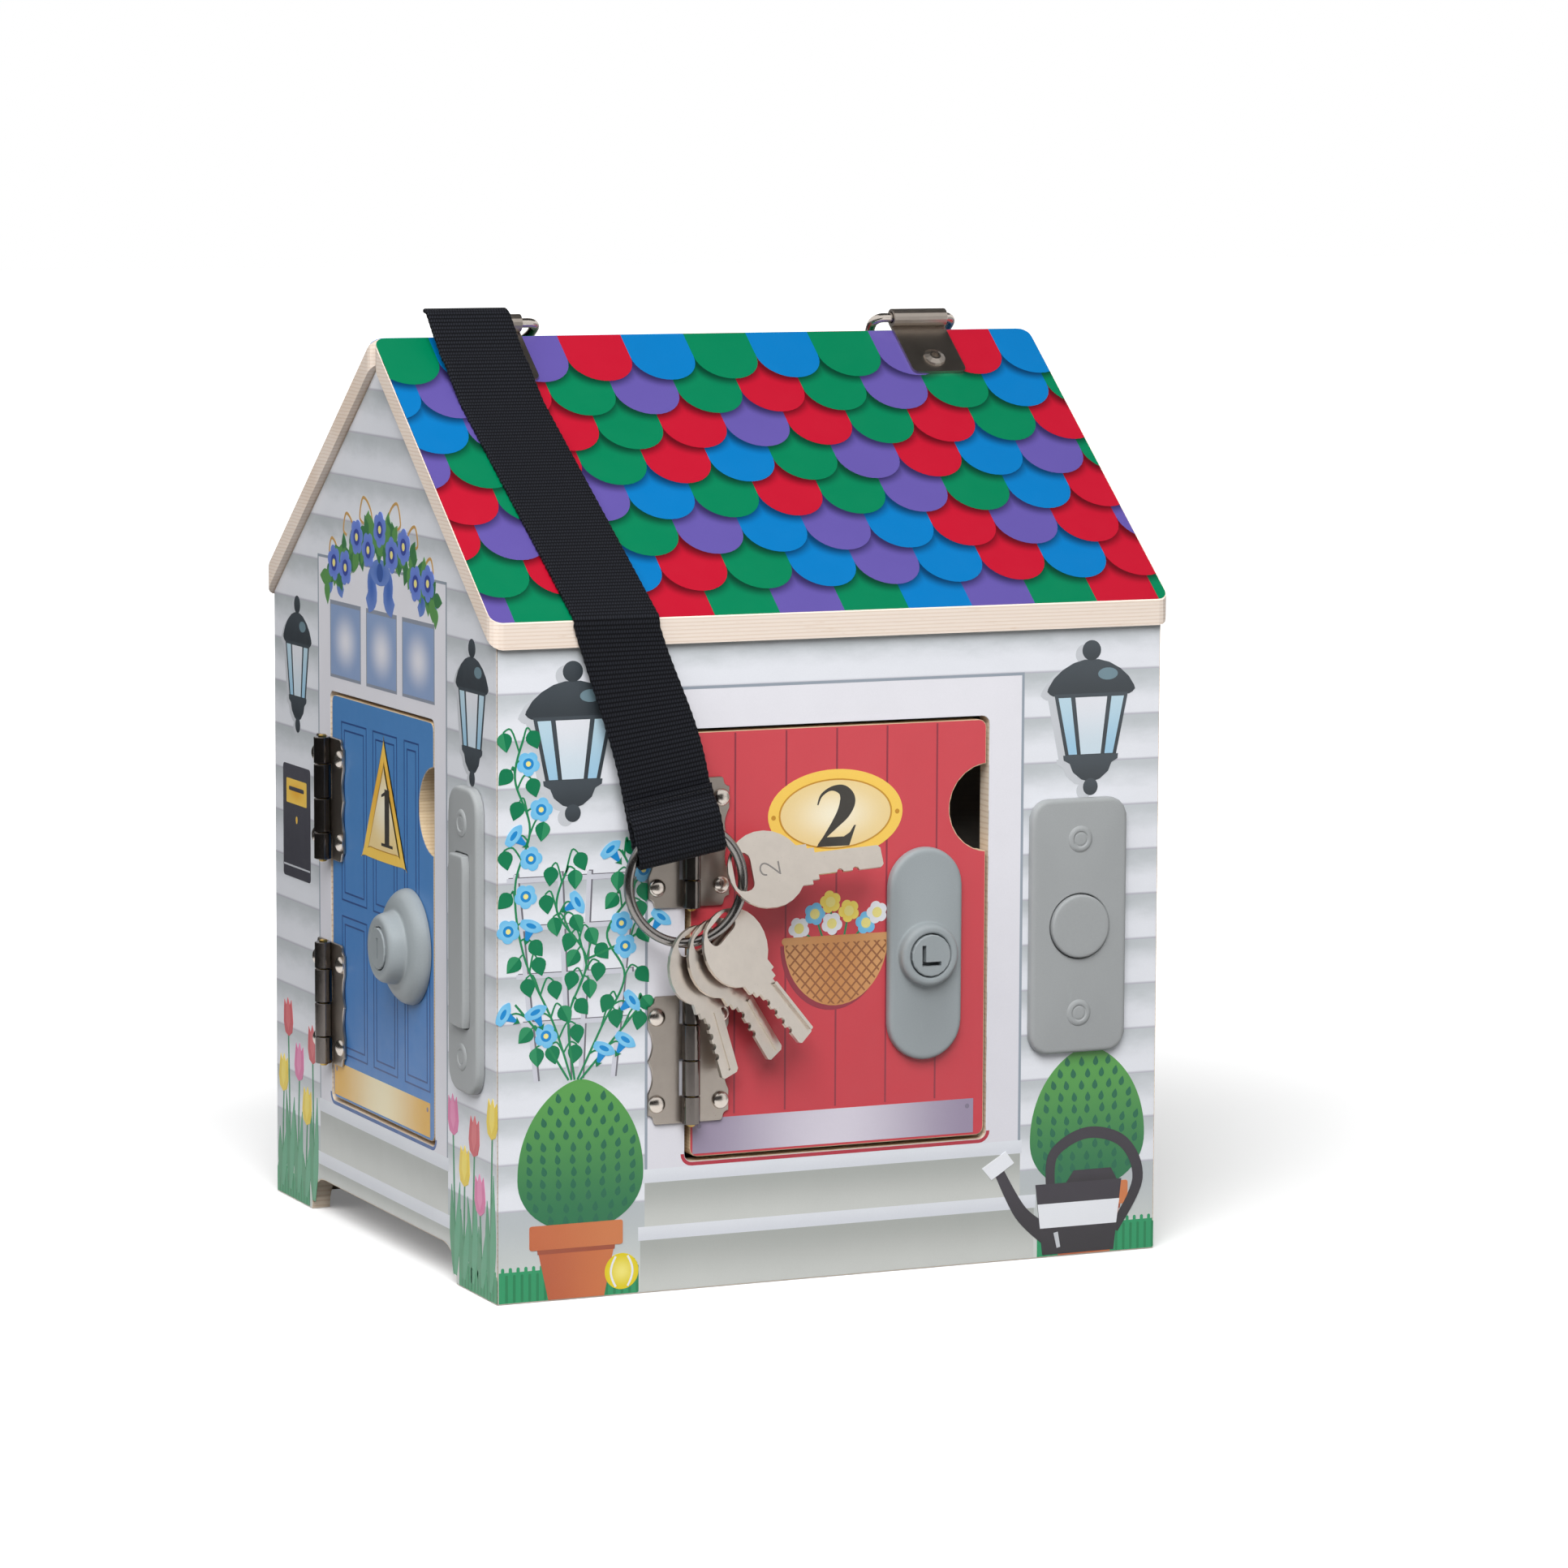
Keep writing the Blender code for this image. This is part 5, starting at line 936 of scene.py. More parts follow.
def climberShapes(u0, u1, v0, v1, seed):
    # a lattice with a leafy climber: winding stems, pointed leaves, open and half-open flowers
    look = climberLook
    rng = random.Random(seed)
    shapes = []
    lanes = {-1: u0, 0: (u0 + u1) / 2, 1: u1}
    lines = [[(lanes[lane] + low, v0), (lanes[lane] + top, v1)] for lane, top, low in look["posts"]]
    (first, spacing, rails), flare = look["rails"], look["flare"]
    for k in range(rails):
        v = v0 + (v1 - v0) * (first + spacing * k)
        share = (v - v0) / (v1 - v0)
        lines.append([(u0 + flare - flare * share, v), (u1 - flare + flare * share, v)])
    shadeU, shadeV = look["shade"]
    for line in lines:
        shapes.append((brush([(u + shadeU, v + shadeV, look["lath"]) for u, v in line], 1), 1, "trellisEdge"))
        shapes.append((brush([(u, v, look["lath"]) for u, v in line], 1), 2, "trellis"))
    placed = []

    def takes(u, v, room):
        clear = u > look["edge"] and all(hypot(u - a, v - b) > room + c for a, b, c in placed)
        if clear:
            placed.append((u, v, room))
        return clear
    for stem in look["stems"]:
        stem = [(lanes[lane] + u, v0 + v) for lane, u, v in stem]
        shapes.append((brush([(u, v, look["stem"]) for u, v in stem], 9), 3, "stemGreen"))
        line = smoothLine(stem, 9)
        for step, (u, v) in enumerate(line):
            if v < v0 + look["bare"]:
                continue
            for hand in (1, -1) if step % 2 else (-1, 1):
                turn, reach = rng.uniform(*look["leafTurn"]), rng.uniform(*look["leafReach"])
                cu, cv = u + hand * reach * cos(turn), v + reach * sin(turn)
                flower = rng.random() < look["flowers"] or step == len(line) - 1
                if not takes(cu, cv, look["flowerRoom"] if flower else look["leafRoom"]):
                    continue
                angle = -pi / 2 + hand * rng.uniform(*look["hang"])
                foot = (cu, cv)
                if not flower:
                    foot = (cu - cos(angle) * look["leaf"] / 2, cv - sin(angle) * look["leaf"] / 2)
                stalk = [(u, v, 0.3), ((u + foot[0]) / 2, max(v, foot[1]) + 0.8, 0.28), (*foot, 0.26)]
                shapes.append((brush(stalk, 4), 3, "stemGreen"))
                if flower and rng.random() < look["open"]:
                    shapes += flowerShapes(cu, cv, look["flower"], rng.uniform(0, anyTurn))
                elif flower:
                    shapes += budShapes(cu, cv, look["flower"], -hand * rng.uniform(*look["nod"]))
                else:
                    shapes.append((leafLoop(*foot, look["leaf"], angle, 0.4), 3, "leafGreen"))
                    if rng.random() < look["pale"]:
                        shapes.append((leafLoop(*foot, look["leaf"], angle, 0.38, hand), 4, "leafPale"))
    return shapes


canLook = {  # strokes as (u, v, half width), and plain outlines
    "strokes": (
        ([(-9, 5, 2.4), (-16, 11, 1.8), (-22, 21.5, 1.3)], 8, 7, "canBlack"),
        (
            [(-8, 17, 1.2), (-7, 25, 1.3), (2, 29.5, 1.4), (12, 26.5, 1.4), (16, 17, 1.4), (9.6, 5, 1.2)],
            8, 7, "canBlack",
        ),
        ([(-5.6, 1.6, 0.5), (-6.4, 5.4, 0.6)], 3, 8, "lampShade"),
    ),
    "outlines": (
        ([(-4, 17), (10.5, 17), (8.6, 20.4), (-1.6, 20.4)], 7, "canBlack"),
        ([(-10, 0), (9.5, 0), (11.5, 17.5), (-12, 17.5)], 7, "canBlack"),
        ([(-26.6, 22.6), (-24.0, 19.6), (-17.9, 23.4), (-20.2, 26.4)], 8, "canWhite"),
        ([(-10.7, 6.6), (10.2, 6.6), (11.0, 12.6), (-11.4, 12.6)], 8, "canWhite"),
    ),
}


def canShapes(cu, grow=1.0, base=0.8):
    # a black and white watering can: spout and bowed handle, lid, body, rose, a band, and a shine
    drawn = [
        (brush([(cu + u * grow, base + v * grow, half * grow) for u, v, half in points], steps), layer, ink)
        for points, steps, layer, ink in canLook["strokes"]
    ]
    plain = [(moved(loop, cu, base, grow), layer, ink) for loop, layer, ink in canLook["outlines"]]
    return drawn[:2] + plain + drawn[2:]


def ballShapes(cu, cv, radius):
    # a yellow ball with two pale stripes
    shapes = [(ellipse(cu, cv, radius), 5, "ballYellow")]
    for bow in (-1, 1):
        line = []
        for t in (-0.98, -0.5, 0.0, 0.5, 0.98):
            line.append((cu + radius * (0.34 * bow + 0.3 * bow * cos(pi / 2 * t)), cv + radius * 0.86 * t, 0.34))
        shapes.append((brush(line, 5), 6, "canWhite"))
    return shapes


tulipLook = {
    "cup": [
        (-4.2, 1.5), (-4.6, -2.4), (-3.4, -5.8), (0.0, -7.2), (3.4, -5.8), (4.6, -2.4), (4.2, 1.5), (3.5, 5.4),
        (1.7, 3.4), (0.0, 6.2), (-1.7, 3.4), (-3.5, 5.4),
    ],
    "petal": [(-1.9, 2.6), (-2.2, -2.0), (0.0, -5.4), (2.2, -2.0), (1.9, 2.6), (0.0, 6.1)],
    "blades": ((-1, 3, "bladeDark"), (1, 4, "bladeGreen")), "lean": 1.8, "tip": (2.4, 4.6), "rise": (0.5, 0.66),
}


def tulipShapes(u0, u1, seed, order):
    # cup flowers of several heights on stems with broad blades, at the foot of a wall
    look = tulipLook
    rng = random.Random(seed)
    shapes = []
    for k, (petal, high) in enumerate(order):
        u = u0 + (u1 - u0) * (k + 0.5) / len(order)
        lean = rng.uniform(-look["lean"], look["lean"])
        stem = [(u, 3, 0.7), (u + lean * 0.4, high * 0.5, 0.6), (u + lean, high - 9, 0.5)]
        shapes.append((brush(stem, 4), 3, "stemGreen"))
        for hand, layer, blade in look["blades"]:
            tip = (u + hand * rng.uniform(*look["tip"]), high * rng.uniform(*look["rise"]), 0.15)
            shapes.append((brush([(u + hand * 0.5, 3, 1.0), (u + hand * 2.2, high * 0.28, 2.3), tip], 6), layer, blade))
        for part, layer, ink in (("cup", 5, petal), ("petal", 6, petal + "Mid")):
            shapes.append((turnedLoop(look[part], u + lean, high - 3, -lean * 0.05), layer, ink))
    return shapes


garlandLook = {  # tendrils: how far along, and size; bows: along, and size; curl and tail as shares of the size
    "half": 49.0, "low": 216.0, "rise": 17.0, "stations": 32, "flower": 6.0, "flowers": 9, "wave": 3.2,
    "tendrils": ((0.06, 13), (0.24, 11), (0.4, 9)), "bows": ((0.06, 0.8), (0.5, 1.2), (0.94, 0.8)),
    "curl": ((0, 0), (0.2, 0.7), (0.75, 1), (1, 0.5), (0.72, 0.34)), "bowDrop": 6,
    "tail": ((7, -3, 2.6), (6, -7.5, 3.6), (10, -10.5, 2.2)), "stray": (1.5, 2.5), "leaf": (6.5, 8.5),
    "knots": ((7.5, 3.6, 30, 4, "ribbonBlue"), (2.4, 2.6, 20, 5, "ribbonDeep")),
    "leaves": ((4, "mossDark"), (4, "mossGreen"), (5, "mossDark"), (5, "mossGreen")),
}


def garlandShapes(cu, seed):
    # a leafy arch under the gable: moss green leaves, blue flowers, ribbons and gold tendrils
    look = garlandLook
    rng = random.Random(seed)

    def at(t):
        return cu + look["half"] * (2 * t - 1), look["low"] + look["rise"] * sin(pi * t)
    shapes = []
    for hand in (-1, 1):
        for t, size in look["tendrils"]:
            u, v = at(0.5 + hand * t)
            curl = [(u + hand * size * across, v + size * up, 0.5) for across, up in look["curl"]]
            shapes.append((brush(curl, 7), 2, "tendril"))
    for t, size in look["bows"]:
        u, v = at(t)[0], look["low"] + look["bowDrop"] * size
        for hand in (-1, 1):
            tail = [(u + hand * across * size, v + up * size, half * size) for across, up, half in look["tail"]]
            shapes.append((brush([(u + hand * 3 * size, v + 1, 1.6 * size), *tail], 6), 3, "ribbonBlue"))
        for wide, high, count, layer, ink in look["knots"]:
            shapes.append((ellipse(u, v - 1, wide * size, high * size, count), layer, ink))
    strayU, strayV = look["stray"]
    for k in range(look["stations"] + 1):
        u, v = at(k / look["stations"])
        for layer, ink in look["leaves"]:
            angle = rng.uniform(0, anyTurn)
            spot = (u + rng.uniform(-strayU, strayU), v + rng.uniform(-strayV, strayV))
            shapes.append((leafLoop(*spot, rng.uniform(*look["leaf"]), angle, 0.34), layer, ink))
    for k in range(look["flowers"]):
        u, v = at((k + 0.5) / look["flowers"])
        v += look["wave"] * (-1) ** k
        shapes += flowerShapes(u, v, look["flower"], rng.uniform(0, anyTurn), "petalIris", "petalDusk", 6, 6)
    return shapes


numeralBook = {  # strokes as (u, v, half width) and outlines, one unit high
    1: (
        ("loop", rect(0.38, 0.02, 0.60, 0.97)), ("loop", rect(0.22, 0.0, 0.76, 0.05)),
        ("loop", [(0.58, 1.0), (0.22, 0.86), (0.23, 0.82), (0.42, 0.87), (0.5, 0.9)]),
    ),
    2: (
        ("stroke", [
            (0.02, 0.70, 0.012), (0.09, 0.86, 0.022), (0.27, 0.965, 0.035), (0.47, 0.93, 0.0915),
            (0.565, 0.77, 0.1403), (0.50, 0.57, 0.122), (0.34, 0.37, 0.0732), (0.16, 0.17, 0.03), (0.04, 0.03, 0.02),
        ]),
        ("loop", [(0.0, 0.0), (0.60, 0.0), (0.72, 0.34), (0.685, 0.335), (0.61, 0.22), (0.50, 0.155), (0.14, 0.155)]),
    ),
    3: (
        ("stroke", [
            (0.06, 0.76, 0.02), (0.13, 0.9, 0.03), (0.3, 0.97, 0.035), (0.47, 0.9, 0.0976), (0.5, 0.76, 0.122),
            (0.4, 0.6, 0.06), (0.24, 0.53, 0.02),
        ]),
        ("stroke", [
            (0.24, 0.53, 0.02), (0.44, 0.5, 0.06), (0.56, 0.32, 0.1403), (0.48, 0.1, 0.0976), (0.28, 0.02, 0.035),
            (0.1, 0.07, 0.03), (0.03, 0.22, 0.03),
        ]),
        ("loop", ellipse(0.1, 0.2, 0.075, count=16)),
    ),
    4: (
        ("loop", rect(0.36, 0.03, 0.58, 1.0)), ("loop", rect(0.24, 0.0, 0.70, 0.045)),
        ("loop", rect(0.0, 0.25, 0.74, 0.305)), ("loop", [(0.0, 0.25), (0.07, 0.27), (0.47, 0.93), (0.44, 1.0)]),
    ),
}


def numeralShapes(number, cu, cv, high):
    # plain book numerals with thick and thin strokes
    shapes, halfWide, halfHigh = [], 0.39, 0.5
    for kind, points in numeralBook[number]:
        loop = brush(points, 8) if kind == "stroke" else points
        shapes.append((moved(moved(loop, -halfWide, -halfHigh), cu, cv, high), 6, "numeral"))
    return shapes


planterLook = {
    "wide": 18.3, "deep": 21.5, "shade": (-1.2, -1.4), "rows": 9, "pitch": 3.6, "cane": 0.28, "bloom": 3.7,
    "flowers": (
        (-13, 4.0, "canWhite"), (-7.5, 8.4, "petalBlue"), (-1.5, 5.0, "canWhite"), (4.5, 8.8, "petalYellow"),
        (10.5, 4.6, "petalBlue"), (14.4, 7.8, "canWhite"), (-2, 12.0, "petalYellow"),
    ),
}


def planterShapes(cu, top):
    # a wicker bowl of flowers
    look = planterLook

    def bowl(shrink):
        wide, deep = look["wide"] - shrink, look["deep"] - shrink
        return [(cu + wide * cos(pi * (1 + k / 24)), top + deep * sin(pi * (1 + k / 24))) for k in range(25)]
    shapes = [(moved(bowl(0.0), *look["shade"]), 2, "redSeam"), (bowl(0.0), 3, "wicker")]
    for hand in (-1, 1):
        for k in range(-look["rows"], look["rows"] + 1):
            u = cu + k * look["pitch"]
            cane = [(u - hand * 12, top - 23, look["cane"]), (u + hand * 12, top + 3, look["cane"])]
            strip = clipTo(brush(cane, 1), bowl(0.5))
            if len(strip) >= 3:
                shapes.append((strip, 4, "wickerLine"))
    shapes.append((roundRect(cu, top, look["wide"] * 2 + 1.4, 2.4, 1.1, 3), 5, "wicker"))
    for du, dv, petal in look["flowers"]:
        shapes.append((brush([(cu + du * 0.6, top, 0.35), (cu + du, top + dv, 0.3)], 2), 2, "stemGreen"))
        shapes += flowerShapes(cu + du, top + dv, look["bloom"], du, petal, "petalEye", 3)
    return shapes


gardenLook = {  # by kind of wall: where each motif stands, then its size or seed
    "lanterns": {
        "eave": ((-90.6, 151.7, 1.0, 1.0), (90.9, 151.7, 1.0, 1.0)),
        "gable": ((-79.9, 161.6, 0.92, 0.88), (82.4, 161.6, 0.92, 0.88)),
    },
    "grass": {"eave": ((-115.6, -68.5), (73.2, 115.6)), "gable": ((-103.0, -70.5, 10.0), (70.5, 103.0, 10.0))},
    "climber": (-113.0, -67.0, 70.0, 136.0), "climberSeed": 5,
    "bushes": ((-87.9, 21.6, 3), (91.2, 21.4, 8, 0.98)), "pots": ((-89.4, 24.2), (90.4, 23.6)),
    "can": (88.5, 1.34), "ball": (-73.9, 7.6, 5.8), "garland": 0.5,
    "panes": ((-47.2, -17.9), (-12.8, 15.7), (20.6, 49.8)), "sash": (183.9, 209.6), "glass": (184.9, 208.2),
    "frame": 0.7,
    "letterBox": [
        (roundRect(-81.3, 130.7, 27.2, 38.6, 1.4, 4), 3, "boxBlack"),
        (roundRect(-81.4, 140.9, 20.2, 8.4, 0.6, 3), 4, "gold"),
        (roundRect(-81.4, 141.8, 15.0, 1.4, 0.6, 3), 5, "boxBlack"), (ellipse(-81.4, 131.4, 0.9, 1.3, 14), 4, "gold"),
        (rect(-94.4, 115.0, -68.2, 115.6), 4, "lampShade"),
    ],
    "tulips": (
        (-101.5, -62.0, 21, (("Yellow", 46), ("Red", 66), ("Pink", 52), ("Yellow", 38), ("Red", 60))),
        (63.0, 101.5, 31, (("Pink", 58), ("Yellow", 43), ("Red", 54), ("Pink", 36), ("Yellow", 62))),
    ),
}


def wallMotifs(number):
    look = gardenLook
    kind = "gable" if walls[number]["gable"] else "eave"
    left, right = look["lanterns"][kind]
    lanterns = lanternShapes(*left) + lanternShapes(*right)
    left, right = look["grass"][kind]
    grass = grassShapes(*left) + grassShapes(*right)
    if kind == "eave":
        bushes = []
        for bush, pot in zip(look["bushes"], look["pots"]):
            bushes += bushShapes(*bush) + potShapes(*pot)
        climber = climberShapes(*look["climber"], look["climberSeed"] + number)
        motifs = {"lanterns": lanterns, "climber": climber, "bushes": bushes, "grass": grass}
        if number == 2:
            motifs.update({"watering_can": canShapes(*look["can"]), "ball": ballShapes(*look["ball"])})
        return motifs
    panes, tulips = [], []
    for u0, u1 in look["panes"]:
        panes.append((rect(u0, look["sash"][0], u1, look["sash"][1]), 2, "sashShade"))
        panes.append((rect(u0 + look["frame"], look["glass"][0], u1 - look["frame"], look["glass"][1]), 3, "paneBlue"))
    for u0, u1, seed, order in look["tulips"]:
        tulips += tulipShapes(u0, u1, seed + number, [("tulip" + petal, high) for petal, high in order])
    garland = garlandShapes(look["garland"], number)
    return {
        "lanterns": lanterns, "windows": panes, "garland": garland, "letter_box": look["letterBox"],
        "tulips": tulips, "grass": grass,
    }


for number, side in walls.items():
    wallSheet(number)
    place = wallPlace(number)
    printPiece(f"{side['name']}_door_surround_print", place, "house", trimShapes(number))
    for label, shapes in wallMotifs(number).items():
        printPiece(f"{side['name']}_{label}_print", place, "house", shapes)
print("wall prints done")


# doors

doorLooks = {
    1: {"ink": "doorBlue", "seam": "blueSeam", "kick": "kickYellow", "plate": "triangle"},
    2: {"ink": "doorRed", "seam": "redSeam", "kick": "kickLilac", "plate": "oval"},
    3: {"ink": "doorGreen", "seam": "greenSeam", "kick": "kickYellow", "plate": "square"},
    4: {"ink": "doorPlum", "seam": "plumSeam", "kick": "kickGrey", "plate": "round"},
}
doorGaps = {"left": 1.9, "right": 1.1, "foot": 1.5, "top": 1.2}
notch = {"radius": 14.3, "depth": 13.0, "v": 149.5}
locks = {
    1: {"kind": "dome", "size": 37.8, "inset": 20.5},
    2: {"kind": "stadium", "width": 25.8, "height": 69.0, "inset": 22.2},
    3: {"kind": "stadium", "width": 34.0, "height": 46.0, "inset": 22.0},
    4: {"kind": "dome", "size": 33.8, "inset": 22.0},
}
lockLevel = 103.3


def doorEdges(number):
    half = walls[number]["opening"] / 2
    return shift - half + doorGaps["left"], shift + half - doorGaps["right"]


def lockCentre(number):
    return doorEdges(number)[1] - locks[number]["inset"], lockLevel


def doorOutline(number, edge=0.2):
    # the door's face with its half-round finger notch
    left, right = doorEdges(number)
    low, high = sill + doorGaps["foot"], doorTop - doorGaps["top"]
    centre = (left + right) / 2
    loop = roundRect(centre, (low + high) / 2, right - left - 2 * edge, high - low - 2 * edge, 2.4, 4)
    cu = right + notch["radius"] - notch["depth"]
    radius = notch["radius"] + edge
    half = acos((cu - (right - edge)) / radius)
    arc = [pi - half + turn for turn in arcOf(20, 2 * half)]
    bite = [(cu + radius * cos(a), notch["v"] + radius * sin(a)) for a in arc]
    upper = sorted((p for p in loop if p[0] > centre and p[1] > notch["v"]), key=lambda p: (p[1], -p[0]))
    lower = sorted((p for p in loop if p[0] > centre and p[1] <= notch["v"]), key=lambda p: (p[1], p[0]))
    others = [p for p in loop if p[0] <= centre]
    others.sort(key=lambda p: (-p[1], -p[0]) if p[1] > notch["v"] else (-p[1], p[0]))
    return lower + bite[::-1] + upper + others


plateLook = {  # numeral: where and how high
    "oval": {"numeral": (0.6, 149.1, 19.2)}, "triangle": {"numeral": (4.3, 142.6, 19.5)},
    "square": {"numeral": (1.2, 149.0, 19.0)}, "round": {"numeral": (1.2, 149.0, 19.0)},
    "inks": ((3, "gold"), (4, "goldLine"), (5, "cream")), "screws": ((-21.9, 149.5), (21.5, 149.7)), "screw": 0.8,
    "rings": ((23.6, 14.3, 56), (19.9, 11.3, 52), (19.3, 10.8, 52)), "ovalCentre": (-0.2, 149.9),
    "grow": (1.0, 0.72, 0.69), "corners": ((3.1, 167.0), (-16.9, 127.9), (22.8, 127.9)), "heart": (3.1, 139.5),
    "cut": 0.06, "centre": (0.6, 149.0), "sides": (34, 27.4, 26.2), "corner": 3.0, "radii": (18.4, 14.9, 14.2),
}


def roundedTriangle(grow):
    (mu, mv), cut = plateLook["heart"], plateLook["cut"]
    corners = [(mu + (u - mu) * grow, mv + (v - mv) * grow) for u, v in plateLook["corners"]]
    points = []
    for index, (u, v) in enumerate(corners):
        for ou, ov in (corners[index - 1], corners[(index + 1) % 3]):
            points.append((u + (ou - u) * cut, v + (ov - v) * cut))
    return smoothLine(points, 4, True)


def numberPlate(kind, number):
    # a gold rim, a fine line and a cream field, with the door's number
    look = plateLook
    screws = []
    if kind == "oval":
        loops = [ellipse(*look["ovalCentre"], wide, high, count) for wide, high, count in look["rings"]]
        screws = [(ellipse(u, v, look["screw"], count=14), 4, "goldLine") for u, v in look["screws"]]
    elif kind == "triangle":
        loops = [roundedTriangle(grow) for grow in look["grow"]]
    elif kind == "square":
        sides = look["sides"]
        loops = [roundRect(*look["centre"], side, side, look["corner"] * side / sides[0], 5) for side in sides]
    else:
        loops = [ellipse(*look["centre"], radius, count=52) for radius in look["radii"]]
    field = [(loop, layer, ink) for loop, (layer, ink) in zip(loops, look["inks"])]
    return field + screws + numeralShapes(number, *look[kind]["numeral"])


doorPrint = {  # boards: seams; panels: their sides, and low and high rows, kept clear of the finger notch
    "board": 17.7, "seam": (55.5, 177.4), "line": 0.55, "steps": (0.0, 2.6), "clear": 9.6,
    "panels": ((-37.0, -13.0), (-7.2, 15.4), (21.8, 45.0)), "rows": ((110.0, 170.0), (58.0, 105.0)),
    "kick": (0.9, 43.4, 3.6, 54.6), "stud": (3.2, 5.8, 52.2, 0.8), "planter": (0.2, 109.6), "boardLine": (-0.1, 0.5),
}


def doorShapes(number):
    left, right = doorEdges(number)
    look, plan = doorLooks[number], doorPrint
    line = plan["line"]
    shapes = []
    if walls[number]["gable"]:
        for column, (u0, u1) in enumerate(plan["panels"]):
            for row, (v0, v1) in enumerate(plan["rows"]):
                end = u1 - plan["clear"] if column == 2 and row == 0 else u1
                for edge in plan["steps"]:
                    inner = edge + line
                    loops = [rect(u0 + d, v0 + d, end - d, v1 - d) for d in (edge, inner)]
                    shapes.append(([loops[0], loops[1][::-1]], 2, look["seam"]))
    else:
        (low, high), (before, past) = plan["seam"], plan["boardLine"]
        for k in range(-2, 3):
            shapes.append((rect(plan["board"] * k + before, low, plan["board"] * k + past, high), 2, look["seam"]))
    before, low, past, high = plan["kick"]
    shapes.append((rect(left + before, low, right - past, high), 3, look["kick"]))
    first, last, v, radius = plan["stud"]
    shapes += [(ellipse(u, v, radius, count=14), 4, "stud") for u in (left + first, right - last)]
    shapes += numberPlate(look["plate"], number)
    if number == 2:
        shapes += planterShapes(*plan["planter"])
    return shapes


for number, look in doorLooks.items():
    place, body, paint = wallPlace(number), f"door_{number}_body", f"door_{number}_paint"
    shape, spot = sheetShape()
    loops = [doorOutline(number), ellipse(*lockCentre(number), 6.0, count=28)[::-1]]
    addPlate(shape, spot, loops, paper["under"], paper["lift"], place)
    finishPiece(f"door_{number}_paper", shape, [inkOf(look["ink"])], body)
    printPiece(f"door_{number}_print", place, body, doorShapes(number))
print("door prints done")


# roof tiles

def tileColour(rng, before, made, column):
    # not the colour of the tile beside it, and mostly not that of the one below
    banned = {made[-1]} if made else set()
    if before and rng.random() < roofLook["vary"]:
        banned.add(before[min(column, len(before) - 1)])
    return rng.choice([c for c in range(len(roofLook["colours"])) if c not in banned])


def tileSheet(side, name):
    look = roofLook
    rng = random.Random(look["seed"] + side)
    place = roofPlace(side)
    window = roundRect(0.0, look["eave"] / 2, house["width"] + 4.3, look["eave"] - 0.9, 3.8, 5)
    shape, spot = sheetShape("tileSpot")
    radius, pitch = look["width"] / 2, look["pitch"]
    before = []
    for row in range(look["rows"]):
        bottom = look["first"] + pitch * row
        colours = []
        for column in range(look["columns"]):
            cu = (column - look["columns"] // 2 + (0.5 if row % 2 else 0.0)) * look["width"] + look["across"]
            colours.append(tileColour(rng, before, colours, column))
            loop = [(cu + radius * cos(a), bottom - radius + radius * sin(a)) for a in arcOf(18, pi)]
            top = bottom - pitch - radius
            loop += [(cu - radius, top - look["under"]), (cu + radius, top - look["under"])]
            if row == look["rows"] - 1:
                loop = rect(cu - radius, top, cu + radius, look["eave"] + 5)
            loop = clipTo(loop, window)
            if len(loop) < 3:
                continue
            start = len(shape.verts)
            addPlate(shape, spot, [loop], -0.02, look["thick"] - look["step"] * row, place)
            shape.verts.ensure_lookup_table()
            for vert in shape.verts[start:]:
                # the tile's own millimetres: across, up from its foot, and its colour; no shade under the ridge
                x, y, z = (part / mm for part in vert.co - middle)
                along = side * y * cos(slope) - (z - house["ridge"]) * sin(slope)
                vert[spot] = (x - cu, bottom - along - (0 if row else 30), colours[-1] + 0.5)
        before = colours
    finishPiece(name, shape, [tiles], "house")


tileSheet(-1, "roof_front_tiles_print")
tileSheet(1, "roof_back_tiles_print")
print("roof tiles done")


# lathe and loft tools for the fittings

def joinRings(shape, rings, closedWay=False, slot=0):
    # a side face between each pair of rings, and a cap at either end of an open row
    pairs = list(zip(rings, rings[1:])) + ([(rings[-1], rings[0])] if closedWay else [])
    faces = []
    for lower, upper in pairs:
        for index in range(len(lower)):
            following = (index + 1) % len(lower)
            faces.append(shape.faces.new((lower[index], lower[following], upper[following], upper[index])))
    if not closedWay:
        faces.append(shape.faces.new(rings[0][::-1]))
        faces.append(shape.faces.new(rings[-1]))
    for face in faces:
        face.material_index = slot


def ringLoft(shape, rings, closedWay=False, slot=0):
    # rings of points of equal count, joined in order
    joinRings(shape, [[shape.verts.new(point) for point in ring] for ring in rings], closedWay, slot)


def byAngle(loop, centre, count):
    # the loop's points at even angles about a centre
    made = []
    edges = list(zip(loop, loop[1:] + loop[:1]))
    for angle in arcOf(count, tau)[:-1]:
        du, dv = cos(angle), sin(angle)
        best = None
        for (au, av), (bu, bv) in edges:
            eu, ev = bu - au, bv - av
            across = du * ev - dv * eu
            if abs(across) < 1e-12:
                continue
            reach = ((au - centre[0]) * ev - (av - centre[1]) * eu) / across
            share = ((au - centre[0]) * dv - (av - centre[1]) * du) / across
            if reach > 0 and -1e-9 <= share <= 1 + 1e-9 and (best is None or reach > best):
                best = reach
        made.append((centre[0] + du * best, centre[1] + dv * best))
    return made


def circles(place, centre, profile, count):
    # a ring of points for each (radius, out) of a profile
    return [[place(u, v, out) for u, v in ellipse(*centre, radius, count=count)] for radius, out in profile]


def steppedRings(place, centre, size, corner, least, profile, arcs, count):
    # a ring for each (depth, out): the rounded rectangle made smaller by the depth all round
    rings = []
    for depth, out in profile:
        loop = roundRect(*centre, size[0] - 2 * depth, size[1] - 2 * depth, max(corner - depth, least), arcs)
        rings.append([place(u, v, out) for u, v in byAngle(loop, centre, count)])
    return rings


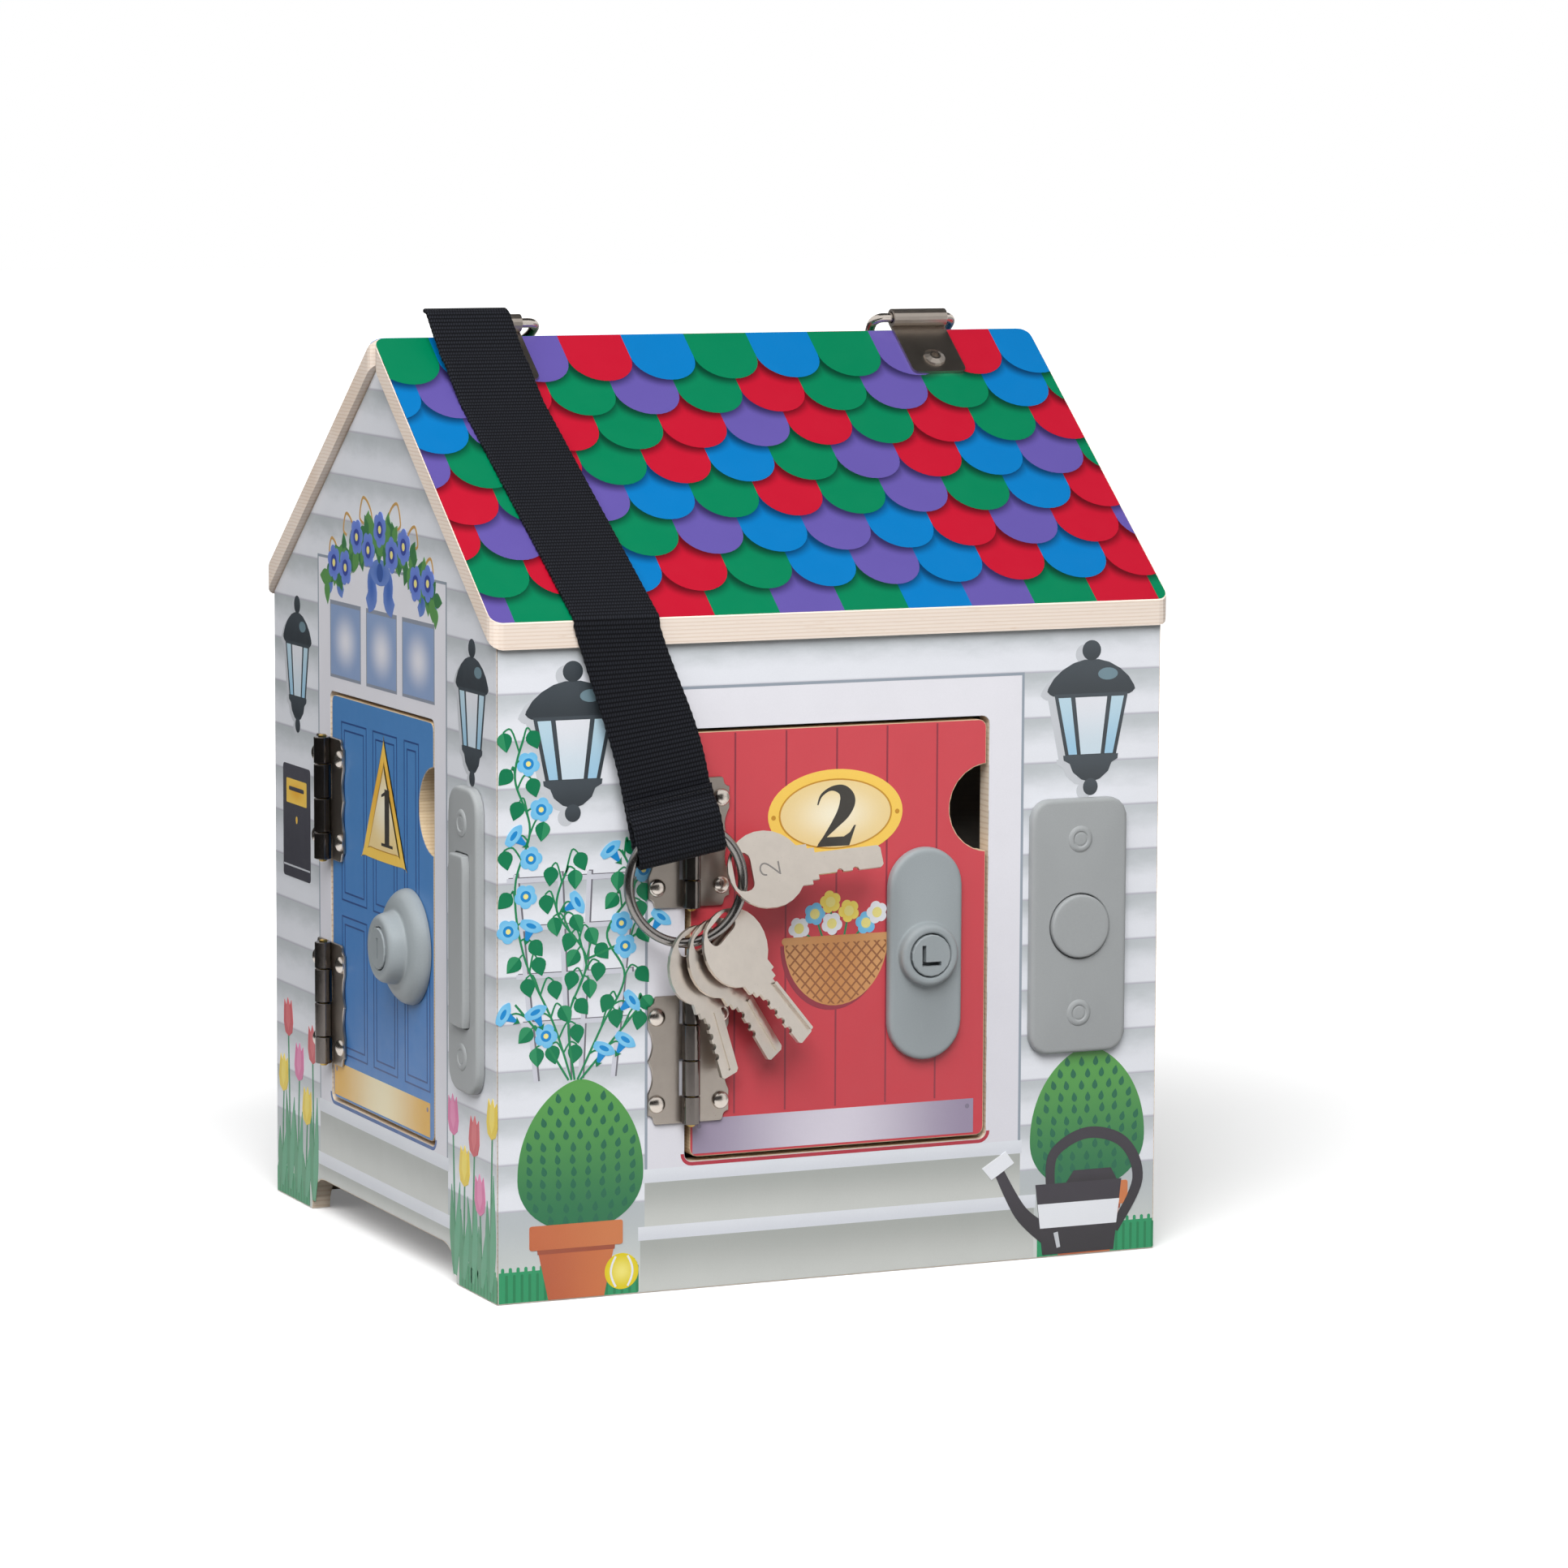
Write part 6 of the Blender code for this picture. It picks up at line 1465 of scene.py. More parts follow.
def lathe(shape, place, centre, profile, count, closedWay=False, slot=0):
    ringLoft(shape, circles(place, centre, profile, count), closedWay, slot)


def roundedProfile(points, radius=0.5, steps=4):
    # rounds the inner corners of a profile
    made = [points[0]]
    for index in range(1, len(points) - 1):
        a, b, c = (Vector(points[index + off]) for off in (-1, 0, 1))
        reach = min(radius, (a - b).length * 0.48, (c - b).length * 0.48)
        start, end = b + (a - b).normalized() * reach, b + (c - b).normalized() * reach
        for step in range(steps + 1):
            t = step / steps
            made.append(tuple(start * (1 - t) ** 2 + b * 2 * t * (1 - t) + end * t * t))
    return made + [points[-1]]


# bells

bellLook = {  # profiles of (depth, out) and (radius, out)
    "front": 3.1, "back": 0.3, "rim": ((0.0, 0.3), (0.0, 1.7), (0.12, 2.3), (0.45, 2.78), (0.95, 3.02), (1.6, 3.1)),
    "screw": ((4.4, -0.6), (4.4, 0.1), (3.5, 0.55), (2.7, 0.55), (2.35, 0.15), (1.9, 0.4), (0.4, 0.42)),
    "stem": ((2.8, -8.9), (2.8, 1.9)),
    "foot": (0.0, 1.8), "cap": ((0.0, 0.6), (0.12, 0.3), (0.4, 0.08), (0.9, 0.0), (2.2, 0.0)),  # cap: below front
}


def bellPlate(number):
    bell, look, count = bells[number], bellLook, 128
    centre, place = (bell["u"], bell["v"]), wallPlace(number)
    capWidth, capHeight, capCorner = bell["cap"]
    size = (bell["width"], bell["height"])
    rings = steppedRings(place, centre, size, bell["corner"], 0.5, look["rim"], 10, count)
    for gap, out in ((0.7, look["front"]), (0.4, look["front"] - 0.25), (0.4, look["back"])):
        size = (capWidth + 2 * gap, capHeight + 2 * gap)
        rings += steppedRings(place, centre, size, capCorner + gap, 0.0, ((0.0, out),), 10, count)
    shape = bmesh.new()
    ringLoft(shape, rings, True)
    screw = roundedProfile([(radius, look["front"] + out) for radius, out in look["screw"]], 0.3)
    for side in (-1, 1):
        lathe(shape, place, (centre[0], centre[1] + side * bell["spread"] / 2), screw, 40)
    node = f"bell_plate_{number}"
    finishPiece(node + "_moulding", shape, [greyPlastic], "house", [node], 32)


def bellButton(number):
    bell, look = bells[number], bellLook
    centre, place = (bell["u"], bell["v"]), wallPlace(number)
    width, height, corner = bell["cap"]
    shape = bmesh.new()
    lathe(shape, place, centre, look["stem"], 32)
    cap = [look["foot"]] + [(depth, bell["out"] - drop) for depth, drop in look["cap"]]
    ringLoft(shape, steppedRings(place, centre, (width, height), corner, 0.3, cap, 10, 96))
    node = f"bell_button_{number}"
    finishPiece(node + "_cap", shape, [greyPlastic], f"bell_{number}_body", [node], 32)


# locks

lockLook = {  # profiles of (radius, out) and (depth, out); the dome's flank grows with its size
    "dome": (
        (18.9, 0.3), (18.85, 1.4), (18.1, 3.1), (16.4, 4.7), (14.2, 5.6), (12.6, 5.9), (12.0, 6.4), (11.6, 8.2),
        (10.9, 10.4), (9.6, 11.5),
    ),
    "bore": (7.1, 0.3), "lip": ((7.6, 11.5), (7.1, 11.1)),
    "rim": ((0.0, 0.3), (0.0, 1.6), (0.15, 2.3), (0.55, 2.85), (1.2, 3.12), (2.0, 3.2)),
    "boss": ((11.0, 3.2), (10.3, 3.5), (10.0, 5.9), (9.0, 6.8), (7.6, 6.8), (7.1, 6.3), (7.1, 0.3)),
}


def lockPlate(number):
    lock, look, count = locks[number], lockLook, 120
    place, centre = wallPlace(number), lockCentre(number)
    shape = bmesh.new()
    if lock["kind"] == "dome":
        grow = lock["size"] / locks[1]["size"]
        flank = [(radius * grow, out) for radius, out in look["dome"]]
        profile = smoothLine(flank + [look["lip"][0]], 4)
        lathe(shape, place, centre, [look["bore"], *profile, look["lip"][1]], 72, True)
    else:
        corner = min(lock["width"], lock["height"]) / 2 - 0.05
        corner = corner if lock["width"] < lock["height"] * 0.6 else corner / 2
        size = (lock["width"], lock["height"])
        rings = steppedRings(place, centre, size, corner, 0.5, look["rim"], 12, count)
        ringLoft(shape, rings + circles(place, centre, roundedProfile(look["boss"], 0.9, 5), count), True)
    node = f"lock_plate_{number}"
    finishPiece(node + "_moulding", shape, [lockPlastic], f"door_{number}_body", [node], 34)


for number in walls:
    bellPlate(number)
    bellButton(number)
    lockPlate(number)
print("bells and locks done")


# hinges

hingeLook = {
    "levels": {"lower": 74.3, "upper": 143.3}, "axisOut": 3.3, "radius": 2.9, "leaf": 13.9, "length": 41.0,
    "outer": 9.0, "back": 0.3, "front": 1.2, "rivet": (2.9, 1.7), "rivetReach": 11.0, "rivetSpacing": 27.8,
    "gap": 0.15, "pin": 1.4, "pinPast": 0.85, "waist": 1.5, "waistHalf": 10.5, "root": 0.5, "clear": 0.3,
    "leafEdge": ((0.12, 0.0), (0.0, 0.12), (0.0, 0.68), (0.2, 0.9)),  # depth, and out from the back
    "corner": (3.1, 1.15, 1.3), "shoulder": (1.95, 1.8), "knuckleEdge": 0.22, "pinEdge": 0.35, "grown": 0.03,
}  # corner: where it starts, its reach and its drop; shoulder: its reach and its drop; grown: past the solid's ends


def knuckleBounds():
    half, outer = hingeLook["length"] / 2, hingeLook["outer"]
    return (-half, outer - half, 0.0, half - outer, half)


def leafProfile(own):
    # one leaf as (reach, along): its knuckles, the shaped corner, and the waist between the corners
    look = hingeLook
    half, gap, bounds = look["length"] / 2, look["gap"], knuckleBounds()
    points = []
    for index in range(4):
        mine = index % 2 == own
        shrink = gap if mine else -gap
        low = bounds[index] + (shrink if index > 0 else 0.0)
        high = bounds[index + 1] - (shrink if index < 3 else 0.0)
        inner = look["root"] if mine else look["radius"] + look["clear"]
        points += [(inner, low), (inner, high)]
    (start, reach, drop), (wide, fall) = look["corner"], look["shoulder"]
    edge = [(look["leaf"] - start, half)]
    turns = arcOf(6)[1:]
    edge += [(look["leaf"] - start + reach * sin(a), half - drop * (1 - cos(a))) for a in turns]
    edge += [(look["leaf"] - wide + wide * (1 - cos(a)), half - drop - fall * sin(a)) for a in turns]
    for t in range(14):
        share = t / 14
        edge.append((look["leaf"] - look["waist"] * sin(pi * share) ** 0.9, look["waistHalf"] * (1 - share)))
    return points + edge + [(look["leaf"], 0.0)] + [(reach, -v) for reach, v in reversed(edge)]


def hingeLeaf(number, level, own, hand):
    look = hingeLook
    place = wallPlace(number)
    axisU = shift - walls[number]["opening"] / 2 + doorGaps["left"] / 2
    height, half, bounds = look["levels"][level], look["length"] / 2, knuckleBounds()
    shape = bmesh.new()
    outline = [(hand * reach, v) for reach, v in leafProfile(own)]
    ringLoft(shape, [
        [place(axisU + u, height + v, look["back"] + out) for u, v in inset(outline, depth)]
        for depth, out in look["leafEdge"]
    ])

    def barrel(radius, low, high, edge, slot, count=36):
        ends = ((radius - edge, low), (radius, low + edge), (radius, high - edge), (radius - edge, high))
        ringLoft(shape, [
            [place(axisU + u, height + v, look["axisOut"] + w) for u, w in ellipse(0.0, 0.0, r, count=count)]
            for r, v in ends
        ], False, slot)
    gap = look["gap"] - look["grown"]
    for index in range(own, 4, 2):
        low, high = bounds[index] + (gap if index else 0.0), bounds[index + 1] - (gap if index < 3 else 0.0)
        # slot 3: the knuckles in the nickel painted darker, a painted dark reflection
        barrel(look["radius"], low, high, look["knuckleEdge"], 3)
    radius, tall = look["rivet"]
    dome = [(radius * cos(a), look["front"] + 0.12 + tall * sin(a)) for a in arcOf(8)[:-1]]
    profile = [(radius * 0.96, look["front"] - 0.3), (radius, look["front"]), *dome]
    for side in (-1, 1):
        spot = (axisU + hand * look["rivetReach"], height + side * look["rivetSpacing"] / 2)
        lathe(shape, place, spot, profile, 32, False, 1)
    if hand < 0:
        barrel(look["pin"], -half - look["pinPast"], half + look["pinPast"], look["pinEdge"], 2, 24)
    kind, body = ("wall", "house") if hand < 0 else ("door", f"door_{number}_body")
    node = f"hinge_{number}_{level}_{kind}_leaf"
    # the last slot is the knuckles' nickel painted darker, a painted dark reflection
    metals = [nickel, brightNickel, brass, darkReflectionNickel]
    finishPiece(node + "_plated", shape, metals, body, [node], 40)


for number in walls:
    for level in hingeLook["levels"]:
        hingeLeaf(number, level, 0, -1)
        hingeLeaf(number, level, 1, 1)
print("hinges done")


# wire rings

def tubeRings(points, radius, count=20, closedWay=True):
    rings = []
    reach, last = radius * mm, len(points) - 1
    normal = None
    for index, point in enumerate(points):
        if closedWay:
            before, after = points[index - 1], points[(index + 1) % len(points)]
        else:
            before, after = points[max(index - 1, 0)], points[min(index + 1, last)]
        tangent = (after - before).normalized()
        if normal is None:
            normal = tangent.orthogonal().normalized()
        else:
            normal = (normal - tangent * normal.dot(tangent)).normalized()
        second = tangent.cross(normal)
        rings.append([point + normal * reach * cos(a) + second * reach * sin(a) for a in arcOf(count, tau)[:-1]])
    return rings


ridgeLook = {  # lift: how high each ring's far end lies above the back slope
    "spread": 77.0, "shift": 1.4, "wire": 1.6, "half": 14.5, "corner": 3.0, "depth": 17.5, "curl": 3.0,
    "lift": {"left": 3.8, "right": 1.9},
}


def curlCentre():
    return house["ridge"] + (0.3 + ridgeLook["curl"]) / cos(slope)


def ringLie(name):
    # how steeply a ring lies
    barHeight = (curlCentre() - house["ridge"]) * cos(slope)
    return slope - asin((ridgeLook["lift"][name] - barHeight) / ridgeLook["depth"])


def dRing(name, hand):
    look = ridgeLook
    lie, corner = ringLie(name), look["corner"]
    straight, deep = look["half"] - corner, look["depth"] - corner
    flat = [(straight * (2 * k / 6 - 1), 0.0) for k in range(6)]
    flat += [(straight + corner * sin(a), corner * (1 - cos(a))) for a in arcOf(6)[:-1]]
    flat += [(look["half"] * cos(a), corner + deep * sin(a)) for a in arcOf(40, pi)]
    flat += [(-straight - corner * cos(a), corner * (1 - sin(a))) for a in arcOf(6)[1:-1]]
    centre = middle + Vector((hand * (look["spread"] - look["shift"]), 0.0, curlCentre())) * mm
    points = [centre + Vector((u, v * cos(lie), -v * sin(lie))) * mm for u, v in flat]
    shape = bmesh.new()
    ringLoft(shape, tubeRings(points, look["wire"]), True)
    node = f"d_ring_{name}"
    finishPiece(node + "_wire", shape, [brightNickel], node + "_body", [node], 60)


dRing("left", -1)
dRing("right", 1)

keyRingLook = {
    "x": -56.3, "height": 131.8, "standoff": 10.0, "radius": 18.9, "wire": 1.6, "turn": 5.0, "lean": 11.0,
}


def keyRingPlace():
    look = keyRingLook
    centre = middle + Vector((look["x"], -house["depth"] / 2 - look["standoff"], look["height"])) * mm
    return Matrix.Translation(centre) @ Matrix.Rotation(-radians(look["turn"]), 4, "Z")


def keyRing():
    look = keyRingLook
    place = keyRingPlace()
    points = [place @ (Vector((u, 0.0, w)) * mm) for u, w in ellipse(0.0, 0.0, look["radius"], count=144)]
    shape = bmesh.new()
    ringLoft(shape, tubeRings(points, look["wire"], 28), True)
    finishPiece("key_ring_wire", shape, [steel], "key_ring_body", ["key_ring"], 60)


stampLook = {  # place, turn and tilt as key 2 has them on the ring; strokes: points, and steps between them
    "place": 8.0, "turn": -4.0, "tilt": 24.0, "setback": 8.9, "level": 0.6, "size": 6.4, "stroke": 0.26,
    "strokes": (
        ([(-0.3, 0.2), (-0.24, 0.4), (0.0, 0.5), (0.26, 0.38), (0.27, 0.14), (0.02, -0.16), (-0.3, -0.48)], 6),
        ([(-0.33, -0.48), (0.34, -0.48)], 1),
    ),
}


def keyStamp():
    # the numeral stamped in key 2's bow, its head towards the ring, drawn as a thin sheet in the darker ring steel:
    # painted shade of the stamped groove
    look = stampLook
    ring = keyRingPlace()
    place, turn, tilt = (radians(look[name]) for name in ("place", "turn", "tilt"))
    face = Vector((0, -1, 0))
    radial, along = Vector((cos(place), 0, sin(place))), Vector((-sin(place), 0, cos(place)))
    normal = along * sin(tilt) + face * cos(tilt)
    length = radial * cos(turn) + (along * cos(tilt) - face * sin(tilt)) * sin(turn)
    centre = radial * keyRingLook["radius"] + length * look["setback"]
    side = normal.cross(length)

    def onKey(u, v, w):
        return ring @ ((centre + side * u - length * v + normal * w) * mm)
    shape, spot = sheetShape()
    for index, (line, steps) in enumerate(look["strokes"]):
        loop = brush([(u * look["size"], v * look["size"], look["stroke"]) for u, v in line], steps)
        addPlate(shape, spot, [loop], look["level"] - 0.1, look["level"] + 0.03 + 0.01 * index, onKey)
    finishPiece("key_2_stamp", shape, [steel], "key_2_body")


keyRing()
keyStamp()
print("rings done")


# webbing strap

strapLook = {
    "width": 29.0, "thick": 1.6, "rib": 1.45, "ridgeX": -86.5, "eaveX": -77.0, "tailTop": 212.7, "hem": 6.0,
    "rest": 34.0, "foldTop": 29.2, "foldInside": 9.0, "foldClose": 4.3, "straightTop": 34.0, "gap": 0.3,
    "rivet": (13.8, 17.8, 24.9), "bracket": 1.0, "rivetHead": 1.4, "keyGap": 0.35, "hemBlend": (-1.8, 6.5),
    "pivot": (3.9, 214.6), "bend": 6.0,
}  # rivet: down the slope, where the strap rises over the rivet, leaves it and lies flat; pivot: off the wall, and up


def strapRoofLine():
    # (x, y, z) of the middle of the webbing, from the hem behind the ridge to the eave
    look = strapLook
    gap, half = look["gap"], look["thick"] / 2
    lie = ringLie("left")
    above, away = Vector((sin(lie), cos(lie))), Vector((cos(lie), -sin(lie)))
    down, off = Vector((cos(slope), -sin(slope))), Vector((sin(slope), cos(slope)))
    centre = Vector((0.0, curlCentre()))
    lift = ridgeLook["wire"] + gap + half
    far = centre + away * ridgeLook["depth"]
    line = [far - off * lift - down * look["hem"], far - off * lift]
    line += [far + down * lift * sin(a) - off * lift * cos(a) for a in arcOf(9, pi)[1:-1]] + [far + off * lift]

    def onFront(along, height):
        y, z = along * cos(slope) + height * sin(slope), height * cos(slope) - along * sin(slope)
        return Vector((-y, house["ridge"] + z))
    rivetTop = gap + look["bracket"] + look["rivetHead"] + gap + half
    lying = gap + half
    run = (house["depth"] / 2 + house["overhang"]) / cos(slope)
    onRivet, pastRivet, landing = look["rivet"]
    rivetStart = onFront(onRivet, rivetTop)
    over = ridgeLook["curl"] + 2 * gap + half
    reach = rivetStart - centre
    backAngle = atan2(above.y, above.x)
    frontAngle = atan2(reach.y, reach.x) % tau - acos(over / reach.length)
    top = len(line)
    for turn in arcOf(10, frontAngle - backAngle):
        line.append(centre + Vector((cos(backAngle + turn), sin(backAngle + turn))) * over)
    line += [rivetStart, onFront(pastRivet, rivetTop), onFront(landing, (rivetTop + lying) / 2)]
    line += [onFront(along, lying) for along in (look["rest"], (look["rest"] + run) / 2, run)]
    eave = Vector((-house["depth"] / 2 - house["overhang"], house["eave"]))
    for share in (0.2, 0.4, 0.6, 0.8, 1.0):
        a = pi / 2 + slope + (pi / 2 - slope) * share
        line.append(eave + Vector((cos(a), sin(a))) * lying)
    stations = []
    ringX = ridgeLook["shift"] - ridgeLook["spread"]
    for y, z in line:
        ahead, behind = (min(max(share, 0.0), 1.0) for share in (y / eave.x, y / far.x))
        x = look["ridgeX"] + (look["eaveX"] - look["ridgeX"]) * ahead + (ringX - look["ridgeX"]) * behind
        stations.append((Vector((x, y, z)), Vector((1.0, 0.0, 0.0))))
    return stations, top


def strapTailLine():
    # the hanging part: from the eave to the fold, round the key ring and up again behind
    look = strapLook
    place = keyRingPlace()
    place.translation = (place.translation - middle) / mm
    place = place @ Matrix.Rotation(-radians(keyRingLook["lean"]), 4, "Y")
    across = (place.to_3x3() @ Vector((1.0, 0.0, 0.0))).normalized()
    half = look["thick"] / 2
    inner = keyRingLook["wire"] + look["keyGap"]
    layer = inner + half
    pocket = keyRingLook["radius"] + inner
    close = -layer + look["thick"] + look["gap"]
    top = Vector((look["eaveX"], -house["depth"] / 2 - (house["overhang"] + look["gap"] + half), look["tailTop"]))
    lower = place @ Vector((0.0, layer, look["straightTop"]))
    lowerWay = (place.to_3x3() @ Vector((0.0, 0.0, -1.0))).normalized()
    upperWay = Vector((lower.x - top.x, 0.0, lower.z - top.z)).normalized()
    reach = (lower - top).length
    stations = []
    for k in range(16):
        t = k / 16
        point = (
            top * (2 * t ** 3 - 3 * t ** 2 + 1) + lower * (3 * t ** 2 - 2 * t ** 3)
            + upperWay * reach * (t ** 3 - 2 * t ** 2 + t) + lowerWay * reach * (t ** 3 - t ** 2)
        )
        stations.append((point, Vector((1.0, 0.0, 0.0)).lerp(across, t * t * (3 - 2 * t)).normalized()))
    path = [(look["straightTop"], -layer), (look["foldTop"], -layer), (pocket, -layer)]
    path += [(look["foldInside"] + inner - layer * sin(a), -layer * cos(a)) for a in arcOf(12, pi)]
    tuck = look["foldClose"]
    path += [(pocket - tuck / 2, layer), (pocket + tuck / 8, layer - tuck / 8), (pocket + tuck, close)]
    path.append((look["foldTop"], close))
    return stations + [(place @ Vector((0.0, -out, up)), across) for up, out in path], place, layer, close


def evenly(stations, step):
    # the same line with its stations a fixed step apart, eased four times
    line = [(*point, *side) for point, side in stations]
    made, carried = [line[0]], 0.0
    for a, b in zip(line, line[1:]):
        size = dist(a[:3], b[:3])
        at = step - carried
        while at <= size:
            share = at / size
            made.append(tuple(p + (q - p) * share for p, q in zip(a, b)))
            at += step
        carried = size - (at - step)
    made.append(line[-1])
    for _ in range(4):
        eased = [tuple((p + 2 * q + r) / 4 for p, q, r in zip(*three)) for three in zip(made, made[1:], made[2:])]
        made = [made[0], *eased, made[-1]]
    return [(Vector(row[:3]), Vector(row[3:]).normalized()) for row in made]


weaveLook = {"across": 13, "flat": 0.965, "selvedge": 0.45, "ribDepth": 0.13, "scallop": 0.012, "perRib": 5}


def webbingPiece(name, stations):
    # a flat band with cross ribs, a rounded selvedge and the strap's own coordinates
    look, weave = strapLook, weaveLook
    line = evenly(stations, look["rib"] / weave["perRib"])
    half, thick = look["width"] / 2, look["thick"] / 2
    last = weave["across"] - 1
    face = [half * (2 * k / last - 1) * weave["flat"] for k in range(last + 1)]
    back = [half * (1 - 2 * k / last) * weave["flat"] for k in range(last + 1)]
    section = [(u, 1.0) for u in face] + [(half, weave["selvedge"]), (half, -weave["selvedge"])]
    section += [(u, -1.0) for u in back] + [(-half, -weave["selvedge"]), (-half, weave["selvedge"])]
    shape, spot = sheetShape("strapSpot")
    rings = []
    along = 0.0
    for index, (point, side) in enumerate(line):
        before, after = line[max(index - 1, 0)][0], line[min(index + 1, len(line) - 1)][0]
        along += (point - before).length
        tangent = (after - before).normalized()
        normal = side.cross(tangent).normalized()
        phase = along / look["rib"]
        rib = 1.0 - weave["ribDepth"] * (0.5 - 0.5 * cos(tau * phase))
        edge = 1.0 - weave["scallop"] * (0.5 + 0.5 * cos(tau * phase / 2))
        ring = []
        for u, w in section:
            across = u * edge if abs(u) == half else u
            vert = shape.verts.new(middle + (point + side * across + normal * thick * w * rib) * mm)
            vert[spot] = (along * mm, u * mm, w)
            ring.append(vert)
        rings.append(ring)
    joinRings(shape, rings)
    return finishPiece(name, shape, [webbing], None, (), 60), along


roofStations, hemEnd = strapRoofLine()
tailStations, foldPlace, layerOut, closeOut = strapTailLine()
hem, hemLength = webbingPiece("strap_hem", roofStations[:hemEnd + 9])
strap, strapLength = webbingPiece("carry_strap", roofStations[hemEnd + 8:] + tailStations)
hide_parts("strap_roof", "strap_tail")
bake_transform(hem)
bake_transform(strap)
print("strap:", round(strapLength), "mm and a hem of", round(hemLength), "mm")


stitchLook = {  # rows: below the fold's top; bead: along, and dip into the webbing
    "rows": (1.6, 4.6), "half": 12.6, "count": 17, "out": 0.72, "thread": 0.17,
    "bead": ((-0.62, 0.25), (-0.3, 0.0), (0.0, -0.08), (0.3, 0.0), (0.62, 0.25)),
}


def stitches():
    # two sewn rows through the fold, each stitch a short bead of thread
    look = stitchLook
    shape = bmesh.new()
    for drop in look["rows"]:
        up = strapLook["foldTop"] - drop
        for k in range(look["count"]):
            u = -look["half"] + 2 * look["half"] * k / (look["count"] - 1)
            for out, hand in ((-closeOut - look["out"], 1), (layerOut + look["out"], -1)):
                points = [foldPlace @ Vector((u + du, out + hand * dip, up)) for du, dip in look["bead"]]
                ringLoft(shape, tubeRings([middle + p * mm for p in points], look["thread"], 8, False))
    finishPiece("strap_stitches", shape, [thread], "strap_tail_body", (), 60)


stitches()
print("strap done")


# finishes of the carried-over nodes

def dressNode(name, material, edge=0.0):
    piece = nodes[name]
    piece.data.materials.clear()
    piece.data.materials.append(material)
    if edge:
        modifier = piece.modifiers.new("edge", "BEVEL")
        modifier.width = edge * mm
        modifier.segments = 2
        modifier.limit_method = "ANGLE"
        modifier.angle_limit = radians(30)


for number, side in walls.items():
    dressNode(f"{side['name']}_wall", rakeWood)
    dressNode(f"door_{number}", plyWood)
    dressNode(f"lock_cylinder_{number}", lockPlastic)
    dressNode(f"key_{number}", keyNickel, 0.16)
for material, names in (
    (edgeWood, ("roof_front_panel", "roof_back_panel")),
    (hardboard, ("floor_panel", "ceiling_panel", "room_divider_a", "room_divider_b")),
    (nickel, ("ridge_bracket_left", "ridge_bracket_right", "battery_cover_screw")),
    (greyPlastic, ("sound_box", "battery_cover")),
):
    for name in names:
        dressNode(name, material)


# stage and light

studio = {
    "world": 0.28, "floor": 0.95, "bounce": 0.2, "glow": (0.16, 1.1), "glowReach": 0.95,
    "lamps": (  # where from, in degrees, and how large and strong
        {"turn": -24.0, "rise": 45.0, "size": 1.5, "power": 62.0},
        {"turn": -76.0, "rise": 38.0, "size": 1.1, "power": 14.0},
    ),
    "lampAway": 2.4, "cardAway": 0.5, "cardFoot": 0.002,
    "cards": ((-170.0, 14.0, 0.34, 0.035), (46.0, 96.0, 0.34, 0.42)),
    "roofCard": {"x": (-0.05, 0.85), "y": (-0.15, 0.75), "z": 0.85, "grey": 0.03},
}  # floor: as seen, as it lights the toy, its glow near and far; cards: from and to which side, how high, how grey
white, black = (1.0, 1.0, 1.0, 1.0), (0.0, 0.0, 0.0, 1.0)


def seenPlainly(tree):
    path = newNode(tree, "LightPath").outputs
    mirrorOrGlass = reckon(tree, "MAXIMUM", path["Is Glossy Ray"], path["Is Transmission Ray"])
    return reckon(tree, "MAXIMUM", path["Is Camera Ray"], mirrorOrGlass)


def addStage(name, shape, material):
    piece = linkMesh(name, shape, [material])
    return piece


def addLamp(look):
    light = bpy.data.lights.new("softbox", "AREA")
    light.shape = "SQUARE"
    light.size = look["size"]
    light.energy = look["power"]
    lamp = bpy.data.objects.new("softbox", light)
    bpy.context.scene.collection.objects.link(lamp)
    turn, rise = radians(look["turn"]), radians(look["rise"])
    way = Vector((sin(turn) * cos(rise), -cos(turn) * cos(rise), sin(rise)))
    lamp.location = middle + way * studio["lampAway"]
    lamp.rotation_mode = "QUATERNION"
    lamp.rotation_quaternion = (-way).to_track_quat("-Z", "Y")
    lamp.visible_glossy = False


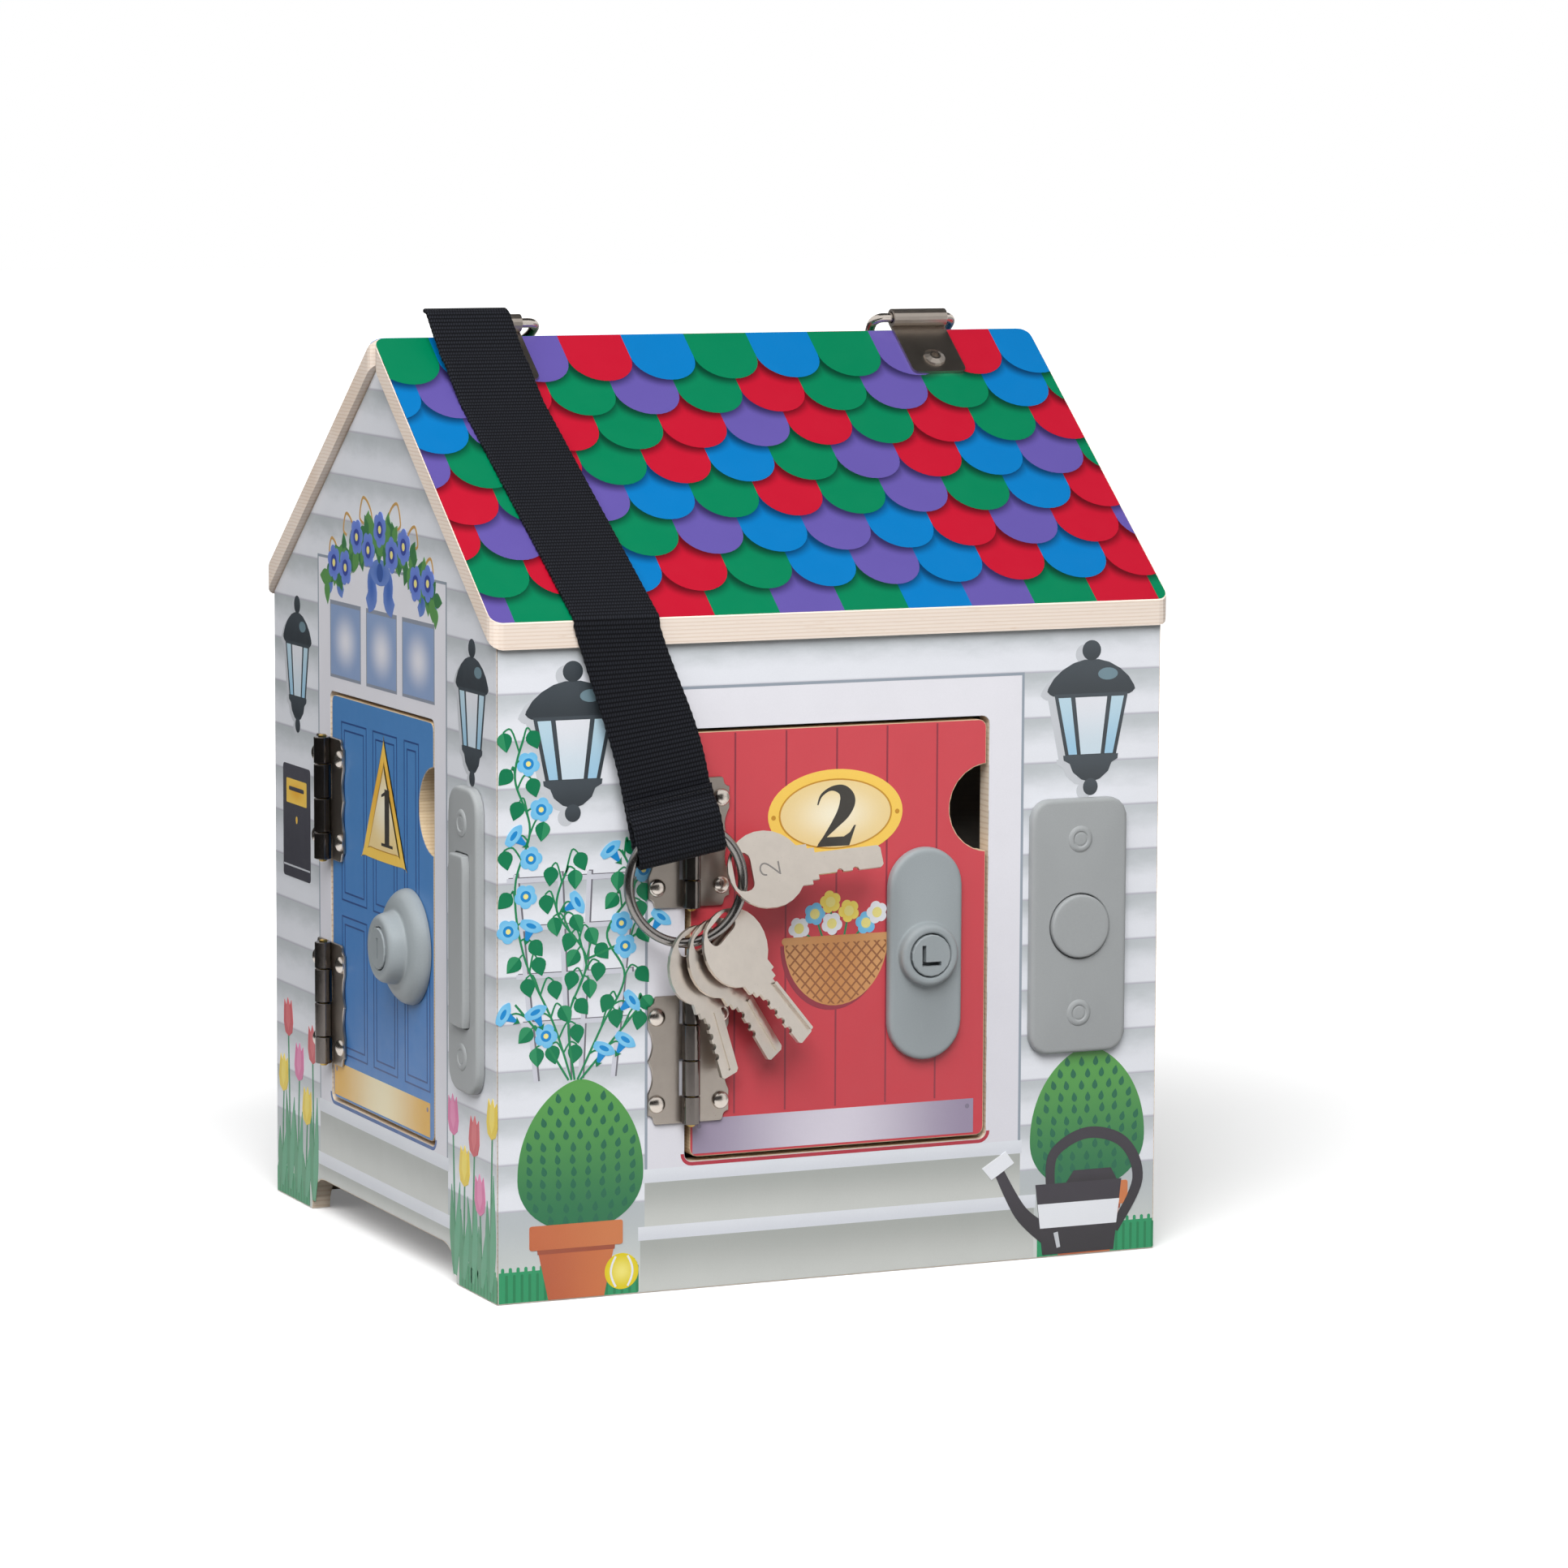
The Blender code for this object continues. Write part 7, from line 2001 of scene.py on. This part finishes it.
def addFloor():
    # white where lit; it glows most far off, where the lamps fall away, so that the toy's shadow stays
    shape = bmesh.new()
    bmesh.ops.create_grid(shape, x_segments=1, y_segments=1, size=9.0)
    material, tree, shader = newMaterial("studio_floor")
    onCamera = newNode(tree, "LightPath").outputs["Is Camera Ray"]
    tone = scaled(tree, seenPlainly(tree), studio["floor"] - studio["bounce"], studio["bounce"])
    off = reckonVector(tree, "ABSOLUTE", reckonVector(tree, "SUBTRACT", objectPlace(tree), middle))
    off = reckonVector(tree, "SUBTRACT", off, (house["width"] / 2 * mm, house["depth"] / 2 * mm, 1.0))
    away = reckonVector(tree, "LENGTH", reckonVector(tree, "MAXIMUM", off))
    glow = times(tree, span(tree, away, 0.0, studio["glowReach"], *studio["glow"]), onCamera)
    setInputs(tree, shader, {
        "Base Color": greyOf(tree, tone), "Roughness": 1.0, "Specular IOR Level": 0.0, "Emission Color": white,
        "Emission Strength": glow,
    })
    addStage("studio_floor", shape, material).location = (0.0, 0.0, -0.0002)


def addCards():
    # grey cards round the toy that only show in the plated metal, as in a real studio
    material, tree, shader = newMaterial("studio_card")
    spot = newNode(tree, "Attribute", attribute_name="cardGrey").outputs["Fac"]
    setInputs(tree, shader, {
        "Base Color": black, "Specular IOR Level": 0.0, "Emission Color": white, "Emission Strength": spot,
    })
    shape = bmesh.new()
    tone = shape.verts.layers.float.new("cardGrey")

    def sheet(rows, grey):
        made = [[shape.verts.new(point) for point in row] for row in rows]
        for row in made:
            for vert in row:
                vert[tone] = grey
        for a, b in zip(made, made[1:]):
            shape.faces.new((a[0], b[0], b[1], a[1]))
    for start, end, high, grey in studio["cards"]:
        rows = []
        for k in range(25):
            turn = radians(start + (end - start) * k / 24)
            foot = middle + Vector((sin(turn), -cos(turn), 0.0)) * studio["cardAway"]
            rows.append([foot + Vector((0.0, 0.0, z)) for z in (studio["cardFoot"], high)])
        sheet(rows, grey)
    roof = studio["roofCard"]
    sheet([[Vector((x, y, roof["z"])) for y in roof["y"]] for x in roof["x"]], roof["grey"])
    card = addStage("studio_cards", shape, material)
    card.visible_camera = card.visible_diffuse = card.visible_transmission = False
    card.visible_volume_scatter = card.visible_shadow = False


def addWorld():
    world = bpy.data.worlds.new("studio")
    bpy.context.scene.world = world
    world.use_nodes = True
    tree = world.node_tree
    strength = scaled(tree, seenPlainly(tree), 1.0 - studio["world"], studio["world"])
    setInputs(tree, tree.nodes["Background"], {"Color": white, "Strength": strength})


for look in studio["lamps"]:
    addLamp(look)
addFloor()
addCards()
addWorld()
bpy.context.scene.view_settings.view_transform = "Standard"
print("studio set")
